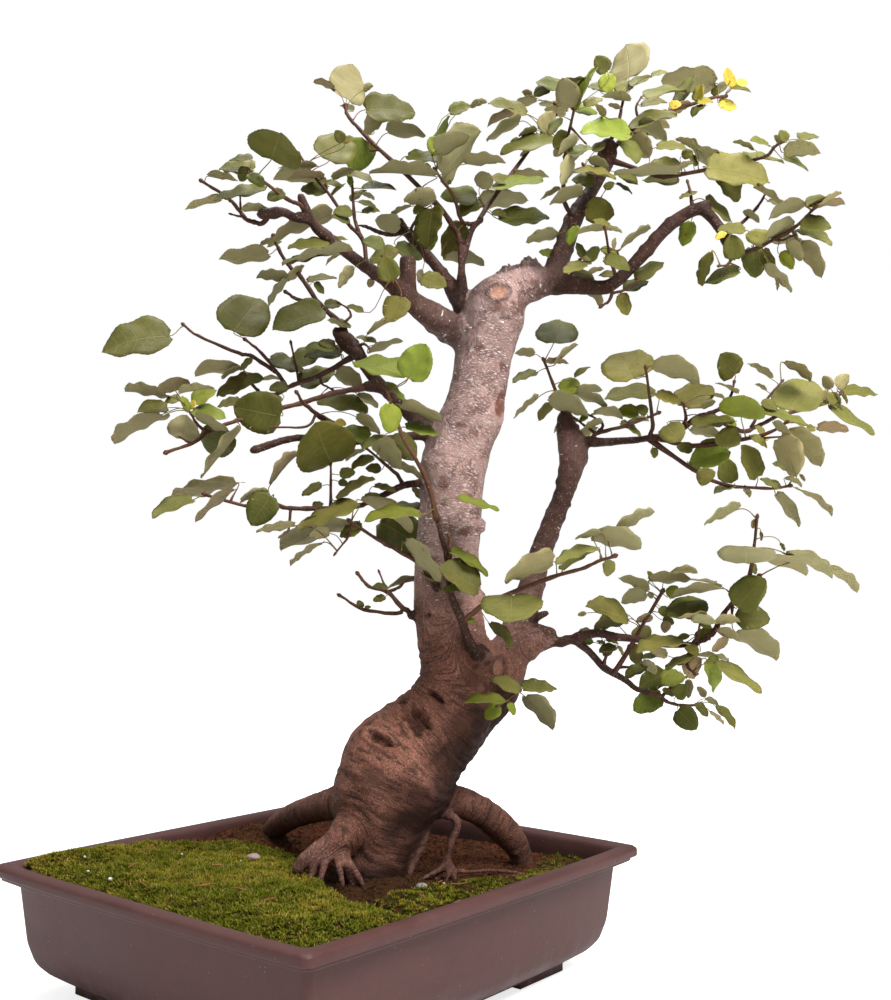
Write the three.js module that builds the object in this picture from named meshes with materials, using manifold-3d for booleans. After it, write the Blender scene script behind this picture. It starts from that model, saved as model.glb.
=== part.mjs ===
// An Italian alder bonsai that stands in its shallow brown training pot.
// Millimetres, +Z up, X along the long side of the pot, origin under the middle of the whole.
// The tree is listed as it is seen from one side: x to the right, z up from the ground, and
// the depth behind the pot's middle as y. seen() turns such a point into its real place.

import * as THREE from "three";
import { mergeVertices } from "three/addons/utils/BufferGeometryUtils.js";
import Module from "manifold-3d";

const wasm = await Module();
wasm.setup();
const { Manifold, Mesh: SolidMesh } = wasm;

// Driving dimensions
const POT = { length: 400, width: 370, height: 105, corner: 7, bow: 3.6 };
const FOOT = { inset: 49, arm: 62, thick: 9, height: 8 };
const EYE = { x: 100, y: -1014, z: 335 };
const TURN = THREE.MathUtils.degToRad(50.25);
// A blade is as wide as ratio times its length, and spread is how far its depth is drawn
const BLADE = { thickness: 0.8, ratio: 0.82, fold: 0.16, spread: 24 };
// Leaves sit where their twig is this far clear of the wood
const CLEAR = 1.5;
// A leaf shorter than this is too small to count, but the two largest of a spray always stay
const LEAST = 21;
// The gaps around the wood: in the soil and the moss, and to the twigs and blades
const HOLE_GAP = 0.4;
const SKIN_GAP = 0.3;
// How far the joined wood and the joined sprays may be evened out
const WOOD_SLACK = 1;
const SPRAY_SLACK = 0.12;

// Tones of the leaves: dark, green, pale underside, bright, yellow, reddish
const D = 0;
const G = 1;
const P = 2;
const B = 3;
const Y = 4;
const R = 5;

// The wall of the pot as [inset from the outline, height], up the outside and down the inside
const POT_OUTSIDE = [
  [46.5, 8], [46, 11.5], [34, 15.5], [24.5, 26], [19.5, 43], [14.5, 92], [4.2, 92.6],
  [4.2, 96], [0, 96.4], [0, 103], [2.2, 105],
];
const POT_INSIDE = [
  [15, 105], [17.5, 92], [22.6, 43], [27.5, 28], [36, 19], [47, 15],
];

// The wood, limb by limb, as seen: [x, z, y, radius]
const LIMBS = {
  trunk: { sides: 10, line: [
    [42, 66, -14, 33], [43, 92, -12, 33], [44, 118, -8, 36], [46, 140, -3, 43], [53, 160, 2, 49],
    [62, 180, 5, 51], [76, 200, 8, 50], [92, 220, 10, 49], [106, 240, 11, 46], [111, 258, 11, 40],
    [106.5, 280, 9, 32], [103.5, 300, 8, 29.5], [101.5, 330, 7, 28.5], [101, 352, 6, 27.5],
    [104, 400, 5, 27], [106, 430, 6, 28.5], [115, 460, 8, 27], [124.5, 482, 9, 27],
    [129, 504, 10, 25], [133, 530, 12, 25], [138, 556, 14, 27], [146, 575, 14, 27],
    [160, 589, 13, 19], [176, 594, 13, 15], [192, 596, 14, 11.5]] },
  second_stem: { sides: 7, line: [
    [118, 222, 12, 34], [140, 248, 18, 25], [154, 272, 24, 18], [163, 298, 30, 14],
    [171, 322, 34, 11.5], [182, 360, 40, 9.5], [197, 398, 46, 8.5], [205, 420, 48, 9],
    [210, 440, 50, 12], [209, 454, 50, 12.5], [204, 472, 50, 8], [204, 479, 50, 6.5]] },
  stem_stub: { sides: 5, line: [[163, 302, 28, 7], [176, 304, 22, 6], [188, 309, 17, 3.5]] },
  root_right: { sides: 7, line: [
    [80, 158, 8, 18], [100, 151, 14, 14.5], [118, 147, 20, 13], [136, 137, 27, 12.5],
    [150, 125, 34, 12.5], [160, 112, 40, 10.5], [165, 99, 45, 9], [168, 82, 50, 8.5]] },
  root_left: { sides: 6, line: [
    [25, 152, 8, 18], [0, 146, 34, 13], [-22, 140, 74, 11], [-39, 131, 112, 10],
    [-47, 120, 138, 9.5], [-50, 106, 152, 9]] },
  root_front: { sides: 6, line: [
    [42, 138, -14, 28], [22, 125, -26, 20], [8, 114, -36, 13], [-8, 107, -42, 8.5],
    [-18, 101, -45, 6.5], [-25, 92, -46, 5.5]] },
  root_front_low: { sides: 5, line: [[8, 112, -38, 9], [14, 100, -43, 6], [20, 90, -46, 5.5], [24, 80, -48, 5]] },
  root_thin: { sides: 4, line: [
    [82, 139, 2, 5], [98, 138, -2, 4], [107, 136, -4, 4], [110, 128, -4, 3.6], [105, 116, -6, 3.4],
    [101, 103, -8, 3.2], [96, 92, -10, 3], [92, 82, -12, 2.6]] },
  root_thin_fork: { sides: 4, line: [[101, 105, -8, 3.2], [106, 94, -10, 2.8], [108, 82, -12, 2.6]] },
  root_thin_inner: { sides: 4, line: [[76, 142, -12, 5], [75, 120, -16, 3.2], [70, 96, -20, 3], [68, 84, -22, 2.8]] },
  left_high: { sides: 6, line: [
    [122, 544, 12, 15], [110, 552, 10, 14], [97, 559, 4, 12.5], [85, 568, -2, 11], [72, 577, -6, 9.5],
    [60, 587, -10, 8], [49, 597, -14, 6.4], [38, 604, -18, 5.7], [25, 613, -22, 5.2], [12, 623, -25, 5],
    [0, 633, -28, 5], [-12, 643, -30, 5], [-20, 655, -32, 4.5], [-27, 672, -34, 3.5]] },
  left_high_side: { sides: 5, line: [
    [-17, 650, -31, 4], [-32, 653, -36, 4], [-42, 658, -40, 4], [-51, 657, -43, 5], [-62, 656, -46, 4.6]] },
  left_high_stub: { sides: 6, line: [[67, 584, -8, 8], [67, 617, -4, 7]] },
  twin: { sides: 6, line: [
    [116, 574, 15, 10], [106, 590, 26, 7], [97, 603, 33, 5.4], [87, 616, 40, 5], [75, 630, 46, 5],
    [65, 641, 50, 4.5], [59, 650, 52, 4]] },
  twin_side: { sides: 4, line: [
    [66, 640, 50, 3], [52, 638, 54, 2.6], [42, 640, 56, 2.2], [30, 645, 58, 1.8], [22, 646, 60, 1.5]] },
  middle_stub: { sides: 5, line: [[115, 575, 14, 7], [114, 600, 17, 4.4], [114, 629, 20, 3.6]] },
  middle_limb: { sides: 4, line: [[114, 606, 17, 3.4], [119, 630, 25, 3], [124, 644, 30, 2.8], [130, 650, 34, 2.6]] },
  crown: { sides: 6, line: [
    [186, 595, 14, 11], [195, 600, 14, 11.5], [198, 612, 18, 10], [205, 630, 22, 8.5], [210, 645, 25, 8],
    [216, 658, 27, 7.5], [222, 668, 28, 6.8], [229, 679, 28, 6], [235, 690, 28, 6], [240, 703, 27, 8.2],
    [243, 718, 26, 8]] },
  right_high: { sides: 6, line: [
    [188, 595, 14, 10.5], [210, 593, 8, 7.8], [225, 591, 0, 6.6], [240, 591.5, -8, 6], [250, 597, -14, 5.6],
    [262, 609, -20, 5.5], [275, 623, -26, 6], [287, 637, -32, 5.6], [297, 647, -36, 6], [310, 656, -40, 5.5],
    [321, 661, -43, 6], [330, 665, -45, 5]] },
  right_high_end: { sides: 5, line: [
    [324, 662, -44, 5.5], [334, 652, -48, 5], [341, 642, -50, 4.5], [346, 630, -52, 4], [352, 617, -53, 3]] },
  left_middle: { sides: 6, line: [
    [108, 450, 8, 16], [95, 458, 10, 12.5], [85, 467, 16, 9], [72, 479, 26, 7], [60, 489, 35, 6.4],
    [50, 499, 42, 6], [40, 509, 48, 5.5], [31, 520, 54, 5], [24, 531, 58, 5.5], [17, 540, 61, 7.6],
    [10, 547, 63, 6.6], [5, 552, 64, 4.5]] },
  left_middle_cut: { sides: 5, line: [[44, 503, 45, 5], [34, 504, 44, 4.8], [29, 503, 43, 4.2]] },
  left_low: { sides: 5, line: [
    [96, 460, 8, 7], [78, 461, 2, 4.4], [60, 459, -6, 3.8], [45, 457, -12, 3.6], [15, 455, -20, 3.3],
    [-28, 459, -34, 3.2], [-66, 448, -48, 3.8]] },
  left_low_side: { sides: 4, line: [
    [34, 455, -15, 3.6], [22, 459, -20, 3.8], [8, 466, -26, 3.8], [-6, 476, -32, 3]] },
  left_lowest: { sides: 4, line: [
    [92, 424, 2, 6], [80, 420, -4, 4], [65, 418, -12, 3.2], [50, 411, -19, 3], [38, 405, -25, 2.8]] },
  front_short: { sides: 4, line: [[96, 324, -14, 4], [92, 331, -20, 3.2], [86, 342, -25, 3]] },
  left_small: { sides: 5, line: [[92, 306, 4, 6], [80, 305, 2, 5], [72, 306, 0, 4.4], [69, 308, -1, 3.4]] },
  shoot: { sides: 5, line: [
    [130, 262, -6, 9], [129, 271, -14, 9], [123, 278, -22, 6], [117, 292, -27, 4.2], [114, 302, -31, 4],
    [108, 315, -35, 3.6], [104, 325, -38, 3.4], [103, 335, -41, 3], [102, 350, -44, 2.8], [100, 362, -47, 2.6],
    [96, 375, -50, 2.5], [93, 388, -52, 2.5]] },
  stem_limb: { sides: 5, line: [
    [211, 448, 49, 8], [221, 455, 46, 5.2], [235, 455, 40, 4], [250, 456, 34, 3.3], [265, 457, 28, 3],
    [278, 459, 24, 3.2], [292, 460, 20, 3], [305, 467, 16, 2.8], [318, 477, 13, 2.5], [328, 480, 11, 2.4],
    [341, 485, 8, 2]] },
  right_low: { sides: 6, line: [
    [166, 281, 24, 9], [180, 281, 20, 7], [190, 283, 16, 5], [200, 284, 14, 4.5], [215, 288, 8, 4.5],
    [230, 291, 2, 4], [245, 288, -4, 3.6], [262, 286, -10, 3.3], [275, 283, -15, 3], [290, 281, -20, 2.9],
    [305, 281, -25, 2.8], [317, 283, -29, 2.8], [325, 288, -31, 2.6]] },
  right_low_cut: { sides: 4, line: [[315, 282, -28, 2.8], [306, 270, -27, 2.8], [297, 264, -25, 2.6]] },
  right_lowest: { sides: 5, line: [
    [208, 286, 10, 4], [222, 276, 14, 3.2], [230, 267, 20, 3.2], [236, 261, 24, 3.4], [245, 256, 29, 3],
    [255, 250, 34, 2.7], [262, 244, 37, 2.5], [272, 241, 41, 2.4]] },
  base_shoot: { sides: 4, line: [[150, 246, 8, 5], [163, 243, 2, 3.2]] },
};

// The leafy sprays: the limb each grows from, how fast it runs back (lean), its twigs as
// [radius, x, z, x, z, ...] and its leaves as [x, z of the base, x, z of the tip, width, tone]
const SPRAYS = [
  { name: "twig_base_shoot", on: "base_shoot", lean: -1.6, twigs: [[1.8, 163,243, 156,238, 150,233, 145,230]],
    leaves: [
      [163,243, 141,254, 11,G], [166,244, 195,246, 11,G], [150,233, 116,231, 8,B], [146,229, 133,219, 12,B],
      [154,232, 158,221, 6,B], [168,237, 193,211, 15,P]] },
  // The high left limb
  { name: "twig_far_left_high", on: "left_high_side", lean: 0.5, twigs: [
      [2.2, -52,651, -60,648.5, -68,649, -76,653, -80,658, -86,666, -93,672, -103,679, -113,685],
      [1.3, -76,653, -86,655.5], [1.3, -79,657, -79,664, -80,671]],
    leaves: [
      [-97,669, -128,660, 6,P], [-82,686, -108,690, 6,P], [-56,663, -77,659, 7,P]] },
  { name: "twig_left_high", on: "left_high", lean: -0.6, twigs: [
      [1.9, -20,658, -30,666, -40,670, -47,676, -57,683, -65,690, -72,695]],
    leaves: [
      [-42,676, -56,668, 10,D], [-60,677, -104,672, 10,D], [-72,692, -60,680, 10,B],
      [-70,695, -99,701, 13,D], [-90,704, -71,705, 5,D], [-74,697, -82,686, 10,D],
      [-53,705, -46,727, 43,D]] },
  { name: "twig_left_low", on: "left_high", lean: -0.9, twigs: [
      [1.5, 8,626, 2,624, -6,626, -14,625]],
    leaves: [
      [-2,628, -38,626, 9,D], [15,623, -44,620, 8,P], [-5,622, -38,613, 8,D], [8,620, -6,613, 3,P],
      [14,636, -5,631, 5,D]] },
  { name: "twig_left_top", on: "left_high", lean: 0.35, twigs: [
      [2.0, 33,609, 30,622, 28,632, 23,643, 20,655, 18,670, 18,683],
      [1.7, 27,634, 20,641, 12,651, 5,661, 0,671, -5,678, -11,685, -17,692, -22,700, -28,709]],
    leaves: [
      [-5,683, -51,688, 12,P], [-4,677, -27,677, 11,D], [-7,689, -38,690, 6,R], [-5,684, 11,683, 5,D],
      [1,673, 12,684, 3,D], [20,697, 1,688, 7,P], [18,657, 2,660, 9,D], [16,649, 0,655, 6,D],
      [0,655, -50,634, 14,P], [-2,704, 12,726, 30,D], [10,722, 3,731, 10,G], [10,721, 19,726, 6,D],
      [-14,699, -47,698, 5,P], [15,692, 16,682, 5,B], [37,687, 15,691, 5,D], [28,679, 57,680, 5,D],
      [18,668, 30,679, 6,G], [24,667, 39,665, 4,D], [27,658, 42,661, 5,D], [28,674, 38,669, 4,P]] },
  { name: "twig_left_mid", on: "left_high", lean: -0.8, twigs: [
      [1.6, 62,586, 58,592, 55,600, 50,608, 46,616]],
    leaves: [
      [61,582, 50,563, 20,G], [53,597, 46,619, 19,D], [58,622, 32,614, 12,G], [46,627, 28,634, 11,D],
      [36,598, 33,591, 6,R], [20,608, 5,592, 9,P], [14,575, 28,569, 5,Y]] },
  { name: "twig_twin", on: "twin", lean: -0.5, twigs: [
      [1.6, 74,631, 70,643, 76,652, 80,658]],
    leaves: [
      [80,617, 57,628, 12,D], [60,646, 38,650, 15,P], [70,663, 50,655, 3,P], [90,668, 63,671, 15,P],
      [80,663, 72,657, 8,D], [88,661, 84,625, 22,D], [80,648, 88,624, 14,B], [79,599, 101,591, 14,G],
      [80,606, 76,595, 6,R]] },
  { name: "twig_long_top", on: "middle_stub", lean: 0.4, twigs: [
      [2.5, 113,629, 108,643, 98,655, 90,667, 80,678, 68,689, 56,700, 45,711, 38,718, 31,725, 25,733, 15,743, 12,752],
      [1.2, 42,713, 34,713, 33,719]],
    leaves: [
      [13,760, 16,788, 29,P], [18,749, 7,754, 5,D], [2,769, -15,778, 5,R], [30,750, 74,753, 23,D],
      [32,751, 37,731, 18,P], [28,768, 36,772, 6,P], [50,729, 83,731, 13,P], [30,722, 18,694, 24,B],
      [57,699, 79,699, 6,D], [90,690, 33,694, 7,P], [80,700, 88,694, 6,P], [100,704, 67,708, 9,D]] },
  { name: "twig_centre_top", on: "middle_limb", lean: -0.3, twigs: [
      [1.9, 126,649, 117,648, 112,655, 109,667, 104,677, 97,688, 92,694],
      ],
    leaves: [
      [119,644, 95,618, 21,G], [100,617, 134,613, 10,P], [118,701, 153,702, 9,P], [97,692, 130,731, 27,P],
      [96,711, 86,726, 14,B], [95,712, 103,743, 9,B], [92,713, 121,728, 16,P], [104,687, 103,683, 4,D],
      [122,755, 104,747, 10,D], [122,753, 137,756, 6,P]] },
  { name: "twig_mid_top", on: "middle_limb", lean: 0.7, twigs: [
      [2.0, 131,650, 140,668, 153,685, 163,699, 170,707, 176,717, 184,727, 190,735, 197,745, 198,753],
      [1.4, 136,660, 133,664, 131,668]],
    leaves: [
      [127,671, 96,675, 14,D], [130,666, 111,656, 12,D], [147,652, 191,653, 14,D], [141,658, 153,655, 6,D],
      [171,675, 130,666, 14,P], [139,689, 158,684, 8,D], [186,684, 141,680, 9,B], [190,694, 156,688, 8,P],
      [138,694, 130,680, 16,P], [172,712, 165,709, 4,P], [166,722, 155,715, 9,G], [196,722, 148,720, 11,G],
      [165,739, 136,722, 9,P], [171,746, 138,757, 9,D], [164,746, 136,739, 7,R], [180,731, 164,727, 6,P],
      [180,758, 158,756, 8,P], [184,731, 196,748, 14,P], [207,749, 182,755, 7,D], [205,745, 187,750, 7,P],
      [201,769, 180,776, 10,D], [192,770, 177,764, 9,D], [176,762, 168,767, 6,R]] },
  // The crown limb
  { name: "twig_crown_left", on: "crown", lean: -0.7, twigs: [
      [2.0, 208,656, 204,668, 204,680, 205,700, 206,715, 209,728, 211,740, 213,748],
      [1.2, 210,734, 217,727, 221,722]],
    leaves: [
      [220,676, 190,668, 11,P], [213,703, 199,684, 13,P], [200,678, 183,669, 4,P], [203,716, 195,708, 8,P],
      [206,703, 222,716, 9,D], [216,722, 196,710, 10,P], [208,728, 195,716, 14,D], [209,711, 229,718, 7,D],
      [210,752, 204,779, 20,P], [200,771, 229,776, 8,P], [216,751, 233,789, 7,B], [243,785, 233,798, 15,Y],
      [234,747, 214,750, 8,B], [224,753, 238,762, 8,G], [200,742, 192,726, 9,G]] },
  { name: "twig_crown_low", on: "crown", lean: -0.9, twigs: [
      [1.5, 204,632, 207,640, 209,648]],
    leaves: [
      [198,638, 170,633, 10,P], [196,619, 182,624, 7,D], [214,645, 208,629, 9,B]] },
  { name: "twig_crown_side", on: "crown", lean: -0.5, twigs: [
      [1.6, 219,663, 227,667, 234,666]],
    leaves: [
      [224,662, 248,655, 21,D], [235,667, 214,660, 5,Y], [247,686, 241,678, 7,D], [250,683, 265,677, 3,D]] },
  { name: "twig_crown_burl", on: "crown", lean: -0.9, twigs: [
      [1.7, 236,696, 232,690, 226,692, 222,698]],
    leaves: [
      [230,684, 211,688, 10,D], [226,705, 243,697, 8,P], [250,693, 212,693, 5,G], [231,712, 240,722, 8,G],
      [252,693, 270,685, 9,D]] },
  { name: "twig_crown_top", on: "crown", lean: 0.35, twigs: [
      [2.0, 242,716, 248,728, 252,737, 254,747, 257,760], [1.4, 251,731, 262,729, 274,728]],
    leaves: [
      [264,727, 279,706, 17,P], [262,727, 220,736, 15,B], [240,744, 233,755, 6,P], [254,751, 243,754, 4,R],
      [251,766, 267,776, 10,G], [238,768, 250,782, 15,B], [244,768, 226,773, 8,D], [238,763, 262,758, 7,P],
      [262,779, 259,809, 31,P], [264,771, 282,782, 7,D], [282,781, 296,785, 4,D]] },
  { name: "twig_crown_right", on: "crown", lean: 0.8, twigs: [
      [2.2, 244,708, 257,724, 270,737, 287,745, 309,752, 330,759, 346,762], [1.3, 270,738, 268,752, 272,760]],
    leaves: [
      [256,722, 268,701, 13,D], [262,733, 304,746, 10,D], [264,728, 296,737, 8,P],
      [290,774, 338,774, 21,P], [278,760, 312,772, 8,D],
      [308,758, 319,781, 11,G], [323,758, 326,773, 9,Y], [296,757, 273,753, 6,Y], [298,752, 308,757, 7,Y],
      [322,756, 336,757, 5,Y], [300,748, 317,755, 8,R], [328,754, 317,745, 6,D], [284,741, 300,746, 8,R],
      [339,763, 349,779, 9,G], [352,770, 349,788, 9,Y], [358,772, 366,777, 8,Y], [352,769, 370,768, 3,D],
      [341,756, 357,752, 9,Y], [297,724, 270,736, 13,P]] },
  { name: "twig_crown_far_right", on: "crown", lean: -0.35, twigs: [
      [2.2, 247,705, 262,698, 285,691, 303,691, 318,694, 342,699, 365,703, 383,709, 389,716, 395,720]],
    leaves: [
      [303,684, 273,688, 9,D], [303,692, 248,692, 8,P], [306,698, 277,701, 12,D], [286,716, 312,716, 7,D],
      [303,726, 318,716, 6,P], [318,700, 317,714, 7,D], [310,722, 341,690, 10,P], [322,718, 340,706, 8,P],
      [330,697, 385,686, 24,G], [340,700, 358,668, 18,D], [318,712, 308,708, 8,D], [317,704, 305,697, 5,P],
      [364,706, 398,706, 6,D], [398,705, 420,697, 5,D], [398,711, 430,714, 13,P], [412,724, 428,729, 8,D],
      [400,722, 394,731, 8,D], [394,721, 390,727, 5,P], [353,721, 371,714, 4,P], [368,722, 384,718, 5,D]] },
  { name: "twig_elbow", on: "right_high", lean: -1.0, twigs: [
      [1.6, 208,598, 211,608, 216,614]],
    leaves: [
      [222,612, 203,604, 9,G], [215,631, 220,617, 7,D], [224,613, 234,627, 10,D], [220,617, 228,612, 5,P],
      [224,604, 238,609, 4,P], [210,606, 237,576, 12,P]] },
  // The high right limb
  { name: "twig_right_high", on: "right_high", lean: -0.5, twigs: [
      [1.7, 247,601, 245,612, 243,625, 240,641]],
    leaves: [
      [240,642, 214,640, 5,P], [241,643, 255,641, 4,P], [229,652, 243,643, 6,D], [239,616, 262,609, 11,D],
      [236,624, 252,620, 7,D], [234,604, 249,601, 6,G], [247,626, 249,635, 4,R], [253,625, 279,644, 5,P]] },
  { name: "twig_right_under", on: "right_high", lean: -0.4, twigs: [
      [1.7, 249,592, 243,580, 237,575], [1.4, 245,585, 257,589, 265,594]],
    leaves: [
      [251,584, 261,567, 12,G], [268,597, 290,615, 12,D], [257,588, 277,597, 10,G]] },
  { name: "twig_right_tip", on: "right_high", lean: 0.4, twigs: [
      [1.8, 317,661, 316,673, 313,683]],
    leaves: [
      [320,676, 305,670, 4,D], [315,649, 306,628, 13,Y], [328,668, 352,650, 9,G]] },
  { name: "twig_right_end", on: "right_high_end", lean: -0.6, twigs: [
      [2.1, 349,623, 360,621, 372,627, 385,634, 400,640, 407,647, 415,655, 422,660],
      [1.2, 385,634, 395,633, 402,636]],
    leaves: [
      [368,626, 372,600, 20,D], [338,643, 362,642, 9,G], [344,640, 337,633, 6,Y],
      [363,640, 382,632, 14,D], [379,638, 405,646, 14,P], [382,656, 415,664, 11,P], [411,646, 438,646, 14,D],
      [407,641, 438,628, 7,G], [384,632, 412,630, 7,P], [399,631, 412,615, 11,P], [411,630, 433,603, 14,P],
      [392,620, 406,609, 11,B], [378,624, 390,604, 7,G], [378,609, 401,586, 8,P], [388,600, 390,588, 3,P],
      [416,664, 435,671, 8,D], [418,663, 450,667, 7,R],
      [428,664, 448,674, 4,P], [404,641, 407,631, 4,P]] },
  { name: "twig_right_end_low", on: "right_high_end", lean: -1.4, twigs: [[1.5, 351,618, 346,611, 340,610]],
    leaves: [[332,622, 323,592, 10,D], [325,598, 356,606, 11,D], [350,638, 353,616, 17,D]] },
  { name: "twig_right_up", on: "right_high_end", lean: 0.7, twigs: [
      [1.8, 344,636, 352,642, 358,647, 366,655, 373,662, 377,669, 381,675]],
    leaves: [
      [361,658, 376,650, 6,P], [372,679, 402,662, 4,P], [383,668, 402,660, 5,P]] },
  // The middle left limb
  { name: "twig_burl_up", on: "left_middle", lean: 0.35, twigs: [
      [2.5, 15,548, 8,560, 0,568, -9,575, -14,582, -20,591, -26,600, -34,607, -40,616, -46,625, -50,635],
      [2.1, -9,575, -20,578, -30,581, -38,586], [1.3, 10,558, 17,565, 15,572, 9,576]],
    leaves: [
      [-55,620, -98,615, 13,P], [-37,599, -65,601, 9,P], [-37,598, -57,575, 6,P], [-36,598, -24,611, 7,P],
      [-14,595, -6,585, 6,G], [5,600, -20,596, 5,Y], [-8,572, -50,552, 22,D], [-5,575, 9,577, 8,D],
      [17,556, -3,561, 6,D], [-47,633, -63,630, 5,P], [-44,631, -56,626, 4,D]] },
  { name: "twig_burl_side", on: "left_middle", lean: -0.7, twigs: [
      [1.5, 23,540, 29,541, 33,538]],
    leaves: [
      [32,549, 52,561, 5,P], [34,533, 62,546, 6,P], [23,550, 39,542, 5,D]] },
  { name: "twig_left_cut", on: "left_middle_cut", lean: -0.4, twigs: [
      [2.4, 27,503, 15,500, 0,497, -12,493, -25,489, -38,485.5, -55,482, -65,477, -80,474, -92,470, -105,464,
        -117,455, -127,452, -139,447],
      [1.5, -105,464, -114,470, -118,476, -122,482], [1.3, -120,454, -127,458]],
    leaves: [
      [-91,467, -104,442, 30,D], [-78,465, -110,423, 6,P], [-78,490, -98,486, 7,Y], [-90,477, -119,482, 11,B],
      [-116,477, -88,466, 9,P], [-125,476, -127,458, 24,P], [-144,478, -186,453, 13,P], [-148,478, -187,462, 10,G],
      [-141,485, -167,483, 11,G], [-124,482, -127,496, 7,Y], [-121,484, -118,492, 6,Y], [-130,492, -145,491, 7,G],
      [-142,496, -178,500, 10,P], [-134,500, -138,511, 26,R], [-101,505, -129,498, 6,P], [-99,502, -118,489, 12,B],
      [-43,478, -84,486, 34,D]] },
  { name: "twig_left_far", on: "left_middle", lean: 0.45, twigs: [
      [2.3, 19,529, 5,521, -8,514, -20,509, -32,505, -40,501, -47,497, -55,497, -63,500, -68,505, -73,512],
      [1.9, -38,502, -42,510, -48,518, -53,524, -60,533, -67,540, -73,544],
      [1.9, -47,517, -57,522, -68,530, -80,533, -90,537, -103,543, -115,548, -127,557],
      [1.4, -27,507, -31,525, -33,535, -34,540], [1.4, -8,514, -8,507, 0,502]],
    leaves: [
      [9,532, -23,530, 11,D], [5,536, -22,541, 8,D], [3,539, -10,545, 8,D], [-4,538, -30,522, 15,G],
      [-22,518, -52,528, 12,G], [4,516, -26,505, 16,D], [5,516, 28,504, 14,P], [-37,503, -53,502, 9,D],
      [-42,493, -63,490, 8,P], [-42,510, -58,511, 3,P], [-58,512, -73,508, 9,G], [-8,492, 33,482, 14,D],
      [24,497, 42,486, 7,P], [-68,508, -100,498, 14,G], [-79,520, -117,518, 11,P], [-78,521, -94,510, 5,P],
      [-68,528, -79,519, 5,D], [-140,548, -200,543, 28,G], [-84,552, -62,584, 40,D]] },
  { name: "twig_left_stub", on: "left_low_side", lean: -0.9, twigs: [
      [2.0, -6,475, -22,488, -28,497], [1.4, -12,480, -20,469, -48,468]],
    leaves: [
      [5,473, 14,471, 6,Y], [23,477, 45,465, 10,P]] },
  // The low left limbs
  { name: "twig_low_left", on: "left_lowest", lean: -0.5, twigs: [
      [2.2, 38,404, 20,399, 0,398.5, -20,397.5, -40,399, -48,402, -58,400, -68,399, -80,402, -92,405, -105,409],
      [1.5, 1,399, 0,412, 1,425, 1,434], [1.4, -33,398, -33,391, -35,380, -40,375]],
    leaves: [
      [-7,417, -25,411, 8,G], [2,437, -11,469, 50,B], [22,430, 9,427, 9,D], [16,418, 8,421, 6,D],
      [38,425, 7,405, 7,G], [58,415, 39,417, 5,D], [-50,408, -68,384, 24,D], [-52,412, -76,404, 7,P],
      [-14,400, -5,403, 5,D], [46,404, 30,408, 8,D], [-27,446, -51,418, 7,R], [-80,420, -137,406, 12,P],
      [-118,405, -153,391, 11,G], [-83,413, -119,392, 7,R], [-10,438, -25,438, 7,P]] },
  { name: "twig_low_left_up", on: "left_lowest", lean: -0.8, twigs: [
      [1.7, 64,419, 55,430, 48,436, 38,445, 30,451]],
    leaves: [
      [38,441, 18,433, 8,D], [44,431, 31,433, 8,D], [30,448, 13,441, 4,P], [34,459, 6,463, 13,B],
      [38,456, 64,434, 17,P], [54,459, 75,440, 18,D], [52,436, 80,427, 6,P]] },
  { name: "twig_low_back", on: "trunk", lean: 1.0, twigs: [
      [2.0, 88,396, 62,393, 48,389]],
    leaves: [
      [44,386, 85,362, 32,D], [47,401, 80,396, 8,D], [71,418, 80,405, 6,D]] },
  { name: "twig_low_front", on: "front_short", lean: -0.5, twigs: [
      [2.2, 84,346, 75,353, 68,357, 55,364, 42,371, 30,379, 19,386], [1.3, 20,385, 16,373, 7,361]],
    leaves: [
      [66,368, 98,336, 13,P], [80,341, 98,334, 5,G], [27,405, 74,384, 11,P], [28,382, 8,376, 11,D],
      [24,401, -28,385, 12,G], [20,385, -42,367, 16,P], [-6,368, -34,350, 4,P], [-18,376, 0,376, 10,P],
      [-30,383, -63,379, 7,P]] },
  { name: "twig_small_left", on: "left_small", lean: 0.3, twigs: [
      [2.3, 76,304, 64,312, 57,320, 50,326, 42,328, 34,331, 26,340],
      [1.8, 64,312, 58,308, 45,310, 30,311, 22,315, 15,319, 11,322], [1.5, 50,326, 60,330, 66,336, 72,338],
      [1.2, 50,326, 44,341]],
    leaves: [
      [74,336, 50,330, 5,G], [50,329, 37,331, 5,D], [38,318, 48,322, 6,G], [28,312, 25,319, 6,G],
      [31,312, 36,314, 3,B]] },
  // The shoot in front of the trunk
  { name: "twig_shoot_top", on: "shoot", lean: -0.25, twigs: [
      [2.3, 91,396, 86,415, 82,425, 79,432, 70,447, 62,462, 57,476, 52,489, 50,498]],
    leaves: [
      [112,406, 146,395, 6,B], [51,488, 53,463, 17,B], [66,513, 20,529, 18,B], [68,511, 83,541, 27,B],
      [62,488, 98,476, 9,P], [66,468, 95,461, 9,B], [66,490, 49,507, 5,B], [45,460, 27,450, 7,G],
      [77,392, 30,390, 10,B]] },
  { name: "twig_shoot_spur", on: "shoot", lean: -0.4, twigs: [
      [1.9, 103,346, 104,360, 103,372]],
    leaves: [
      [104,361, 136,339, 8,B]] },
  { name: "twig_shoot_low", on: "shoot", lean: -0.6, twigs: [
      [1.7, 105,322, 98,327]],
    leaves: [
      [98,328, 123,328, 6,B]] },
  { name: "twig_shoot_fork", on: "shoot", lean: -0.3, twigs: [
      [2.4, 116,300, 125,309, 135,316, 150,322, 170,330, 190,338, 205,343.5, 220,347, 232,353, 243,356]],
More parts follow.
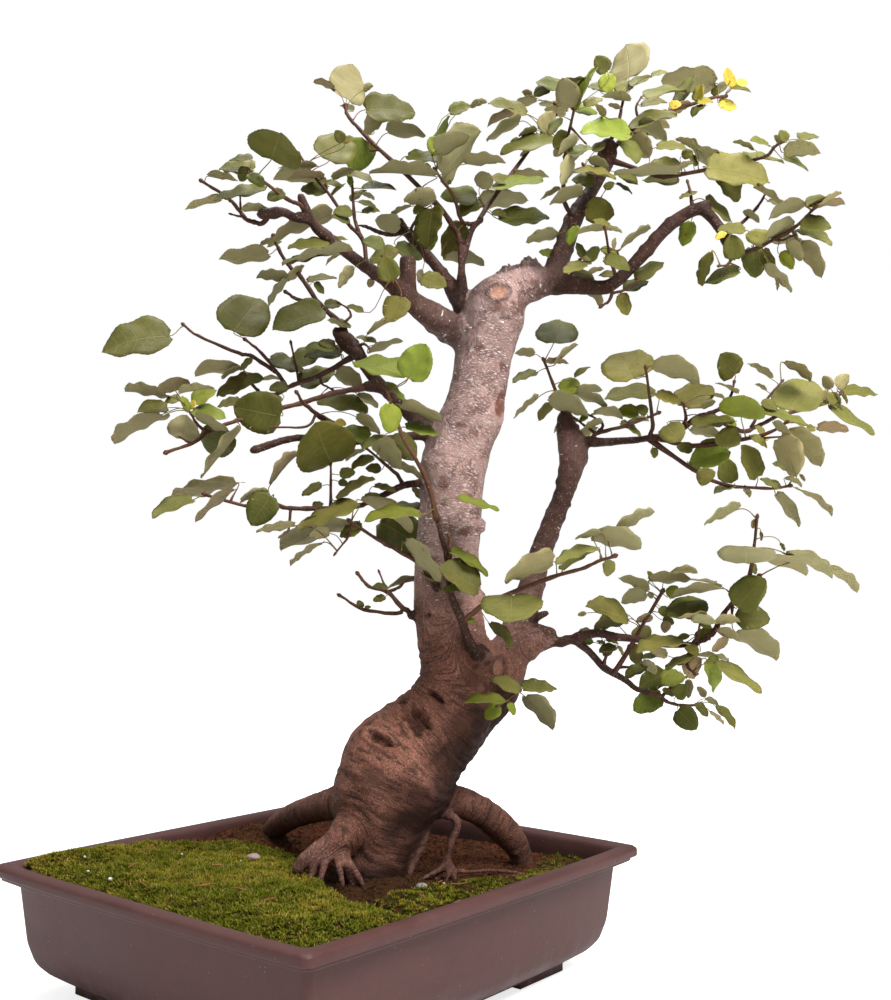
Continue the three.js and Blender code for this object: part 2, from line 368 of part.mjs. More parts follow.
    leaves: [
      [128,329, 95,350, 22,G], [156,303, 157,323, 50,G], [192,352, 148,341, 18,P], [230,364, 194,355, 7,G],
      [229,365, 201,345, 6,D], [268,363, 229,375, 18,P], [232,376, 211,374, 6,P], [244,375, 280,395, 9,P],
      [239,353, 240,339, 10,G], [138,299, 158,281, 9,G], [119,302, 126,299, 4,B]] },
  // The second stem and its limb to the right
  { name: "twig_stem_top", on: "second_stem", lean: -0.3, twigs: [
      [1.9, 205,470, 199,487, 197,496, 192,508, 189,515, 186,525]],
    leaves: [
      [194,542, 200,565, 33,G], [177,532, 160,533, 7,P], [188,525, 207,525, 5,R], [195,523, 215,541, 4,P],
      [179,516, 158,507, 7,G], [180,494, 158,477, 5,P], [203,498, 213,512, 15,B], [213,512, 225,522, 5,G],
      [214,498, 235,504, 8,P], [205,500, 240,486, 8,P], [225,482, 190,491, 15,P], [192,488, 180,474, 8,G],
      [215,474, 193,465, 6,P]] },
  { name: "twig_stem_limb", on: "stem_limb", lean: 0.5, twigs: [
      [2.0, 225,456, 231,463, 243,466, 255,469, 268,475, 283,480], [1.4, 231,463, 236,471, 228,477, 222,480],
      [1.4, 230,463, 220,471, 213,475]],
    leaves: [
      [230,468, 213,457, 8,P], [235,473, 219,468, 6,P], [282,498, 238,491, 12,D], [267,480, 248,481, 11,B],
      [228,480, 253,480, 7,P], [266,487, 274,480, 8,D], [252,471, 272,461, 6,G], [258,472, 276,475, 4,P],
      [223,478, 216,473, 5,B]] },
  { name: "twig_stem_up", on: "stem_limb", lean: -0.5, twigs: [
      [1.8, 277,459, 279,475, 277,490, 276,505, 274,518]],
    leaves: [
      [264,511, 250,538, 38,G], [281,522, 322,510, 17,P], [283,497, 303,488, 9,G]] },
  { name: "twig_stem_leaves", on: "stem_limb", lean: -0.9, twigs: [
      [1.7, 307,466, 308,478, 306,487]],
    leaves: [
      [307,486, 328,507, 25,G], [322,486, 334,491, 6,P], [331,496, 342,494, 3,P], [314,470, 352,474, 10,D],
      [341,474, 353,472, 8,B], [312,466, 340,462, 9,P], [292,470, 303,455, 20,G]] },
  { name: "twig_stem_tip", on: "stem_limb", lean: 0.8, twigs: [
      [1.6, 338,483, 347,495, 350,506]],
    leaves: [
      [351,514, 339,532, 22,D], [352,498, 336,510, 4,P]] },
  { name: "twig_stem_right", on: "stem_limb", lean: 0.5, twigs: [
      [2.1, 328,480, 340,473, 355,465, 362,468, 372,470, 383,476, 395,480, 412,484, 422,488, 432,490, 442,497],
      [1.4, 364,469, 373,483, 378,492, 385,500, 391,507]],
    leaves: [
      [398,483, 416,508, 33,G], [376,481, 418,472, 8,D], [374,490, 388,484, 8,G], [418,512, 394,525, 7,P],
      [382,511, 364,527, 6,P], [378,500, 369,507, 3,P], [443,499, 475,499, 9,D], [434,502, 428,513, 9,P],
      [440,503, 450,514, 11,P], [432,501, 428,490, 6,R], [431,499, 437,488, 7,G], [434,498, 443,488, 6,P],
      [443,497, 449,489, 3,P], [434,490, 425,487, 4,G], [433,484, 472,463, 9,G]] },
  { name: "twig_stem_mid", on: "stem_limb", lean: -0.45, twigs: [
      [2.2, 284,458, 305,453, 330,453, 350,457, 362,460, 376,462, 385,467, 393,471], [1.3, 352,458, 368,458, 392,460]],
    leaves: [
      [354,462, 333,456, 17,G], [344,449, 311,436, 22,B], [364,460, 379,452, 6,G], [372,458, 380,459, 5,Y],
      [368,469, 375,462, 5,G], [388,458, 407,427, 22,P], [395,464, 427,439, 18,P], [413,469, 420,465, 5,D],
      [422,468, 449,466, 9,R], [384,472, 398,462, 7,P], [356,477, 359,496, 35,B], [313,449, 300,452, 9,D]] },
  { name: "twig_stem_low", on: "stem_limb", lean: 0.3, twigs: [
      [2.1, 276,455, 285,451, 297,445, 308,438, 320,430, 330,422, 340,420, 350,418, 360,417, 375,415, 395,417]],
    leaves: [
      [310,437, 320,428, 8,D], [327,432, 321,417, 14,Y], [343,420, 343,442, 16,D], [349,417, 331,411, 6,D],
      [357,453, 369,425, 16,D], [383,438, 402,427, 7,D], [406,427, 410,421, 3,P], [371,423, 389,416, 6,G],
      [393,424, 408,418, 4,P], [404,414, 436,398, 3,P], [358,415, 363,408, 5,P], [385,410, 407,384, 10,P],
      [279,450, 281,441, 6,D]] },
  // The low limbs to the right
  { name: "twig_low_right_up", on: "right_lowest", lean: -0.4, twigs: [
      [2.3, 240,260, 247,262, 251,268, 257,278, 260,285, 264,292, 269,300, 275,309, 285,325],
      [1.4, 247,262, 258,262, 268,262]],
    leaves: [
      [221,316, 255,302, 15,G], [256,303, 226,296, 12,G], [236,315, 221,317, 4,P], [220,308, 213,306, 4,P],
      [250,320, 272,324, 12,P], [273,327, 250,341, 9,P], [273,325, 278,322, 5,P], [263,302, 277,304, 7,R],
      [290,305, 284,313, 8,D], [286,310, 298,309, 7,D], [286,302, 296,300, 7,D], [290,301, 287,291, 8,R],
      [264,285, 273,299, 14,G], [312,338, 275,336, 9,P], [293,341, 315,346, 6,P], [274,344, 276,337, 4,D],
      [291,322, 299,331, 9,B], [284,272, 268,270, 5,D], [270,262, 253,254, 9,D], [268,267, 280,257, 8,P],
      [262,282, 262,263, 12,G]] },
  { name: "twig_low_right_spur", on: "right_lowest", lean: -0.5, twigs: [
      [1.7, 236,263, 236,271, 238,277]],
    leaves: [
      [224,293, 213,291, 5,P], [226,283, 216,283, 5,B], [229,285, 236,282, 3,G], [237,285, 248,282, 3,G],
      [246,279, 231,275, 7,G], [243,277, 235,272, 6,D], [247,280, 252,272, 3,P]] },
  { name: "twig_low_right_end", on: "right_lowest", lean: 0.4, twigs: [
      [1.9, 271,241, 283,238, 288,233, 300,230, 312,230], [1.5, 284,237, 295,248, 305,254, 312,256]],
    leaves: [
      [287,256, 264,246, 18,D], [299,258, 286,246, 16,B], [284,238, 259,227, 18,B], [296,237, 305,247, 13,D],
      [309,236, 306,251, 7,P], [285,243, 295,238, 5,G], [298,226, 313,210, 20,D], [314,231, 324,221, 7,G],
      [321,237, 315,246, 6,P], [322,235, 333,232, 5,P], [325,225, 336,213, 4,P], [330,229, 348,211, 7,G]] },
  { name: "twig_low_right_stub", on: "right_low_cut", lean: -0.8, twigs: [
      [1.6, 304,269, 307,262, 311,258]],
    leaves: [
      [318,270, 306,255, 14,R], [323,268, 333,241, 14,B], [330,265, 370,241, 10,G], [313,272, 287,262, 6,G],
      [311,272, 342,269, 3,P], [289,272, 274,278, 8,P]] },
  { name: "twig_low_right_mid", on: "right_low", lean: -0.6, twigs: [
      [1.6, 312,282, 316,290, 318,301]],
    leaves: [
      [307,322, 306,304, 30,D], [299,303, 322,306, 4,P], [332,301, 311,303, 8,P], [316,284, 327,297, 11,D],
      [328,297, 318,298, 5,D], [316,275, 304,278, 9,D], [308,289, 297,285, 5,G], [304,283, 263,279, 10,G]] },
  { name: "twig_low_right_far", on: "right_low", lean: -0.2, twigs: [
      [2.4, 324,287, 330,293, 338,307, 345,315, 352,325, 358,332, 367,338],
      [2.0, 358,332, 361,343, 363,350, 365,365, 367,380, 368,388], [1.7, 347,317, 345,306]],
    leaves: [
      [352,397, 321,387, 9,P], [368,388, 363,381, 5,R], [371,378, 372,370, 2.5,P], [358,351, 357,370, 42,P],
      [363,350, 366,341, 5,D], [369,355, 410,348, 8,P], [392,359, 433,341, 11,P], [424,347, 455,330, 7,P],
      [391,361, 388,368, 3,P], [350,313, 374,338, 25,D], [349,303, 378,304, 20,D], [331,300, 352,303, 8,P],
      [348,292, 384,273, 16,P], [333,294, 350,285, 8,P], [341,284, 326,278, 9,R], [309,338, 330,333, 3,P],
      [336,329, 292,322, 7,P]] },
];

// Pebbles on the soil, as seen, with their half sizes
const PEBBLES = [
  { name: "pebble_pink", at: [-62, 103, 26], half: [7, 6, 3.5], colour: 0xa08a86 },
  { name: "pebble_grey", at: [80, 78.8, -46], half: [6, 5, 3], colour: 0x8d8984 },
];

const MATERIALS = {
  pot: new THREE.MeshStandardMaterial({ color: 0x6b4f4c, roughness: 0.5, metalness: 0 }),
  soil: new THREE.MeshStandardMaterial({ color: 0x4a2a20, roughness: 1, metalness: 0 }),
  moss: new THREE.MeshStandardMaterial({ color: 0x7c9a1e, roughness: 1, metalness: 0 }),
  wood: new THREE.MeshStandardMaterial({ color: 0x6a4f47, roughness: 0.85, metalness: 0 }),
  leaf: new THREE.MeshStandardMaterial({ color: 0x5f7031, roughness: 0.6, metalness: 0 }),
};

// The same whole number always gives the same value between 0 and 1
function draw(n) {
  let v = Math.imul(n + 1, 2654435761) >>> 0;
  v = Math.imul(v ^ (v >>> 15), 2246822519) >>> 0;
  v = (v ^ (v >>> 13)) >>> 0;
  return v / 4294967296;
}

function far(y) {
  return 1 - y / EYE.y;
}

// A point of the picture plane moved back to depth y and turned into the frame of the pot
function seen(x, z, y) {
  const k = far(y);
  const ax = EYE.x + (x - EYE.x) * k;
  const az = EYE.z + (z - EYE.z) * k;
  const c = Math.cos(TURN);
  const s = Math.sin(TURN);
  return new THREE.Vector3(ax * c + y * s, -ax * s + y * c, az);
}

// A closed solid from a list of corners and a list of faces
function solid(points, faces) {
  return new Manifold(new SolidMesh({
    numProp: 3,
    vertProperties: new Float32Array(points.flatMap((p) => [p.x, p.y, p.z])),
    triVerts: new Uint32Array(faces.flat()),
  }));
}

// A three.js geometry as a solid: its corners are shared once only their places are left
function solidOf(geometry) {
  geometry.deleteAttribute("normal");
  geometry.deleteAttribute("uv");
  const merged = mergeVertices(geometry);
  return new Manifold(new SolidMesh({
    numProp: 3,
    vertProperties: merged.getAttribute("position").array,
    triVerts: new Uint32Array(merged.getIndex().array),
  }));
}

// Rings of equal count joined into one closed skin, with a flat face at each end
function loft(rings) {
  const n = rings[0].length;
  const faces = [];
  for (let i = 0; i + 1 < rings.length; i++) {
    for (let j = 0; j < n; j++) {
      const a = i * n + j;
      const b = i * n + ((j + 1) % n);
      faces.push([a, b, b + n], [a, b + n, a + n]);
    }
  }
  const last = (rings.length - 1) * n;
  for (let j = 1; j + 1 < n; j++) {
    faces.push([0, j + 1, j], [last, last + j, last + j + 1]);
  }
  return solid(rings.flat(), faces);
}

// The rings of a round bar along a bent line of [point, radius], carried on without twist
function ringsOf(line, sides, grow = 0) {
  const rings = [];
  const normal = new THREE.Vector3();
  const last = new THREE.Vector3();
  line.forEach(([point, radius], i) => {
    const before = line[Math.max(0, i - 1)][0];
    const after = line[Math.min(line.length - 1, i + 1)][0];
    const into = point.clone().sub(before);
    const out = after.clone().sub(point);
    const along = into.normalize().add(out.normalize()).normalize();
    if (i === 0) {
      normal.set(0, 0, 1).cross(along);
      if (normal.length() < 0.2) normal.set(1, 0, 0);
    } else {
      normal.applyQuaternion(new THREE.Quaternion().setFromUnitVectors(last, along));
    }
    last.copy(along);
    normal.addScaledVector(along, -normal.dot(along)).normalize();
    const side = new THREE.Vector3().crossVectors(along, normal);
    const ring = [];
    for (let j = 0; j < sides; j++) {
      const a = (2 * Math.PI * j) / sides;
      ring.push(point.clone()
        .addScaledVector(normal, (radius + grow) * Math.cos(a))
        .addScaledVector(side, (radius + grow) * Math.sin(a)));
    }
    rings.push(ring);
  });
  return rings;
}

function bar(line, sides, grow = 0) {
  return loft(ringsOf(line, sides, grow));
}

function limbLine(limb) {
  return limb.line.map(([x, z, y, r]) => [seen(x, z, y), r * far(y)]);
}

// How far a point is outside the wood of all limbs
function outsideWood(point) {
  let best = Infinity;
  const foot = new THREE.Vector3();
  for (const limb of Object.values(LIMBS)) {
    const line = limb.placed;
    for (let i = 0; i + 1 < line.length; i++) {
      const [a, ra] = line[i];
      const [b, rb] = line[i + 1];
      const run = b.clone().sub(a);
      const t = THREE.MathUtils.clamp(point.clone().sub(a).dot(run) / run.lengthSq(), 0, 1);
      foot.copy(a).addScaledVector(run, t);
      best = Math.min(best, foot.distanceTo(point) - (ra + (rb - ra) * t));
    }
  }
  return best;
}

// The nearest point of a flat line of [x, z, ...extra] to x, z, with the extras blended
function nearest(line, x, z) {
  let best = null;
  for (let i = 0; i + 1 < line.length; i++) {
    const a = line[i];
    const b = line[i + 1];
    const rx = b[0] - a[0];
    const rz = b[1] - a[1];
    const t = THREE.MathUtils.clamp(((x - a[0]) * rx + (z - a[1]) * rz) / (rx * rx + rz * rz), 0, 1);
    const away = Math.hypot(x - a[0] - rx * t, z - a[1] - rz * t);
    if (!best || away < best.away) {
      best = { away, i, t, at: a.map((v, k) => v + (b[k] - v) * t) };
    }
  }
  return best;
}

// A line without the points that bend it by less than a hair
function thinned(line, slack) {
  if (line.length < 3) return line;
  const [a, b] = [line[0], line[line.length - 1]];
  const length = Math.hypot(b[0] - a[0], b[1] - a[1]);
  const off = line.map(([x, z]) => Math.abs((x - a[0]) * (b[1] - a[1]) - (z - a[1]) * (b[0] - a[0])) / length);
  const most = off.indexOf(Math.max(...off));
  if (off[most] < slack) return [a, b];
  return [...thinned(line.slice(0, most + 1), slack).slice(0, -1), ...thinned(line.slice(most), slack)];
}

// The nearest point of several lines
function nearestOf(lines, x, z) {
  return lines.map((line, which) => ({ ...nearest(line, x, z), which }))
    .sort((a, b) => a.away - b.away)[0];
}

// The twigs of a spray in place, from the heart of the limb on. Leaves sit only on the part
// that stands clear of the wood.
function twigsOf(spray) {
  const [, x0, z0] = spray.twigs[0];
  const root = nearest(LIMBS[spray.on].line, x0, z0).at;
  const lines = [];
  for (const [r, ...flat] of spray.twigs) {
    const line = [];
    const last = flat.length / 2 - 1;
    for (let i = 0; i <= last; i++) {
      const [x, z] = [flat[2 * i], flat[2 * i + 1]];
      const depth = root[2] + spray.lean * Math.hypot(x - root[0], z - root[1]);
      line.push([x, z, depth, r * (1 - (0.45 * i) / last)]);
    }
    line[0] = lines.length
      ? [...nearestOf(lines, line[0][0], line[0][1]).at.slice(0, 3), r]
      : [root[0], root[1], root[2], r];
    lines.push(thinned(line, 1.1));
  }
  const place = ([x, z, y, r]) => [seen(x, z, y), r];
  const first = lines[0].map(place);
  let i = 0;
  let t = 0;
  const at = new THREE.Vector3();
  for (;;) {
    const span = first[i][0].distanceTo(first[i + 1][0]);
    at.lerpVectors(first[i][0], first[i + 1][0], t / span);
    if (outsideWood(at) > CLEAR) break;
    t += 0.5;
    if (t >= span) {
      t = 0;
      i += 1;
      if (i + 1 >= first.length) throw new Error(spray.name + " never leaves the wood");
    }
  }
  spray.rings = lines.map((line) => ringsOf(line.map(place).map(([point, r]) => [point, r * 1.25]), 3));
  const share = Math.min(0.9, (t + 1.5) / first[i + 1][0].distanceTo(first[i][0]));
  const begin = lines[0][i].map((v, k) => v + (lines[0][i + 1][k] - v) * share);
  spray.lines = [[begin, ...lines[0].slice(i + 1)], ...lines.slice(1)];
  spray.skip = { i, share };
}

// Half outlines of a blade as [share of the length, share of the half width]
const OUTLINES = {
  large: [[-0.03, 0.42], [0.18, 0.92], [0.5, 0.98], [0.8, 0.56]],
  middle: [[0.02, 0.62], [0.32, 1.02], [0.74, 0.66]],
  small: [[0.16, 0.92], [0.62, 0.86]],
  tiny: [[0.42, 1]],
};

// Where a stalk leaves the twig: the middle of the twig's side that looks most towards it,
// a little way in
function stalkRoot(spray, hit, towards) {
  let { i, t } = hit;
  if (hit.which === 0) {
    if (i === 0) t = spray.skip.share + t * (1 - spray.skip.share);
    i += spray.skip.i;
  }
  const [low, high] = [spray.rings[hit.which][i], spray.rings[hit.which][i + 1]];
  const margin = Math.min(0.45, 0.8 / low[0].distanceTo(high[0]));
  t = THREE.MathUtils.clamp(t, margin, 1 - margin);
  let best = null;
  low.forEach((corner, j) => {
    const k = (j + 1) % low.length;
    const left = corner.clone().lerp(high[j], t);
    const right = low[k].clone().lerp(high[k], t);
    const out = right.clone().sub(left).cross(high[j].clone().sub(corner)).normalize();
    const centre = left.lerp(right, 0.5);
    const gain = towards.clone().sub(centre).normalize().dot(out);
    if (!best || gain > best.gain) best = { gain, spot: centre.addScaledVector(out, -0.3) };
  });
  return best.spot;
}

// One blade and its stalk: seen base and tip, and the depth of both worked out from how much
// shorter or narrower it looks than an alder leaf is. The stalk is a three-sided prism that
// runs on from the base of the blade to the heart of the twig.
function blade(spray, leaf, seed, shift) {
  const [x0, z0, x1, z1, wide, tone] = leaf;
  const hitBase = nearestOf(spray.lines, x0, z0);
  const hitTip = nearestOf(spray.lines, x1, z1);
  const swap = hitTip.away + 2 < hitBase.away;
  const [xb, zb, xt, zt] = swap ? [x1, z1, x0, z0] : [x0, z0, x1, z1];
  const hit = swap ? hitTip : hitBase;
  const yq = hit.at[2];
  const flat = Math.hypot(xt - xb, zt - zb);
  const long = Math.max(flat, wide / BLADE.ratio);
  const yb = yq + (draw(seed) - 0.5) * BLADE.spread + shift;
  const back = Math.sqrt(long * long - flat * flat) + draw(seed + 1) * 0.35 * flat;
  const yt = yb + (yb < yq ? -back : back);
  const base = seen(xb, zb, yb);
  const tip = seen(xt, zt, yt);
  const root = stalkRoot(spray, hit, base);
  if (root.distanceTo(base) < 2) return null;
  const along = tip.clone().sub(base);
  const length = along.length();
  along.normalize();
  const half = (length * BLADE.ratio) / 2;
  const roll = Math.acos(Math.min(1, (wide * far(yb)) / (2 * half)));
  const look = seen(EYE.x, EYE.z, EYE.y * 0.999).sub(base).normalize();
  look.addScaledVector(along, -look.dot(along)).normalize();
  const up = tone === P || tone === R ? -1 : 1;
  const one = look.clone().applyAxisAngle(along, roll).multiplyScalar(up);
  const two = look.clone().applyAxisAngle(along, -roll).multiplyScalar(up);
  const normal = one.z > two.z ? one : two;
  const side = new THREE.Vector3().crossVectors(normal, along);
  const outline = length >= 60 ? OUTLINES.large : length >= 42 ? OUTLINES.middle
    : length >= 24 ? OUTLINES.small : OUTLINES.tiny;
  const arch = (draw(seed + 3) - 0.3) * 0.22 * length;
  const spot = (s, w, lift) => base.clone()
    .addScaledVector(along, s * length)
    .addScaledVector(side, w)
    .addScaledVector(normal, BLADE.fold * Math.abs(w) - arch * s * s + lift);
  const t = BLADE.thickness / 2;
  const flatRing = [...outline.map(([s, w]) => [s, -w * half]), [1, 0],
    ...[...outline].reverse().map(([s, w]) => [s, w * half])];
  const neck = length < 20 ? 0.55 : 0.7;
  const points = [
    spot(0, -neck, t), ...flatRing.map(([s, w]) => spot(s, w, t)), spot(0, neck, t),
    spot(0, 0, -t), ...flatRing.map(([s, w]) => spot(s, w, -t)),
  ];
  const n = flatRing.length + 2;
  const tipAt = outline.length + 1;
  const faces = [[0, tipAt, n - 1]];
  for (let i = 1; i < tipAt; i++) faces.push([0, i, i + 1]);
  for (let i = tipAt; i + 2 < n; i++) faces.push([n - 1, i, i + 1]);
  for (let i = 1; i + 2 < n; i++) faces.push([n, n + i + 1, n + i]);
  faces.push([1, 0, n], [1, n, n + 1]);
  for (let i = 1; i + 2 < n; i++) faces.push([i + 1, i, i + n], [i + 1, i + n, i + n + 1]);
  faces.push([n - 1, n - 2, n + n - 2], [n - 1, n + n - 2, n]);
  const back1 = along.clone().negate();
  const away = root.clone().sub(base).normalize();
  const stops = [];
  if (away.dot(back1) < 0.3) {
    const knee = base.clone().addScaledVector(back1, 2.5);
    const onward = root.clone().sub(knee).normalize();
    stops.push([knee, onward.clone().add(back1).normalize()], [root, onward]);
  } else {
    stops.push([root, away]);
  }
  let last = [0, n - 1, n];
  const across = side.clone();
  for (const [place, heading] of stops) {
    across.addScaledVector(heading, -across.dot(heading)).normalize();
    const over = new THREE.Vector3().crossVectors(across, heading);
    const m = points.length;
    for (const [u, v] of [[-0.5, 0.35], [0.5, 0.35], [0, -0.5]]) {
      points.push(place.clone().addScaledVector(across, u).addScaledVector(over, v));
    }
    const next = [m, m + 1, m + 2];
    last.forEach((from, i) => {
      const j = (i + 1) % 3;
      faces.push([from, last[j], next[j]], [from, next[j], next[i]]);
    });
    last = next;
  }
  faces.push(last);
  return solid(points, faces);
}

// Depth steps that a blade tries, in turn, until it is clear of the wood and the other sprays
const STEPS = [0, 7, -7, 14, -14, 21, -21, 28, -28, 36, -36, 45, -45, 55, -55];

function touches(made, others) {
  const box = made.boundingBox();
  return others.some(([other, limits]) =>
    [0, 1, 2].every((k) => box.min[k] < limits.max[k] && box.max[k] > limits.min[k])
    && made.intersect(other).volume() > 0);
}

// Whether a blade crosses another of its spray by more than their shared root in the twig
function crosses(made, own) {
  return own.some((other) => made.intersect(other).volume() > 0.3);
}

function withBox(made) {
  return [made, made.boundingBox()];
}

function twigBars(spray) {
  return spray.rings.map(loft);
}

// A spray as one solid: its twigs, then each blade where it is clear of what stands already.
// A blade that no step clears is left out.
function growSpray(spray, standing) {
  const own = twigBars(spray);
  const sizes = spray.leaves.map(([xb, zb, xt, zt, wide]) => (
    Math.max(Math.hypot(xt - xb, zt - zb), wide / BLADE.ratio)));
  const least = Math.min(LEAST, [...sizes].sort((a, b) => b - a)[1]);
  spray.leaves.forEach((leaf, i) => {
    if (sizes[i] < least) return;
    const seed = Math.round(leaf[0] * 7 + leaf[1] * 131 + leaf[2] * 17 + leaf[3] * 1009);
    for (const shift of STEPS) {
      const made = blade(spray, leaf, seed, shift);
      if (made && !touches(made, standing) && !crosses(made, own)) {
        own.push(made);
        return;
      }
    }
  });
  return biggest(Manifold.union(own).subtract(treeSkin).asOriginal().simplify(SPRAY_SLACK));
}

function growTree(grow = 0) {
  const limbs = Object.values(LIMBS).map((limb) => bar(limb.placed, limb.sides, grow));
  return Manifold.union(limbs).asOriginal().simplify(WOOD_SLACK);
}

// One level ring of the pot: a rectangle with round corners whose sides bow out a little
function potRing(inset, z) {
  const hx = POT.length / 2 - inset;
  const hy = POT.width / 2 - inset;
  const corners = [[hx, hy, 0], [-hx, hy, 1], [-hx, -hy, 2], [hx, -hy, 3]];
  const r = POT.corner;
  const ring = [];
  corners.forEach(([cx, cy, quarter], i) => {
    const sx = Math.sign(cx);
    const sy = Math.sign(cy);
    const points = [0, 1, 2].map((k) => {
      const a = ((quarter + k / 2) * Math.PI) / 2;
      return new THREE.Vector3(cx - sx * r + r * Math.cos(a), cy - sy * r + r * Math.sin(a), z);
    });
    ring.push(...points);
    const from = points[2];
    const [nx, ny] = corners[(i + 1) % 4];
    for (const t of [0.3, 0.7]) {
      const bow = POT.bow * (1 - (2 * t - 1) ** 2);
      const alongX = i % 2 === 0;
      const to = alongX ? nx - Math.sign(nx) * r : ny - Math.sign(ny) * r;
      ring.push(alongX
        ? new THREE.Vector3(from.x + (to - from.x) * t, from.y + Math.sign(from.y) * bow, z)
        : new THREE.Vector3(from.x + Math.sign(from.x) * bow, from.y + (to - from.y) * t, z));
    }
  });
  return ring;
}

function makePot() {
  const body = loft([...POT_OUTSIDE, ...POT_INSIDE].map(([inset, z]) => potRing(inset, z)));
  const feet = [];
  for (const sx of [-1, 1]) {
    for (const sy of [-1, 1]) {
      const x = sx * (POT.length / 2 - FOOT.inset);
      const y = sy * (POT.width / 2 - FOOT.inset);
      const tall = FOOT.height + 1;
      const block = (w, d) => solidOf(new THREE.BoxGeometry(w, d, tall)
        .translate(x - (sx * w) / 2, y - (sy * d) / 2, tall / 2));
      feet.push(block(FOOT.arm, FOOT.thick), block(FOOT.thick, FOOT.arm));
    }
  }
  return Manifold.union([body, ...feet]);
}

// Height of the soil: low at the right and back corners, with a mound by the far left wall
function soilHeight(x, y) {
  const left = THREE.MathUtils.smoothstep(-x, -40, 160);
  const mound = 9 * Math.exp(-(((x - 60) / 60) ** 2) - ((y - 140) / 36) ** 2);
  return 87.5 + 7.5 * left + mound + 1.2 * Math.sin(x / 17 + 1) * Math.sin(y / 15);
}

// The moss is a cushion over the soil: full at the left corner, thin along the front
function mossHeight(x, y) {
  const full = THREE.MathUtils.smoothstep(-x, -60, 120);
  const edge = Math.min(1, (190 - Math.abs(x)) / 30, (175 - Math.abs(y)) / 30);
  const lumps = 1.6 * Math.sin(x / 9 + y / 23) * Math.cos(y / 11 - x / 31);
  return soilHeight(x, y) + 3.2 + (10 * full + lumps) * Math.max(0.25, edge);
}

// A block from level low up to a surface given by a height rule
function terrain(height, cells, low) {
  const hx = 196;
  const hy = 181;
  const n = cells + 1;
  const points = [];
  for (const top of [true, false]) {
    for (let j = 0; j < n; j++) {
      for (let i = 0; i < n; i++) {
        const x = -hx + (2 * hx * i) / cells;
        const y = -hy + (2 * hy * j) / cells;
        points.push(new THREE.Vector3(x, y, top ? height(x, y) : low));
      }
    }
  }
  const faces = [];
  const under = n * n;
  for (let j = 0; j < cells; j++) {
    for (let i = 0; i < cells; i++) {
      const a = j * n + i;
      faces.push([a, a + 1, a + n + 1], [a, a + n + 1, a + n]);
      faces.push([a + under, a + n + 1 + under, a + 1 + under], [a + under, a + n + under, a + n + 1 + under]);
    }
  }
  const rim = [];
  for (let i = 0; i < cells; i++) rim.push(i);
  for (let j = 0; j < cells; j++) rim.push(j * n + cells);
  for (let i = cells; i > 0; i--) rim.push(cells * n + i);
  for (let j = cells; j > 0; j--) rim.push(j * n);
  rim.forEach((a, k) => {
    const b = rim[(k + 1) % rim.length];
    faces.push([b, a, a + under], [b, a + under, b + under]);
  });
  return solid(points, faces);
}

// Where the moss lies, as corners on the soil
const MOSS_AREAS = {
  moss_cushion: [
    [-183, -168], [18, -168], [0, -122], [-22, -78], [-33, -52], [-30, -12], [-6, 26], [24, 52],
    [36, 80], [30, 108], [8, 134], [-40, 148], [-100, 160], [-120, 168], [-183, 168]],
  moss_strip: [
    [26, -168], [183, -168], [183, -84], [152, -88], [118, -106], [70, -98], [30, -102], [4, -108], [12, -132]],
};

function biggest(made) {
  return made.decompose().sort((a, b) => b.volume() - a.volume())[0];
}

function meshOf(name, made, material) {
  const { numProp, vertProperties, triVerts } = made.getMesh();
  const position = new Float32Array((vertProperties.length / numProp) * 3);
  for (let i = 0; i < position.length / 3; i++) {
    position.set(vertProperties.subarray(i * numProp, i * numProp + 3), i * 3);
  }
  const geometry = new THREE.BufferGeometry();
  geometry.setAttribute("position", new THREE.BufferAttribute(position, 3));
  geometry.setIndex(new THREE.BufferAttribute(new Uint32Array(triVerts), 1));
  geometry.computeVertexNormals();
  const mesh = new THREE.Mesh(geometry, material);
  mesh.name = name;
  return mesh;
}

function pebbleSolid({ at, half }, grow = 0) {
  const place = seen(...at);
  return solidOf(new THREE.IcosahedronGeometry(1, 1)
    .scale(...half.map((h) => h + grow))
    .rotateZ(0.5)
    .translate(place.x, place.y, place.z));
}

const bonsai = new THREE.Group();
bonsai.name = "bonsai";

for (const limb of Object.values(LIMBS)) limb.placed = limbLine(limb);
SPRAYS.forEach(twigsOf);

const tree = growTree();
const treeHole = growTree(HOLE_GAP);
const treeSkin = growTree(SKIN_GAP);
const pebbleHoles = PEBBLES.map((pebble) => pebbleSolid(pebble, SKIN_GAP));
const room = loft([...POT_INSIDE].reverse().map(([inset, z]) => potRing(inset + HOLE_GAP, z + HOLE_GAP)));
const ground = terrain(soilHeight, 8, 0);
const soil = biggest(room.intersect(ground).subtract(Manifold.union([treeHole, ...pebbleHoles])));
const cover = loft([[19.6, 80], [18.1, 92], [15.6, 105.2], [15.6, 140]].map(([inset, z]) => potRing(inset, z)));
const mossBulk = terrain(mossHeight, 11, 40)
  .intersect(cover)
  .subtract(ground.translate([0, 0, SKIN_GAP]))
  .subtract(Manifold.union([treeHole, ...pebbleHoles]));

bonsai.add(meshOf("pot", makePot(), MATERIALS.pot));
bonsai.add(meshOf("soil", soil, MATERIALS.soil));
for (const [name, area] of Object.entries(MOSS_AREAS)) {
  const outline = new THREE.Shape(area.map(([x, y]) => new THREE.Vector2(x, y)));
  const patch = new THREE.ExtrudeGeometry(outline, { depth: 100, bevelEnabled: false }).translate(0, 0, 50);
  bonsai.add(meshOf(name, biggest(mossBulk.intersect(solidOf(patch))), MATERIALS.moss));
}
for (const pebble of PEBBLES) {
  const stone = new THREE.MeshStandardMaterial({ color: pebble.colour, roughness: 0.8, metalness: 0 });
  bonsai.add(meshOf(pebble.name, pebbleSolid(pebble), stone));
}
bonsai.add(meshOf("tree", tree, MATERIALS.wood));

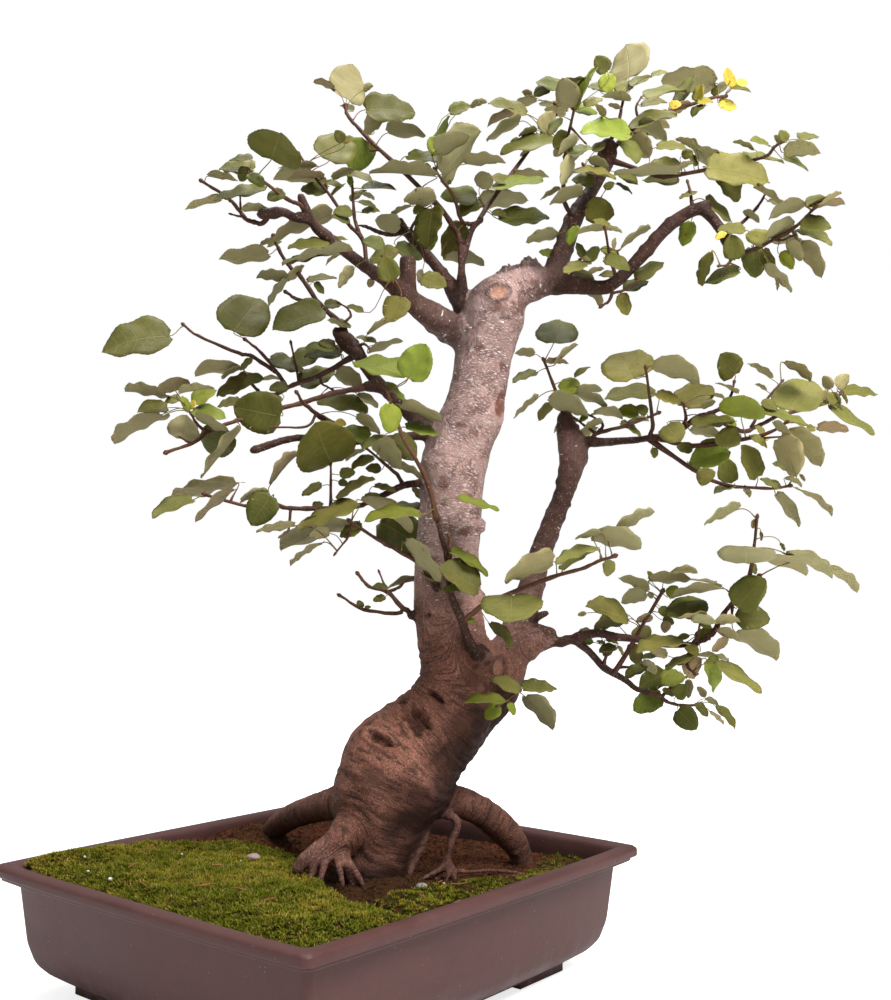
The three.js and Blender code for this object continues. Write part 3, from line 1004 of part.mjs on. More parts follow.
const twigs = SPRAYS.map((spray) => withBox(Manifold.union(twigBars(spray)).subtract(treeSkin)));
const grown = [];
SPRAYS.forEach((spray, i) => {
  const others = twigs.filter((twig, j) => j !== i);
  const made = growSpray(spray, [withBox(treeSkin), ...others, ...grown]);
  grown.push(withBox(made));
  bonsai.add(meshOf(spray.name, made, MATERIALS.leaf));
});

// The origin goes under the middle of the whole
const whole = new THREE.Box3().setFromObject(bonsai);
const middle = whole.getCenter(new THREE.Vector3());
bonsai.position.set(-middle.x, -middle.y, -whole.min.z);

export default bonsai;
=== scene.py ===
"""The looks of an Italian alder bonsai in its brown training pot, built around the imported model."""

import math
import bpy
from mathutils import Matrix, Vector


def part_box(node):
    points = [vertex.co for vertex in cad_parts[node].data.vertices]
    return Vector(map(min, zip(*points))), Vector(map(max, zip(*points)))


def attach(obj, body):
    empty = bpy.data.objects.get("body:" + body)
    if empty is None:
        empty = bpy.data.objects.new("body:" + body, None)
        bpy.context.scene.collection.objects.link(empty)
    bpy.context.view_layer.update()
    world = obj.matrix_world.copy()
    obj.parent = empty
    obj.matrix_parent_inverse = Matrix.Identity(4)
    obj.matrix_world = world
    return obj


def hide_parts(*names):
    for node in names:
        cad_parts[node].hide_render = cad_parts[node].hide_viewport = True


bl_info = {
    "name": "Italian Alder Bonsai",
    "version": (1, 0, 0),
    "blender": (4, 5, 0),
    "location": "View3D > Sidebar > Bonsai",
    "description": "Bark, leaves, moss, soil and pot of a potted Italian alder bonsai",
    "category": "Object",
}

import bmesh
import bpy
import numpy as np
from bpy.props import FloatProperty, FloatVectorProperty, IntProperty, PointerProperty
from mathutils import Vector, noise
from mathutils.kdtree import KDTree

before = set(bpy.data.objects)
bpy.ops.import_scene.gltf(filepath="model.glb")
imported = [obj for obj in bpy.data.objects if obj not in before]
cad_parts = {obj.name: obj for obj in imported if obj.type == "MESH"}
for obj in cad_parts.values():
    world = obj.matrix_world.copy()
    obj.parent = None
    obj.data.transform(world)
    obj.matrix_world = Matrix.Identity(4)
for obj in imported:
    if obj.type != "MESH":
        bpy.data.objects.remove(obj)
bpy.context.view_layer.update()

# Lengths in this file are millimetres unless a name says otherwise
MM = 0.001

# The pot stands square in the frame, and the tree is listed as it is seen from one side of it:
# x to the right, z up from the ground, and the depth behind the pot's middle as y
POT = {"length": 400.0, "width": 370.0, "height": 105.0, "corner": 7.0, "bow": 3.6}
FOOT = {"inset": 49.0, "arm": 62.0, "thick": 9.0, "height": 8.0}
EYE = (100.0, -1014.0, 335.0)
TURN = math.radians(50.25)
POT_LOW, POT_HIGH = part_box("pot")
MID = np.array(((POT_LOW + POT_HIGH) / 2 / MM)[:2])

# How far the bends of the pot's wall are rounded at most
EDGE_ROUND = 5.0
# The wall of the pot as (inset from the outline, height), up the outside and down the inside
POT_OUTSIDE = [
    (46.5, 8), (46, 11.5), (34, 15.5), (24.5, 26), (19.5, 43), (14.5, 92), (4.2, 92.6),
    (4.2, 96), (0, 96.4), (0, 103), (2.2, POT["height"])]
POT_INSIDE = [(15, POT["height"]), (17.5, 92), (22.6, 43), (27.5, 28), (36, 19), (47, 15)]

# Tones of the leaves: dark, green, pale underside, bright, yellow, reddish
D, G, P, B, Y, R = range(6)

# A blade is as wide as ratio times its length, and spread is how far its depth is drawn
BLADE = {"thickness": 0.8, "ratio": 0.82, "fold": 0.16, "spread": 24.0}
# Leaves sit where their twig is this far clear of the wood
CLEAR = 1.5
# Depth steps, one of which holds each blade clear of the wood and the other sprays
STEPS = [0, 7, -7, 14, -14, 21, -21, 28, -28, 36, -36, 45, -45, 55, -55]
# A twig's line leaves out points that bend it by less than this
TWIG_SLACK = 1.1

# Trunk, roots and limbs, each as rows of x, z, depth and radius as seen
LIMBS = {
    "trunk": [(32, 66, -14, 27), (37, 92, -12, 30), (43, 118, -8, 35.5), (46, 140, -3, 43), (53, 160, 2, 49),
        (62, 180, 5, 51), (78, 196, 8, 44), (98, 216, 10, 38.5), (112, 238, 11, 38), (114, 259, 11, 36),
        (106.5, 280, 9, 30.5), (103.5, 300, 8, 29.5), (101.5, 330, 7, 28.5), (101, 352, 6, 27.5),
        (104, 400, 5, 27), (106, 430, 6, 28.5), (115, 460, 8, 27), (124.5, 482, 9, 27), (129, 504, 10, 25),
        (133, 530, 12, 25), (138, 556, 14, 27), (146, 575, 14, 27), (160, 589, 13, 19), (176, 594, 13, 15),
        (192, 596, 14, 11.5)],
    "second_stem": [(118, 222, 12, 24), (140, 248, 18, 25), (154, 272, 24, 18), (163, 298, 30, 14),
        (171, 322, 34, 11.5), (182, 360, 40, 9.5), (197, 398, 46, 8.5), (205, 420, 48, 9),
        (210, 440, 50, 12), (209, 454, 50, 12.5), (204, 472, 50, 8), (204, 479, 50, 6.5)],
    "stem_stub": [(163, 302, 28, 6), (176, 304, 22, 4.2), (188, 309, 17, 2.4)],
    "root_right": [(80, 158, 8, 18), (100, 151, 14, 14.5), (118, 147, 20, 13), (136, 137, 27, 12.5),
        (150, 125, 34, 12.5), (160, 112, 40, 10.5), (165, 99, 45, 9), (168, 82, 50, 8.5)],
    "root_left": [(25, 152, 8, 18), (0, 146, 34, 13), (-22, 140, 74, 11), (-39, 131, 112, 10),
        (-47, 120, 138, 9.5), (-50, 106, 152, 9)],
    "root_front": [(42, 138, -14, 28), (22, 125, -26, 20), (8, 114, -36, 13), (-8, 107, -42, 8.5),
        (-18, 101, -45, 6.5), (-25, 92, -46, 5.5)],
    "root_front_low": [(8, 112, -38, 9), (14, 100, -43, 6), (20, 90, -46, 5.5), (24, 80, -48, 5)],
    "root_thin": [(82, 139, 2, 5), (98, 138, -2, 4), (107, 136, -4, 4), (110, 128, -4, 3.6),
        (105, 116, -6, 3.4), (101, 103, -8, 3.2), (96, 92, -10, 3), (92, 82, -12, 2.6)],
    "root_thin_fork": [(101, 105, -8, 3.2), (106, 94, -10, 2.8), (108, 82, -12, 2.6)],
    "root_thin_inner": [(84, 141, -8, 5), (86, 130, -12, 3.4), (80, 112, -16, 3.2), (72, 96, -20, 3),
        (68, 84, -22, 2.8)],
    "left_high": [(122, 544, 12, 15), (110, 552, 10, 14), (97, 559, 4, 12.5), (85, 568, -2, 11),
        (72, 577, -6, 9.5), (60, 587, -10, 8), (49, 597, -14, 6.4), (38, 604, -18, 5.7),
        (25, 613, -22, 5.2), (12, 623, -25, 5), (0, 633, -28, 5), (-12, 643, -30, 5), (-20, 655, -32, 4.5),
        (-27, 672, -34, 3.5)],
    "left_high_side": [(-17, 650, -31, 4), (-32, 653, -36, 4), (-42, 658, -40, 4), (-51, 657, -43, 5),
        (-62, 656, -46, 4.6)],
    "left_high_stub": [(67, 584, -8, 8), (67, 617, -4, 7)],
    "twin": [(116, 574, 15, 10), (106, 590, 26, 7), (97, 603, 33, 5.4), (87, 616, 40, 5), (75, 630, 46, 5),
        (65, 641, 50, 4.5), (59, 650, 52, 4)],
    "twin_side": [(66, 640, 50, 3), (52, 638, 54, 2.6), (42, 640, 56, 2.2), (30, 645, 58, 1.8),
        (22, 646, 60, 1.5)],
    "middle_stub": [(115, 575, 14, 7), (114, 600, 17, 4.4), (114, 629, 20, 3.6)],
    "middle_limb": [(114, 606, 17, 3.4), (119, 630, 25, 3), (124, 644, 30, 2.8), (130, 650, 34, 2.6)],
    "crown": [(186, 595, 14, 11), (195, 600, 14, 11.5), (198, 612, 18, 10), (205, 630, 22, 8.5),
        (210, 645, 25, 8), (216, 658, 27, 7.5), (222, 668, 28, 6.8), (229, 679, 28, 6), (235, 690, 28, 6),
        (240, 703, 27, 8.2), (243, 718, 26, 8)],
    "right_high": [(188, 595, 14, 10.5), (210, 593, 8, 7.8), (225, 591, 0, 6.6), (240, 591.5, -8, 6),
        (250, 597, -14, 5.6), (262, 609, -20, 5.5), (275, 623, -26, 6), (287, 637, -32, 5.6),
        (297, 647, -36, 6), (310, 656, -40, 5.5), (321, 661, -43, 6), (330, 665, -45, 5)],
    "right_high_end": [(324, 662, -44, 5.5), (334, 652, -48, 5), (341, 642, -50, 4.5), (346, 630, -52, 4),
        (352, 617, -53, 3)],
    "left_middle": [(108, 450, 8, 16), (95, 458, 10, 12.5), (85, 467, 16, 9), (72, 479, 26, 7),
        (60, 489, 35, 6.4), (50, 499, 42, 6), (40, 509, 48, 5.5), (31, 520, 54, 5), (24, 531, 58, 5.5),
        (17, 540, 61, 7.6), (10, 547, 63, 6.6), (5, 552, 64, 4.5)],
    "left_middle_cut": [(44, 503, 45, 5), (34, 504, 44, 4.8), (29, 503, 43, 4.2)],
    "left_low": [(96, 460, 8, 7), (78, 461, 2, 4.4), (60, 459, -6, 3.8), (45, 457, -12, 3.6),
        (15, 455, -20, 3.3), (-28, 459, -34, 3.2), (-66, 448, -48, 3.8)],
    "left_low_side": [(34, 455, -15, 3.6), (22, 459, -20, 3.8), (8, 466, -26, 3.8), (-6, 476, -32, 3)],
    "left_lowest": [(92, 424, 2, 6), (80, 420, -4, 4), (65, 418, -12, 3.2), (50, 411, -19, 3),
        (38, 405, -25, 2.8)],
    "front_short": [(96, 324, -14, 4), (92, 331, -20, 3.2), (86, 342, -25, 3)],
    "left_small": [(92, 306, 4, 6), (80, 305, 2, 5), (72, 306, 0, 4.4), (69, 308, -1, 3.4)],
    "shoot": [(130, 262, -6, 8), (129, 271, -14, 7), (123, 278, -22, 5), (117, 292, -27, 3.9),
        (114, 302, -31, 4), (108, 315, -35, 3.6), (104, 325, -38, 3.4), (103, 335, -41, 3),
        (102, 350, -44, 2.8), (100, 362, -47, 2.6), (96, 375, -50, 2.5), (93, 388, -52, 2.5)],
    "stem_limb": [(211, 448, 49, 8), (221, 455, 46, 5.2), (235, 455, 40, 4), (250, 456, 34, 3.3),
        (265, 457, 28, 3), (278, 459, 24, 3.2), (292, 460, 20, 3), (305, 467, 16, 2.8),
        (318, 477, 13, 2.5), (328, 480, 11, 2.4), (341, 485, 8, 2)],
    "right_low": [(166, 281, 24, 9), (180, 281, 20, 7), (190, 283, 16, 5), (200, 284, 14, 4.5),
        (215, 288, 8, 4.5), (230, 291, 2, 4), (245, 288, -4, 3.6), (262, 286, -10, 3.3),
        (275, 283, -15, 3), (290, 281, -20, 2.9), (305, 281, -25, 2.8), (317, 283, -29, 2.8),
        (325, 288, -31, 2.6)],
    "right_low_cut": [(315, 282, -28, 2.8), (306, 270, -27, 2.8), (297, 264, -25, 2.6)],
    "right_lowest": [(208, 286, 10, 4), (222, 276, 14, 3.2), (230, 267, 20, 3.2), (236, 261, 24, 3.4),
        (245, 256, 29, 3), (255, 250, 34, 2.7), (262, 244, 37, 2.5), (272, 241, 41, 2.4)],
    "base_shoot": [(150, 246, 8, 5), (163, 243, 2, 3.2)],
}

# Sprays: name, the limb they grow on, and how much deeper they stand with each millimetre away
# from it, twigs as a radius and then x and z of each bend, and leaves as x and z at one end and
# the other, width and tone, all as seen
SPRAYS = [
    ("base_shoot", "base_shoot", -1.6, [(1.8,163,243,156,238,150,233,145,230)],
     [(163,243,141,254,11,G), (166,244,195,246,11,G), (150,233,116,231,8,B), (146,229,133,219,12,B),
      (154,232,158,221,6,B), (168,237,193,211,15,P)]),
    # The high left limb
    ("far_left_high", "left_high_side", 0.5, [
        (2.2,-52,651,-60,648.5,-68,649,-76,653,-80,658,-86,666,-93,672,-103,679,-113,685),
        (1.3,-76,653,-86,655.5), (1.3,-79,657,-79,664,-80,671)],
     [(-97,669,-128,660,6,P), (-82,686,-108,690,6,P), (-56,663,-77,659,7,P)]),
    ("left_high", "left_high", -0.6, [(1.9,-20,658,-30,666,-40,670,-47,676,-57,683,-65,690,-72,695)],
     [(-42,676,-56,668,10,D), (-60,677,-104,672,10,D), (-72,692,-60,680,10,B), (-70,695,-99,701,13,D),
      (-90,704,-71,705,5,D), (-74,697,-82,686,10,D), (-53,705,-46,727,43,D)]),
    ("left_low", "left_high", -0.9, [(1.5,8,626,2,624,-6,626,-14,625)],
     [(-2,628,-38,626,9,D), (15,623,-44,620,8,P), (-5,622,-38,613,8,D), (8,620,-6,613,3,P),
      (14,636,-5,631,5,D)]),
    ("left_top", "left_high", 0.35, [(2.0,33,609,30,622,28,632,23,643,20,655,18,670,18,683),
        (1.7,27,634,20,641,12,651,5,661,0,671,-5,678,-11,685,-17,692,-22,700,-28,709)],
     [(-5,683,-51,688,12,P), (-4,677,-27,677,11,D), (-7,689,-38,690,6,R), (-5,684,11,683,5,D),
      (1,673,12,684,3,D), (20,697,1,688,7,P), (18,657,2,660,9,D), (16,649,0,655,6,D), (0,655,-50,634,14,P),
      (-2,704,12,726,30,D), (10,722,3,731,10,G), (10,721,19,726,6,D), (-14,699,-47,698,5,P),
      (15,692,16,682,5,B), (37,687,15,691,5,D), (28,679,57,680,5,D), (18,668,30,679,6,G),
      (24,667,39,665,4,D), (27,658,42,661,5,D), (28,674,38,669,4,P)]),
    ("left_mid", "left_high", -0.8, [(1.6,62,586,58,592,55,600,50,608,46,616)],
     [(61,582,50,563,20,G), (53,597,46,619,19,D), (58,622,32,614,12,G), (46,627,28,634,11,D),
      (36,598,33,591,6,R), (20,608,5,592,9,P), (14,575,28,569,5,G)]),
    ("twin", "twin", -0.5, [(1.6,74,631,70,643,76,652,80,658)],
     [(80,617,57,628,12,D), (60,646,38,650,15,P), (70,663,50,655,3,P), (90,668,63,671,15,P),
      (80,663,72,657,8,D), (88,661,84,625,22,D), (80,648,88,624,14,B), (79,599,101,591,14,G),
      (80,606,76,595,6,R)]),
    ("long_top", "middle_stub", 0.4, [
        (2.5,113,629,108,643,98,655,90,667,80,678,68,689,56,700,45,711,38,718,31,725,25,733,15,743,12,752),
        (1.2,42,713,34,713,33,719)],
     [(13,760,16,788,29,P), (18,749,7,754,5,D), (2,769,-15,778,5,R), (30,750,74,753,23,D),
      (32,751,37,731,18,P), (28,768,36,772,6,P), (50,729,83,731,13,P), (30,722,18,694,24,B),
      (57,699,79,699,6,D), (90,690,33,694,7,P), (80,700,88,694,6,P), (100,704,67,708,9,D)]),
    ("centre_top", "middle_limb", -0.3, [(1.9,126,649,117,648,112,655,109,667,104,677,97,688,92,694)],
     [(119,644,95,618,21,G), (100,617,134,613,10,P), (118,701,153,702,9,P), (97,692,130,731,27,P),
      (96,711,86,726,14,B), (95,712,103,743,9,B), (92,713,121,728,16,P), (104,687,103,683,4,D),
      (122,755,104,747,10,D), (122,753,137,756,6,P)]),
    ("mid_top", "middle_limb", 0.7, [
        (2.0,131,650,140,668,153,685,163,699,170,707,176,717,184,727,190,735,197,745,198,753),
        (1.4,136,660,133,664,131,668)],
     [(127,671,96,675,14,D), (130,666,111,656,12,D), (147,652,191,653,14,D), (141,658,153,655,6,D),
      (171,675,130,666,14,P), (139,689,158,684,8,D), (186,684,141,680,9,B), (190,694,156,688,8,P),
      (138,694,130,680,16,P), (172,712,165,709,4,P), (166,722,155,715,9,G), (196,722,148,720,11,G),
      (165,739,136,722,9,P), (171,746,138,757,9,D), (164,746,136,739,7,R), (180,731,164,727,6,P),
      (180,758,158,756,8,P), (184,731,196,748,14,P), (207,749,182,755,7,D), (205,745,187,750,7,P),
      (201,769,180,776,10,D), (192,770,177,764,9,D), (176,762,168,767,6,R)]),
    # The crown limb
    ("crown_left", "crown", -0.7, [(2.0,208,656,204,668,204,680,205,700,206,715,209,728,211,740,213,748),
        (1.2,210,734,217,727,221,722)],
     [(220,676,190,668,11,P), (213,703,199,684,13,P), (200,678,183,669,4,P), (203,716,195,708,8,P),
      (206,703,222,716,9,D), (216,722,196,710,10,P), (208,728,195,716,14,D), (209,711,229,718,7,D),
      (210,752,204,779,20,P), (200,771,229,776,8,P), (216,751,233,789,7,B), (243,785,233,798,15,G),
      (234,747,214,750,8,B), (224,753,238,762,8,G), (200,742,192,726,9,G)]),
    ("crown_low", "crown", -0.9, [(1.5,204,632,207,640,209,648)],
     [(198,638,170,633,10,P), (196,619,182,624,7,D), (214,645,208,629,9,B)]),
    ("crown_side", "crown", -0.5, [(1.6,219,663,227,667,234,666)],
     [(224,662,248,655,21,D), (235,667,214,660,5,Y), (247,686,241,678,7,D), (250,683,265,677,3,D)]),
    ("crown_burl", "crown", -0.9, [(1.7,236,696,232,690,226,692,222,698)],
     [(230,684,211,688,10,D), (226,705,243,697,8,P), (250,693,212,693,5,G), (231,712,240,722,8,G),
      (252,693,270,685,9,D)]),
    ("crown_top", "crown", 0.35, [(2.0,242,716,248,728,252,737,254,747,257,760),
        (1.4,251,731,262,729,274,728)],
     [(264,727,279,706,17,P), (262,727,220,736,15,B), (240,744,233,755,6,P), (254,751,243,754,4,R),
      (251,766,267,776,10,G), (238,768,250,782,15,B), (244,768,226,773,8,D), (238,763,262,758,7,P),
      (262,779,259,809,31,P), (264,771,282,782,7,D), (282,781,296,785,4,D)]),
    ("crown_right", "crown", 0.8, [(2.2,244,708,257,724,270,737,287,745,309,752,330,759,346,762),
        (1.3,270,738,268,752,272,760)],
     [(256,722,268,701,13,D), (262,733,304,746,10,D), (264,728,296,737,8,P), (290,774,338,774,21,P),
      (278,760,312,772,8,D), (308,758,319,781,11,G), (323,758,326,773,9,Y), (296,757,273,753,6,G),
      (298,752,308,757,7,Y), (322,756,336,757,5,Y), (300,748,317,755,8,R), (328,754,317,745,6,D),
      (284,741,300,746,8,R), (339,763,349,779,9,G), (352,770,349,788,9,Y), (358,772,366,777,8,Y),
      (352,769,370,768,3,D), (341,756,357,752,9,Y), (297,724,270,736,13,P)]),
    ("crown_far_right", "crown", -0.35, [
        (2.2,247,705,262,698,285,691,303,691,318,694,342,699,365,703,383,709,389,716,395,720)],
     [(303,684,273,688,9,D), (303,692,248,692,8,P), (306,698,277,701,12,D), (286,716,312,716,7,D),
      (303,726,318,716,6,P), (318,700,317,714,7,D), (310,722,341,690,10,P), (322,718,340,706,8,P),
      (330,697,385,686,24,G), (340,700,358,668,18,D), (318,712,308,708,8,D), (317,704,305,697,5,P),
      (364,706,398,706,6,D), (398,705,420,697,5,D), (398,711,430,714,13,P), (412,724,428,729,8,D),
      (400,722,394,731,8,D), (394,721,390,727,5,P), (353,721,371,714,4,P), (368,722,384,718,5,D)]),
    ("elbow", "right_high", -1.0, [(1.6,208,598,211,608,216,614)],
     [(222,612,203,604,9,G), (215,631,220,617,7,D), (224,613,234,627,10,D), (220,617,228,612,5,P),
      (224,604,238,609,4,P), (210,606,237,576,12,P)]),
    # The high right limb
    ("right_high", "right_high", -0.5, [(1.7,247,601,245,612,243,625,240,641)],
     [(240,642,214,640,5,P), (241,643,255,641,4,P), (229,652,243,643,6,D), (239,616,262,609,11,D),
      (236,624,252,620,7,D), (234,604,249,601,6,G), (247,626,249,635,4,R), (253,625,279,644,5,P)]),
    ("right_under", "right_high", -0.4, [(1.7,249,592,243,580,237,575), (1.4,245,585,257,589,265,594)],
     [(251,584,261,567,12,G), (268,597,290,615,12,D), (257,588,277,597,10,G)]),
    ("right_tip", "right_high", 0.4, [(1.8,317,661,316,673,313,683)],
     [(320,676,305,670,4,D), (315,649,306,628,13,B), (328,668,352,650,9,G)]),
    ("right_end", "right_high_end", -0.6, [
        (2.1,349,623,360,621,372,627,385,634,400,640,407,647,415,655,422,660),
        (1.2,385,634,395,633,402,636)],
     [(368,626,372,600,20,D), (338,643,362,642,9,G), (344,640,337,633,6,Y), (363,640,382,632,14,D),
      (379,638,405,646,14,P), (382,656,415,664,11,P), (411,646,438,646,14,D), (407,641,438,628,7,G),
      (384,632,412,630,7,P), (399,631,412,615,11,P), (411,630,433,603,14,P), (392,620,406,609,11,B),
      (378,624,390,604,7,G), (378,609,401,586,8,P), (388,600,390,588,3,P), (416,664,435,671,8,D),
      (418,663,450,667,7,R), (428,664,448,674,4,P), (404,641,407,631,4,P)]),
    ("right_end_low", "right_high_end", -1.4, [(1.5,351,618,346,611,340,610)],
     [(332,622,323,592,10,D), (325,598,356,606,11,D), (350,638,353,616,17,D)]),
    ("right_up", "right_high_end", 0.7, [(1.8,344,636,352,642,358,647,366,655,373,662,377,669,381,675)],
     [(361,658,376,650,6,P), (372,679,402,662,4,P), (383,668,402,660,5,P)]),
    # The middle left limb
    ("burl_up", "left_middle", 0.35, [
        (2.5,15,548,8,560,0,568,-9,575,-14,582,-20,591,-26,600,-34,607,-40,616,-46,625,-50,635),
        (2.1,-9,575,-20,578,-30,581,-38,586), (1.3,10,558,17,565,15,572,9,576)],
     [(-55,620,-98,615,13,P), (-37,599,-65,601,9,P), (-37,598,-57,575,6,P), (-36,598,-24,611,7,P),
      (-14,595,-6,585,6,G), (5,600,-20,596,5,G), (-8,572,-50,552,22,D), (-5,575,9,577,8,D),
      (17,556,-3,561,6,D), (-47,633,-63,630,5,P), (-44,631,-56,626,4,D)]),
    ("burl_side", "left_middle", -0.7, [(1.5,23,540,29,541,33,538)],
     [(32,549,52,561,5,P), (34,533,62,546,6,P), (23,550,39,542,5,D)]),
    ("left_cut", "left_middle_cut", -0.4, [
        (2.4,27,503,15,500,0,497,-12,493,-25,489,-38,485.5,-55,482,-65,477,-80,474,-92,470,-105,464,
         -117,455,-127,452,-139,447),
        (1.5,-105,464,-114,470,-118,476,-122,482), (1.3,-120,454,-127,458)],
     [(-91,467,-104,442,30,D), (-78,465,-110,423,6,P), (-78,490,-98,486,7,G), (-90,477,-119,482,11,B),
      (-116,477,-88,466,9,P), (-125,476,-127,458,24,P), (-144,478,-186,453,13,P), (-148,478,-187,462,10,G),
      (-141,485,-167,483,11,G), (-124,482,-127,496,7,B), (-121,484,-118,492,6,Y), (-130,492,-145,491,7,G),
      (-142,496,-178,500,10,P), (-134,500,-138,511,26,R), (-101,505,-129,498,6,P), (-99,502,-118,489,12,B),
      (-43,478,-84,486,34,D)]),
    ("left_far", "left_middle", 0.45, [
        (2.3,19,529,5,521,-8,514,-20,509,-32,505,-40,501,-47,497,-55,497,-63,500,-68,505,-73,512),
        (1.9,-38,502,-42,510,-48,518,-53,524,-60,533,-67,540,-73,544),
        (1.9,-47,517,-57,522,-68,530,-80,533,-90,537,-103,543,-115,548,-127,557),
        (1.4,-27,507,-31,525,-33,535,-34,540), (1.4,-8,514,-8,507,0,502)],
     [(9,532,-23,530,11,D), (5,536,-22,541,8,D), (3,539,-10,545,8,D), (-4,538,-30,522,15,G),
      (-22,518,-52,528,12,G), (4,516,-26,505,16,D), (5,516,28,504,14,P), (-37,503,-53,502,9,D),
      (-42,493,-63,490,8,P), (-42,510,-58,511,3,P), (-58,512,-73,508,9,G), (-8,492,33,482,14,D),
      (24,497,42,486,7,P), (-68,508,-100,498,14,G), (-79,520,-117,518,11,P), (-78,521,-94,510,5,P),
      (-68,528,-79,519,5,D), (-140,548,-200,543,28,G), (-84,552,-62,584,40,D)]),
    ("left_stub", "left_low_side", -0.9, [(2.0,-6,475,-22,488,-28,497), (1.4,-12,480,-20,469,-48,468)],
     [(5,473,14,471,6,Y), (23,477,45,465,10,P)]),
    # The low left limbs
    ("low_left", "left_lowest", -0.5, [
        (2.2,38,404,20,399,0,398.5,-20,397.5,-40,399,-48,402,-58,400,-68,399,-80,402,-92,405,-105,409),
        (1.5,1,399,0,412,1,425,1,434), (1.4,-33,398,-33,391,-35,380,-40,375)],
     [(-7,417,-25,411,8,G), (2,437,-11,469,50,D), (22,430,9,427,9,D), (16,418,8,421,6,D),
      (38,425,7,405,7,G), (58,415,39,417,5,D), (-50,408,-68,384,24,D), (-52,412,-76,404,7,P),
      (-14,400,-5,403,5,D), (46,404,30,408,8,D), (-27,446,-51,418,7,R), (-80,420,-137,406,12,P),
      (-118,405,-153,391,11,G), (-83,413,-119,392,7,R), (-10,438,-25,438,7,P)]),
    ("low_left_up", "left_lowest", -0.8, [(1.7,64,419,55,430,48,436,38,445,30,451)],
     [(38,441,18,433,8,D), (44,431,31,433,8,D), (30,448,13,441,4,P), (34,459,6,463,13,B),
      (38,456,64,434,17,P), (54,459,75,440,18,D), (52,436,80,427,6,P)]),
    ("low_back", "trunk", 1.0, [(2.0,88,396,62,393,48,389)],
     [(44,386,85,362,32,D), (47,401,80,396,8,D), (71,418,80,405,6,D)]),
    ("low_front", "front_short", -0.5, [(2.2,84,346,75,353,68,357,55,364,42,371,30,379,19,386),
        (1.3,20,385,16,373,7,361)],
     [(66,368,98,336,13,P), (80,341,98,334,5,G), (27,405,74,384,11,P), (28,382,8,376,11,D),
      (24,401,-28,385,12,G), (20,385,-42,367,16,P), (-6,368,-34,350,4,P), (-18,376,0,376,10,P),
      (-30,383,-63,379,7,P)]),
    ("small_left", "left_small", 0.3, [(2.3,76,304,64,312,57,320,50,326,42,328,34,331,26,340),
        (1.8,64,312,58,308,45,310,30,311,22,315,15,319,11,322), (1.5,50,326,60,330,66,336,72,338),
        (1.2,50,326,44,341)],
     [(74,336,50,330,5,G), (50,329,37,331,5,D), (38,318,48,322,6,G), (28,312,25,319,6,G),
      (31,312,36,314,3,B)]),
    # The shoot in front of the trunk
    ("shoot_top", "shoot", -0.25, [(2.3,91,396,86,415,82,425,79,432,70,447,62,462,57,476,52,489,50,498)],
     [(112,406,146,395,6,B), (51,488,53,463,17,B), (66,513,20,529,18,B), (68,511,83,541,27,B),
      (62,488,98,476,9,P), (66,468,95,461,9,B), (66,490,49,507,5,B), (45,460,27,450,7,G),
      (77,392,30,390,10,B)]),
    ("shoot_spur", "shoot", -0.4, [(1.9,103,346,104,360,103,372)],
     [(104,361,136,339,8,B)]),
    ("shoot_low", "shoot", -0.6, [(1.7,105,322,98,327)],
     [(98,328,123,328,6,B)]),
    ("shoot_fork", "shoot", -0.3, [
        (2.4,116,300,125,309,135,316,150,322,170,330,190,338,205,343.5,220,347,232,353,243,356)],
     [(128,329,95,350,22,G), (156,303,157,323,50,G), (192,352,148,341,18,P), (230,364,194,355,7,G),
      (229,365,201,345,6,D), (268,363,229,375,18,P), (232,376,211,374,6,P), (244,375,280,395,9,P),
      (239,353,240,339,10,G), (138,299,158,281,9,G), (119,302,126,299,4,B)]),
    # The second stem and its limb to the right
    ("stem_top", "second_stem", -0.3, [(1.9,205,470,199,487,197,496,192,508,189,515,186,525)],
     [(194,542,200,565,33,G), (177,532,160,533,7,P), (188,525,207,525,5,R), (195,523,215,541,4,P),
      (179,516,158,507,7,G), (180,494,158,477,5,P), (203,498,213,512,15,B), (213,512,225,522,5,G),
      (214,498,235,504,8,P), (205,500,240,486,8,P), (225,482,190,491,15,P), (192,488,180,474,8,G),
      (215,474,193,465,6,P)]),
    ("stem_limb", "stem_limb", 0.5, [(2.0,225,456,231,463,243,466,255,469,268,475,283,480),
        (1.4,231,463,236,471,228,477,222,480), (1.4,230,463,220,471,213,475)],
     [(230,468,213,457,8,P), (235,473,219,468,6,P), (282,498,238,491,12,D), (267,480,248,481,11,B),
      (228,480,253,480,7,P), (266,487,274,480,8,D), (252,471,272,461,6,G), (258,472,276,475,4,P),
      (223,478,216,473,5,B)]),
    ("stem_up", "stem_limb", -0.5, [(1.8,277,459,279,475,277,490,276,505,274,518)],
     [(264,511,250,538,38,G), (281,522,322,510,17,P), (283,497,303,488,9,G)]),
    ("stem_leaves", "stem_limb", -0.9, [(1.7,307,466,308,478,306,487)],
     [(307,486,328,507,25,G), (322,486,334,491,6,P), (331,496,342,494,3,P), (314,470,352,474,10,D),
      (341,474,353,472,8,B), (312,466,340,462,9,P), (292,470,303,455,20,G)]),
    ("stem_tip", "stem_limb", 0.8, [(1.6,338,483,347,495,350,506)],
     [(351,514,339,532,22,D), (352,498,336,510,4,P)]),
    ("stem_right", "stem_limb", 0.5, [
        (2.1,328,480,340,473,355,465,362,468,372,470,383,476,395,480,412,484,422,488,432,490,442,497),
        (1.4,364,469,373,483,378,492,385,500,391,507)],
     [(398,483,416,508,33,G), (376,481,418,472,8,D), (374,490,388,484,8,G), (418,512,394,525,7,P),
      (382,511,364,527,6,P), (378,500,369,507,3,P), (443,499,475,499,9,D), (434,502,428,513,9,P),
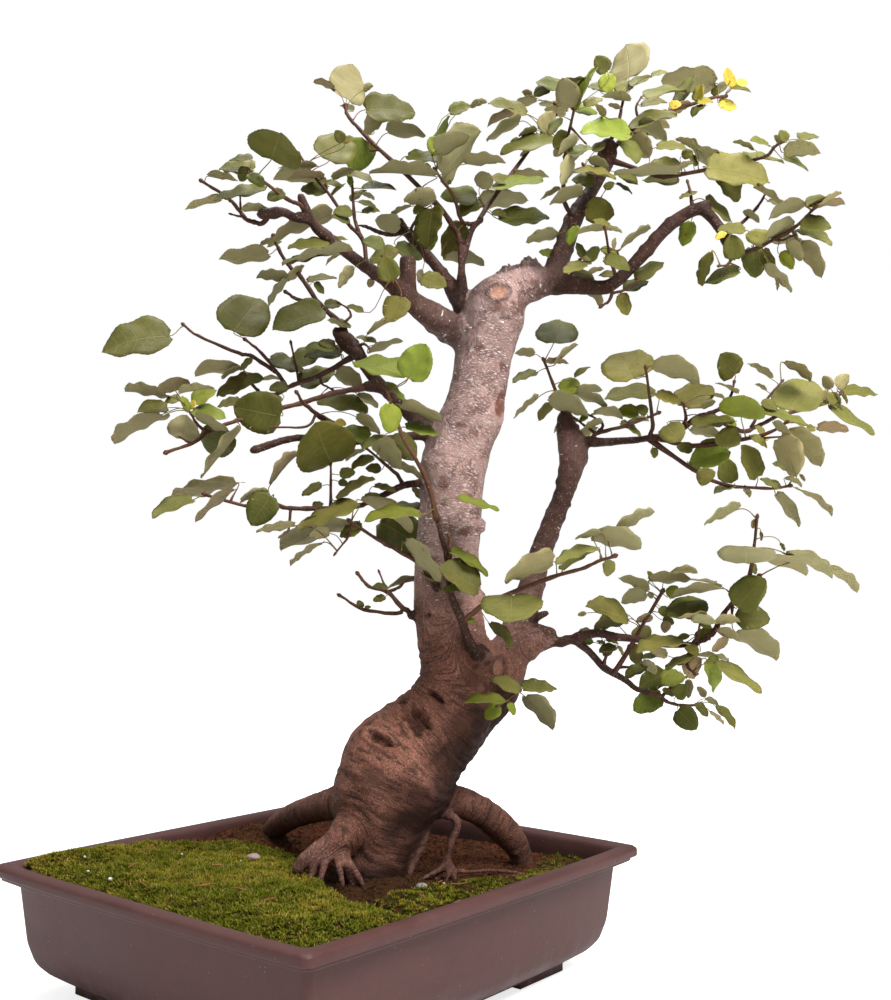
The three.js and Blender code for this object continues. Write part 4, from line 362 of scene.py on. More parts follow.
      (440,503,450,514,11,P), (432,501,428,490,6,R), (431,499,437,488,7,G), (434,498,443,488,6,P),
      (443,497,449,489,3,P), (434,490,425,487,4,G), (433,484,472,463,9,G)]),
    ("stem_mid", "stem_limb", -0.45, [(2.2,284,458,305,453,330,453,350,457,362,460,376,462,385,467,393,471),
        (1.3,352,458,368,458,392,460)],
     [(354,462,333,456,17,G), (344,449,311,436,22,B), (364,460,379,452,6,G), (372,458,380,459,5,Y),
      (368,469,375,462,5,G), (388,458,407,427,22,P), (395,464,427,439,18,P), (413,469,420,465,5,D),
      (422,468,449,466,9,R), (384,472,398,462,7,P), (356,477,359,496,35,B), (313,449,300,452,9,D)]),
    ("stem_low", "stem_limb", 0.3, [
        (2.1,276,455,285,451,297,445,308,438,320,430,330,422,340,420,350,418,360,417,375,415,395,417)],
     [(310,437,320,428,8,D), (327,432,321,417,14,G), (343,420,343,442,16,D), (349,417,331,411,6,D),
      (357,453,369,425,16,D), (383,438,402,427,7,D), (406,427,410,421,3,P), (371,423,389,416,6,G),
      (393,424,408,418,4,P), (404,414,436,398,3,P), (358,415,363,408,5,P), (385,410,407,384,10,P),
      (279,450,281,441,6,D)]),
    # The low limbs to the right
    ("low_right_up", "right_lowest", -0.4, [
        (2.3,240,260,247,262,251,268,257,278,260,285,264,292,269,300,275,309,285,325),
        (1.4,247,262,258,262,268,262)],
     [(221,316,255,302,15,G), (256,303,226,296,12,G), (236,315,221,317,4,P), (220,308,213,306,4,P),
      (250,320,272,324,12,P), (273,327,250,341,9,P), (273,325,278,322,5,P), (263,302,277,304,7,R),
      (290,305,284,313,8,D), (286,310,298,309,7,D), (286,302,296,300,7,D), (290,301,287,291,8,R),
      (264,285,273,299,14,G), (312,338,275,336,9,P), (293,341,315,346,6,P), (274,344,276,337,4,D),
      (291,322,299,331,9,B), (284,272,268,270,5,D), (270,262,253,254,9,D), (268,267,280,257,8,P),
      (262,282,262,263,12,G)]),
    ("low_right_spur", "right_lowest", -0.5, [(1.7,236,263,236,271,238,277)],
     [(224,293,213,291,5,P), (226,283,216,283,5,B), (229,285,236,282,3,G), (237,285,248,282,3,G),
      (246,279,231,275,7,G), (243,277,235,272,6,D), (247,280,252,272,3,P)]),
    ("low_right_end", "right_lowest", 0.4, [(1.9,271,241,283,238,288,233,300,230,312,230),
        (1.5,284,237,295,248,305,254,312,256)],
     [(287,256,264,246,18,D), (299,258,286,246,16,B), (284,238,259,227,18,B), (296,237,305,247,13,D),
      (309,236,306,251,7,P), (285,243,295,238,5,G), (298,226,313,210,20,D), (314,231,324,221,7,G),
      (321,237,315,246,6,P), (322,235,333,232,5,P), (325,225,336,213,4,P), (330,229,348,211,7,G)]),
    ("low_right_stub", "right_low_cut", -0.8, [(1.6,304,269,307,262,311,258)],
     [(318,270,306,255,14,R), (323,268,333,241,14,B), (330,265,370,241,10,G), (313,272,287,262,6,G),
      (311,272,342,269,3,P), (289,272,274,278,8,P)]),
    ("low_right_mid", "right_low", -0.6, [(1.6,312,282,316,290,318,301)],
     [(307,322,306,304,30,D), (299,303,322,306,4,P), (332,301,311,303,8,P), (316,284,327,297,11,D),
      (328,297,318,298,5,D), (316,275,304,278,9,D), (308,289,297,285,5,G), (304,283,263,279,10,G)]),
    ("low_right_far", "right_low", -0.2, [(2.4,324,287,330,293,338,307,345,315,352,325,358,332,367,338),
        (2.0,358,332,361,343,363,350,365,365,367,380,368,388), (1.7,347,317,345,306)],
     [(352,397,321,387,9,P), (368,388,363,381,5,R), (371,378,372,370,2.5,P), (358,351,357,370,42,P),
      (363,350,366,341,5,D), (369,355,410,348,8,P), (392,359,433,341,11,P), (424,347,455,330,7,P),
      (391,361,388,368,3,P), (350,313,374,338,25,D), (349,303,378,304,20,D), (331,300,352,303,8,P),
      (348,292,384,273,16,P), (333,294,350,285,8,P), (341,284,326,278,9,R), (309,338,330,333,3,P),
      (336,329,292,322,7,P)]),
]

# Fine roots at the foot of the trunk, the collar of the low right limb and the burl of the middle
# left one, as seen: (x, z, y, radius)
FINE_WOOD = [
    [(2, 110, -38, 7), (-8, 100, -47, 4.5), (-13, 89, -52, 3.2), (-16, 82, -54, 2.4)],
    [(0, 108, -41, 6), (-2, 98, -52, 3.8), (-5, 86, -58, 2.6), (-6, 80, -59, 2.2)],
    [(8, 108, -40, 6), (9, 99, -51, 3.6), (12, 87, -58, 2.8), (13, 79, -60, 2.2)],
    [(12, 106, -42, 6), (20, 96, -48, 4), (27, 86, -53, 3), (31, 78, -55, 2.4)],
    [(103, 100, -9, 3.2), (94, 92, -16, 2.6), (84, 87, -20, 2), (77, 83, -23, 1.6)],
    [(103, 98, -9, 2.8), (103, 90, -14, 2.2), (100, 82, -17, 1.8)],
    [(108, 92, -10, 2.6), (122, 91, -4, 1.8), (140, 92, 2, 1.5), (160, 90, 8, 1.3), (176, 86, 12, 1.1)],
    [(168, 88, 48, 7), (174, 82, 44, 4.2), (181, 77, 40, 3)],
    [(-50, 112, 148, 8), (-56, 102, 148, 6), (-62, 94, 146, 5)],
    [(150, 272, 24, 18), (168, 281, 22, 14.5), (180, 286, 20, 11.5), (187, 288, 18, 10)],
    [(126, 261, -6, 9), (129, 268, -11, 10), (130, 275, -13, 8)],
    [(27, 528, 57, 6), (21, 536, 60, 7.6), (16, 542, 62, 7.2), (12, 546, 63, 5.4), (12, 556, 62, 3.0)],
]

# Marks on the bark, as seen: (x, z, half length, half width, turn in degrees, lift, kind)
DARK, CUT, BUMP, WOUND, STAIN = range(5)
MARKS = [
    (75, 216, 18, 10, -52, -9, DARK), (64, 234, 8, 3, 25, -1.5, DARK),
    (44.5, 201, 15, 5.5, -28, -5, DARK), (90.5, 238, 12, 4, -42, -5.5, DARK),
    (112, 214, 14, 9, 20, -0.8, STAIN), (122, 252, 13, 9, -35, -3.0, STAIN),
    (33, 217, 9, 4, 35, -1.8, DARK), (130, 268, 11, 10, 10, 5.5, BUMP),
    (125, 263, 4, 3.2, 0, -2.2, DARK), (133, 265, 3.4, 3, 0, -2, DARK),
    (145, 262, 8.6, 5.2, 82, -2.6, CUT), (146.5, 587, 9.4, 6.8, 6, -1.6, CUT),
    (149, 487, 15, 6.5, 80, -2.4, WOUND), (131, 383, 8, 6, 60, 4.2, BUMP),
    (133, 380, 6, 3.4, 70, -1.5, WOUND), (22, 533, 5, 5, 0, 2.4, BUMP), (13, 547, 5, 4, 0, 2.2, BUMP),
    (18, 540, 3, 2, 0, -1.4, DARK), (147, 573, 11, 7, 0, -0.4, STAIN),
    (151, 564, 12, 1.4, -6, -0.9, DARK), (165, 574, 8, 13, 20, 0, STAIN),
    (128, 538, 6, 3.5, 0, 0, STAIN), (131, 560, 5, 3, 60, 0, STAIN), (150, 520, 4, 6, 0, -0.4, STAIN),
    (104, 512, 6, 4, 10, 0, STAIN), (112, 470, 8, 4, 0, 0, STAIN), (98, 420, 5, 9, 0, 0, STAIN),
    (118, 378, 10, 5, 20, 0, STAIN), (88, 345, 6, 10, 0, 0, STAIN), (40, 170, 14, 9, -40, 0, STAIN),
    (131, 322, 6, 5, 70, 3.0, BUMP), (84, 306, 3.2, 2.8, 0, -3, DARK), (86, 360, 9, 3, -30, 1.8, BUMP),
    (104, 442, 14, 2.2, -8, -0.9, BUMP), (140, 238, 10, 6, -40, 1.8, BUMP),
    (160, 305, 7, 7, 0, 2.0, BUMP), (168, 590, 9, 4, 20, 2.2, BUMP), (100, 560, 6, 4, 30, 1.6, BUMP)]

# Things that lie on the moss and the soil, in the pot's own x and y
PERLITE = [
    (-175, 155, 3.2), (-176, 118, 2.6), (-171, 62, 3.4), (-168, 96, 2.2), (-150, 128, 2.6),
    (-60, 40, 1.6), (34, -100, 2.2), (-80, 92, 1.8)]
NEEDLES = [
    (-143, 72, 15, 20), (-166, 26, 17, 75), (-143, -17, 16, -35), (-138, -50, 14, -80),
    (-136, -81, 15, 15), (-97, 25, 11, -20), (-106, -118, 10, 50), (34, -116, 16, -35),
    (31, -97, 15, 15), (60, 76, 16, 30), (-40, -140, 13, 60), (-20, -158, 11, 5), (120, -140, 12, 70),
    (-90, 120, 12, 45)]
PEBBLES = {"pebble_pink": (0.42, 0.30, 0.28), "pebble_grey": (0.32, 0.30, 0.28)}

# Where the moss lies, as corners on the soil in the pot's own x and y
MOSS_AREAS = {
    "moss_cushion": [
        (-183, -168), (-78, -168), (-76, -122), (-64, -84), (-44, -44), (-14, -4), (14, 36), (34, 70),
        (36, 96), (26, 120), (4, 138), (-40, 150), (-100, 160), (-120, 168), (-183, 168)],
    "moss_strip": [
        (-72, -168), (183, -168), (183, -112), (150, -114), (100, -117), (60, -101), (24, -88), (-14, -92),
        (-40, -92), (-62, -112)],
}


def draw(number):
    """The same whole number always gives the same value between 0 and 1."""
    v = ((number + 1) * 2654435761) & 0xFFFFFFFF
    v = ((v ^ (v >> 15)) * 2246822519) & 0xFFFFFFFF
    return (v ^ (v >> 13)) / 4294967296


def far(y):
    """How much larger a thing at depth y is than it looks in the picture plane."""
    return 1 - y / EYE[1]


def seen(x, z, y):
    """A point of the picture plane, moved back to depth y and turned into the row frame."""
    k = far(y)
    ax = EYE[0] + (x - EYE[0]) * k
    az = EYE[2] + (z - EYE[2]) * k
    c, s = math.cos(TURN), math.sin(TURN)
    return np.array((ax * c + y * s + MID[0], -ax * s + y * c + MID[1], az))


def as_seen(points):
    """Points of the row frame as x and z in the picture plane, and their depth."""
    c, s = math.cos(TURN), math.sin(TURN)
    x, y = points[:, 0] - MID[0], points[:, 1] - MID[1]
    ax, depth = x * c - y * s, x * s + y * c
    k = 1 - depth / EYE[1]
    return EYE[0] + (ax - EYE[0]) / k, EYE[2] + (points[:, 2] - EYE[2]) / k, depth


def unit(v):
    return v / max(np.linalg.norm(v), 1e-9)


def ramp(x, low, high):
    """0 below low, 1 above high and a smooth rise between."""
    t = np.clip((np.asarray(x, float) - low) / (high - low), 0, 1)
    return t * t * (3 - 2 * t)


def turned(v, axis, angle):
    """v turned about a unit axis."""
    c, s = math.cos(angle), math.sin(angle)
    return v * c + np.cross(axis, v) * s + axis * np.dot(axis, v) * (1 - c)


def smoothed(rows, steps):
    """Rows of numbers with steps rows a stretch on a smooth curve through them."""
    rows = np.asarray(rows, float)
    if len(rows) < 2:
        return rows
    p = np.vstack((2 * rows[0] - rows[1], rows, 2 * rows[-1] - rows[-2]))
    made = []
    for a, b, c, d in zip(p, p[1:], p[2:], p[3:]):
        for k in range(steps):
            t = k / steps
            made.append(0.5 * (2 * b + (c - a) * t + (2 * a - 5 * b + 4 * c - d) * t * t
                               + (3 * b - a - 3 * c + d) * t ** 3))
    made.append(rows[-1])
    return np.array(made)


def carried(line):
    """Along, normal and side directions at each point of a line, carried on without twist."""
    points = line[:, :3]
    run = np.gradient(points, axis=0)
    along = run / np.maximum(np.linalg.norm(run, axis=1, keepdims=True), 1e-9)
    normal = np.cross((0, 0, 1), along[0])
    if np.linalg.norm(normal) < 0.2:
        normal = np.array((1.0, 0, 0))
    normals = []
    for a in along:
        normal = unit(normal - a * np.dot(a, normal))
        normals.append(normal)
    normals = np.array(normals)
    return along, normals, np.cross(along, normals)


class Shape:
    """Points and faces that grow part by part, with values kept for each point."""

    def __init__(self, *names):
        self.points, self.faces, self.count = [], [], 0
        self.values = {name: [] for name in names}

    def add(self, points, faces, **values):
        points = np.asarray(points, float)
        self.points.append(points)
        self.faces += [tuple(i + self.count for i in face) for face in faces]
        self.count += len(points)
        for name, value in values.items():
            value = np.asarray(value, float)
            if value.ndim == 0 or len(value) != len(points):
                value = np.repeat(value[None], len(points), axis=0)
            self.values[name].append(value)

    def mesh(self, name):
        """All parts as one mesh, with the values kept for each point."""
        made = new_mesh(name, np.concatenate(self.points), self.faces)
        for kept, values in self.values.items():
            keep(made, kept, np.concatenate(values))
        return made


def grid_faces(columns, rows):
    """Faces between rows of points, with this many points in a row."""
    faces = []
    for j in range(rows - 1):
        for i in range(columns - 1):
            a = j * columns + i
            faces.append((a, a + 1, a + columns + 1, a + columns))
    return faces


def loft_faces(rows, around):
    """Faces between closed rows of around points each, and one at either end."""
    faces = []
    for i in range(rows - 1):
        for j in range(around):
            a, b = i * around + j, i * around + (j + 1) % around
            faces.append((a, b, b + around, a + around))
    last = (rows - 1) * around
    return faces + [tuple(reversed(range(around))), tuple(range(last, last + around))]


def tube(line, sides):
    """A closed round bar along rows of x, y, z and radius, as points and faces."""
    _, normals, across = carried(line)
    angles = 2 * math.pi * np.arange(sides) / sides
    rings = [p[:3] + p[3] * (np.outer(np.cos(angles), n) + np.outer(np.sin(angles), s))
             for p, n, s in zip(line, normals, across)]
    return np.concatenate(rings), loft_faces(len(rings), sides)


def ball(subdivisions):
    """The corners and faces of a ball of radius 1 made of triangles."""
    work = bmesh.new()
    bmesh.ops.create_icosphere(work, subdivisions=subdivisions, radius=1)
    work.verts.index_update()
    corners = [vertex.co.copy() for vertex in work.verts]
    faces = [tuple(vertex.index for vertex in face.verts) for face in work.faces]
    work.free()
    return corners, faces


def new_mesh(name, points, faces):
    mesh = bpy.data.meshes.new(name)
    mesh.from_pydata(np.asarray(points) * MM, [], faces)
    mesh.validate()
    mesh.update()
    return mesh


def new_object(name, mesh):
    made = bpy.data.objects.new(name, mesh)
    bpy.context.scene.collection.objects.link(made)
    return made


def keep(mesh, name, values):
    """Stores a number, a vector or a colour for each point, under a name that a material reads."""
    values = np.asarray(values, np.float32)
    kinds = {1: ("FLOAT", "value"), 3: ("FLOAT_VECTOR", "vector"), 4: ("FLOAT_COLOR", "color")}
    kind, part = kinds[values.size // len(values)]
    mesh.attributes.new(name, kind, "POINT").data.foreach_set(part, values.ravel())


def finished(made):
    """The object with its modifiers baked into a plain mesh."""
    graph = bpy.context.evaluated_depsgraph_get()
    mesh = bpy.data.meshes.new_from_object(made.evaluated_get(graph))
    made.modifiers.clear()
    old = made.data
    made.data = mesh
    bpy.data.meshes.remove(old)
    mesh.name = made.name
    return made


def place(made, material, replaced=(), soft=True):
    """Gives a piece its material, slot and body, and hides the nodes that it stands for."""
    if material is not None:
        made.data.materials.clear()
        made.data.materials.append(material)
    made.data.polygons.foreach_set("use_smooth", [soft] * len(made.data.polygons))
    if replaced:
        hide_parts(*replaced)
    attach(made, "root")


def field(points, size, shift=0.0):
    """Smooth noise between about -1 and 1 with features of a size."""
    return np.array([noise.noise(Vector(p)) for p in points / size + shift])


class Sheet:
    """The nodes of one tree, with short calls for the ones used most."""

    def __init__(self, tree):
        self.tree = tree

    def feed(self, socket, value):
        if isinstance(value, bpy.types.NodeSocket):
            self.tree.links.new(value, socket)
        else:
            socket.default_value = value

    def node(self, kind, inputs=None, **settings):
        made = self.tree.nodes.new(kind)
        for name, value in settings.items():
            setattr(made, name, value)
        for name, value in (inputs or {}).items():
            self.feed(made.inputs[name], value)
        return made

    def maths(self, operation, *values):
        made = self.node("ShaderNodeMath", operation=operation)
        for socket, value in zip(made.inputs, values):
            self.feed(socket, value)
        return made.outputs[0]

    def times(self, one, other):
        return self.maths("MULTIPLY", one, other)

    def mix(self, factor, low, high, blend="MIX"):
        made = self.node("ShaderNodeMix", data_type="RGBA", blend_type=blend)
        for index, value in ((0, factor), (6, low), (7, high)):
            self.feed(made.inputs[index], value)
        return made.outputs[2]

    def coat(self, under, paint, mask, share):
        """The colour under, with this share of a fixed paint over it where the mask is 1."""
        return self.mix(self.times(mask, share), under, rgba(paint))

    def noise(self, at, scale, detail=3.0, rough=0.55, warp=0.0):
        inputs = {"Vector": at, "Scale": scale, "Detail": detail, "Roughness": rough, "Distortion": warp}
        return self.node("ShaderNodeTexNoise", inputs).outputs[0]

    def fade(self, value, low, high, start=0.0, end=1.0):
        """start below low, end above high, and a smooth change between."""
        inputs = {"Value": value, "From Min": low, "From Max": high, "To Min": start, "To Max": end}
        return self.node("ShaderNodeMapRange", inputs, interpolation_type="SMOOTHSTEP").outputs[0]

    def read(self, name, output="Fac"):
        return self.node("ShaderNodeAttribute", attribute_name=name).outputs[output]

    def place(self):
        return self.node("ShaderNodeTexCoord").outputs["Object"]

    def stretched(self, at, scale):
        return self.node("ShaderNodeMapping", {"Vector": at, "Scale": scale}).outputs[0]

    def split(self, vector):
        return self.node("ShaderNodeSeparateXYZ", {"Vector": vector}).outputs

    def bump(self, height, distance, under=None, strength=1.0):
        made = self.node("ShaderNodeBump", {"Height": height, "Distance": distance, "Strength": strength})
        if under is not None:
            self.feed(made.inputs["Normal"], under)
        return made.outputs["Normal"]

    def use(self, group, inputs):
        tree = bpy.data.node_groups.get(group) or GROUPS[group]()
        made = self.node("ShaderNodeGroup", node_tree=tree)
        for name, value in inputs.items():
            self.feed(made.inputs[name], value)
        return made.outputs

    def mottle(self, at, scale, contrast):
        return self.use("Mottle", {"Vector": at, "Scale": scale, "Contrast": contrast})

    def specks(self, at, scale, share, radius):
        inputs = {"Vector": at, "Scale": scale, "Share": share, "Radius": radius}
        return self.use("Specks", inputs)["Mask"]


def new_group(name, inputs, outputs):
    """An empty shader group, as its sheet, its input sockets and its output sockets."""
    tree = bpy.data.node_groups.new(name, "ShaderNodeTree")
    for label, kind, value in inputs:
        socket = tree.interface.new_socket(name=label, in_out="INPUT", socket_type="NodeSocket" + kind)
        if value is not None:
            socket.default_value = value
    for label, kind in outputs:
        tree.interface.new_socket(name=label, in_out="OUTPUT", socket_type="NodeSocket" + kind)
    sheet = Sheet(tree)
    return sheet, sheet.node("NodeGroupInput").outputs, sheet.node("NodeGroupOutput").inputs


def mottle_group():
    """Soft patches with finer ones inside, for anything that has weathered unevenly."""
    sheet, given, out = new_group(
        "Mottle", [("Vector", "Vector", None), ("Scale", "Float", 20.0), ("Contrast", "Float", 1.0)],
        [("Mask", "Float"), ("Fine", "Float")])
    broad = sheet.noise(given["Vector"], given["Scale"], 3.0, 0.6, 0.4)
    fine = sheet.noise(given["Vector"], sheet.times(given["Scale"], 7.0), 3.0, 0.65)
    both = sheet.maths("ADD", sheet.times(broad, 0.7), sheet.times(fine, 0.3))
    spread = sheet.times(sheet.maths("SUBTRACT", both, 0.5), given["Contrast"])
    wide = sheet.maths("ADD", sheet.times(spread, 3.0), 0.5)
    sheet.feed(out["Mask"], sheet.fade(wide, 0.0, 1.0))
    sheet.feed(out["Fine"], fine)
    return sheet.tree


def speck_group():
    """Small round spots in some cells of a random pattern, such as dust, grit or pores."""
    sheet, given, out = new_group(
        "Specks", [("Vector", "Vector", None), ("Scale", "Float", 200.0), ("Share", "Float", 0.3),
                   ("Radius", "Float", 0.3)],
        [("Mask", "Float")])
    cell = sheet.node("ShaderNodeTexVoronoi", {"Vector": given["Vector"], "Scale": given["Scale"]})
    inside = sheet.maths("SUBTRACT", given["Radius"], cell.outputs["Distance"])
    chosen = sheet.maths("LESS_THAN", sheet.split(cell.outputs["Color"])["X"], given["Share"])
    sheet.feed(out["Mask"], sheet.times(sheet.fade(inside, 0.0, 0.08), chosen))
    return sheet.tree


GROUPS = {"Mottle": mottle_group, "Specks": speck_group}


def new_material(name, rough, specular=0.5):
    """A material, as its sheet and the inputs of its surface shader."""
    made = bpy.data.materials.new(name)
    made.use_nodes = True
    sheet = Sheet(made.node_tree)
    surface = made.node_tree.nodes["Principled BSDF"].inputs
    surface["Roughness"].default_value = rough
    surface["Specular IOR Level"].default_value = specular
    return made, sheet, surface


def rgba(colour, light=1.0):
    return (*(c * light for c in colour[:3]), 1.0)


# Fixed colours: dust, grime, painted shade of the inner wall and dried earth on the pot, painted shade in
# the hollows and the grit of the soil, painted shade in the creases and painted shadow in the hollows of the
# bark, spots and dry margins of the leaves
DUST, GRIME = (0.30, 0.26, 0.24), (0.20, 0.17, 0.15)
PAINTED_WALL_SHADE, DRIED_EARTH = (0.030, 0.016, 0.012), (0.026, 0.014, 0.009)
SOIL_HOLLOW_SHADE, SOIL_GRIT = (0.010, 0.005, 0.003), (0.20, 0.13, 0.08)
BARK_CREASE_SHADE, BARK_SHADOW = (0.02, 0.012, 0.009), (0.030, 0.013, 0.008)
LEAF_SPOT, LEAF_MARGIN = (0.19, 0.075, 0.028), (0.20, 0.085, 0.035)
# How much darker the mottled patches of a leaf and of a twig are in red, green and blue
LEAF_DUSK, TWIG_DUSK = (0.70, 0.74, 0.66), (0.55, 0.5, 0.5)


def pot_material(look):
    """Moulded brown plastic, satin, with dust on its ledges, and painted shade and earth on its inner wall.
    """
    made, sheet, surface = new_material("pot_plastic", 0.42, 0.16)
    at = sheet.place()
    soft = sheet.mottle(at, 9.0, 0.9)
    base = rgba(look.colour)
    pale = rgba([c * 1.22 + 0.006 for c in look.colour])
    colour = sheet.mix(soft["Mask"], base, pale)
    dust = sheet.specks(at, 330.0, look.dust, 0.2)
    colour = sheet.coat(colour, DUST, dust, 0.5)
    streaks = sheet.noise(sheet.stretched(at, (60, 60, 5)), 1.0, 4.0, 0.6)
    low = sheet.fade(sheet.split(at)["Z"], 0.045, 0.012)
    grime = sheet.times(sheet.fade(streaks, 0.45, 0.75), low)
    colour = sheet.coat(colour, GRIME, grime, 0.35)
    earth = sheet.times(sheet.read("inner"), sheet.fade(sheet.noise(at, 45.0), 0.3, 0.7))
    # Painted shade over the whole inner wall, darker than the outside
    colour = sheet.coat(colour, PAINTED_WALL_SHADE, sheet.read("inner"), 0.45)
    colour = sheet.coat(colour, DRIED_EARTH, earth, 0.55)
    sheet.feed(surface["Base Color"], colour)
    rough = sheet.fade(soft["Mask"], 0.0, 1.0, 0.36, 0.5)
    sheet.feed(surface["Roughness"], sheet.maths("ADD", rough, sheet.times(earth, 0.35)))
    grain = sheet.noise(at, 1400.0, 2.0, 0.5)
    sheet.feed(surface["Normal"], sheet.bump(grain, 0.00012, sheet.bump(soft["Fine"], 0.0003)))
    return made


def soil_material(look):
    """Peat and bark crumbs: red-brown where it is dry, almost black where it is damp, with painted shade in
    the hollows between the crumbs.
    """
    made, sheet, surface = new_material("soil_peat", 0.95, 0.06)
    at = sheet.place()
    patch = sheet.mottle(at, 24.0, 1.3)
    x, y = (sheet.split(at)[k] for k in "XY")
    depth = sheet.maths("ADD", sheet.times(x, 0.77), sheet.times(y, 0.64))
    back = sheet.fade(depth, -0.07, 0.03, 0.12, 1.0)
    colour = sheet.mix(sheet.times(patch["Mask"], back), rgba(look.damp), rgba(look.dry))
    shade = sheet.read("shade")
    pale = sheet.times(sheet.fade(shade, 0.3, 1.0, 0.0, 0.75), back)
    colour = sheet.mix(pale, colour, rgba(look.dry, 1.9))
    # Painted shade, almost black, in the hollows between the crumbs
    hollow_shade = sheet.fade(sheet.noise(at, 190.0, 3.0, 0.6), 0.52, 0.34)
    colour = sheet.coat(colour, SOIL_HOLLOW_SHADE, hollow_shade, 0.8)
    grit = sheet.specks(at, 420.0, 0.12, 0.3)
    colour = sheet.coat(colour, SOIL_GRIT, grit, 0.5)
    sheet.feed(surface["Base Color"], colour)
    crumbs = sheet.noise(at, 600.0, 4.0, 0.7)
    sheet.feed(surface["Normal"], sheet.bump(crumbs, 0.0022))
    return made


def moss_material(look):
    """Moss: painted shade between the shoots and at their feet, bright green leaves, and tips that turn
    yellow or tan.
    """
    made, sheet, surface = new_material("moss_green", 0.85, 0.04)
    at = sheet.place()
    patch = sheet.mottle(at, 15.0, 2.6)
    shade = sheet.read("shade")
    tip = sheet.read("tip")
    green = sheet.mix(patch["Mask"], rgba(look.green), rgba(look.yellow))
    green = sheet.mix(sheet.fade(shade, 0.2, 1.0, 0.0, 0.5), green, rgba(look.bright))
    tan = sheet.times(sheet.fade(shade, 0.55, 0.9), sheet.fade(patch["Fine"], 0.38, 0.6))
    tan = sheet.times(tan, sheet.fade(tip, 0.55, 0.95, 0.15, 0.85))
    green = sheet.mix(tan, green, rgba(look.tan))
    earth = sheet.fade(sheet.noise(at, 70.0, 3.0, 0.6), 0.42, 0.58)
    # Painted shade at the feet of the shoots and on the bed between them, mixed with the earth that shows in
    # thin moss
    root = sheet.mix(earth, rgba(look.deep), rgba(look.root))
    colour = sheet.mix(sheet.fade(tip, 0.15, 0.75), root, green)
    sheet.feed(surface["Base Color"], colour)
    sheet.feed(surface["Normal"], sheet.bump(sheet.noise(at, 900.0, 3.0, 0.7), 0.0009))
    return made


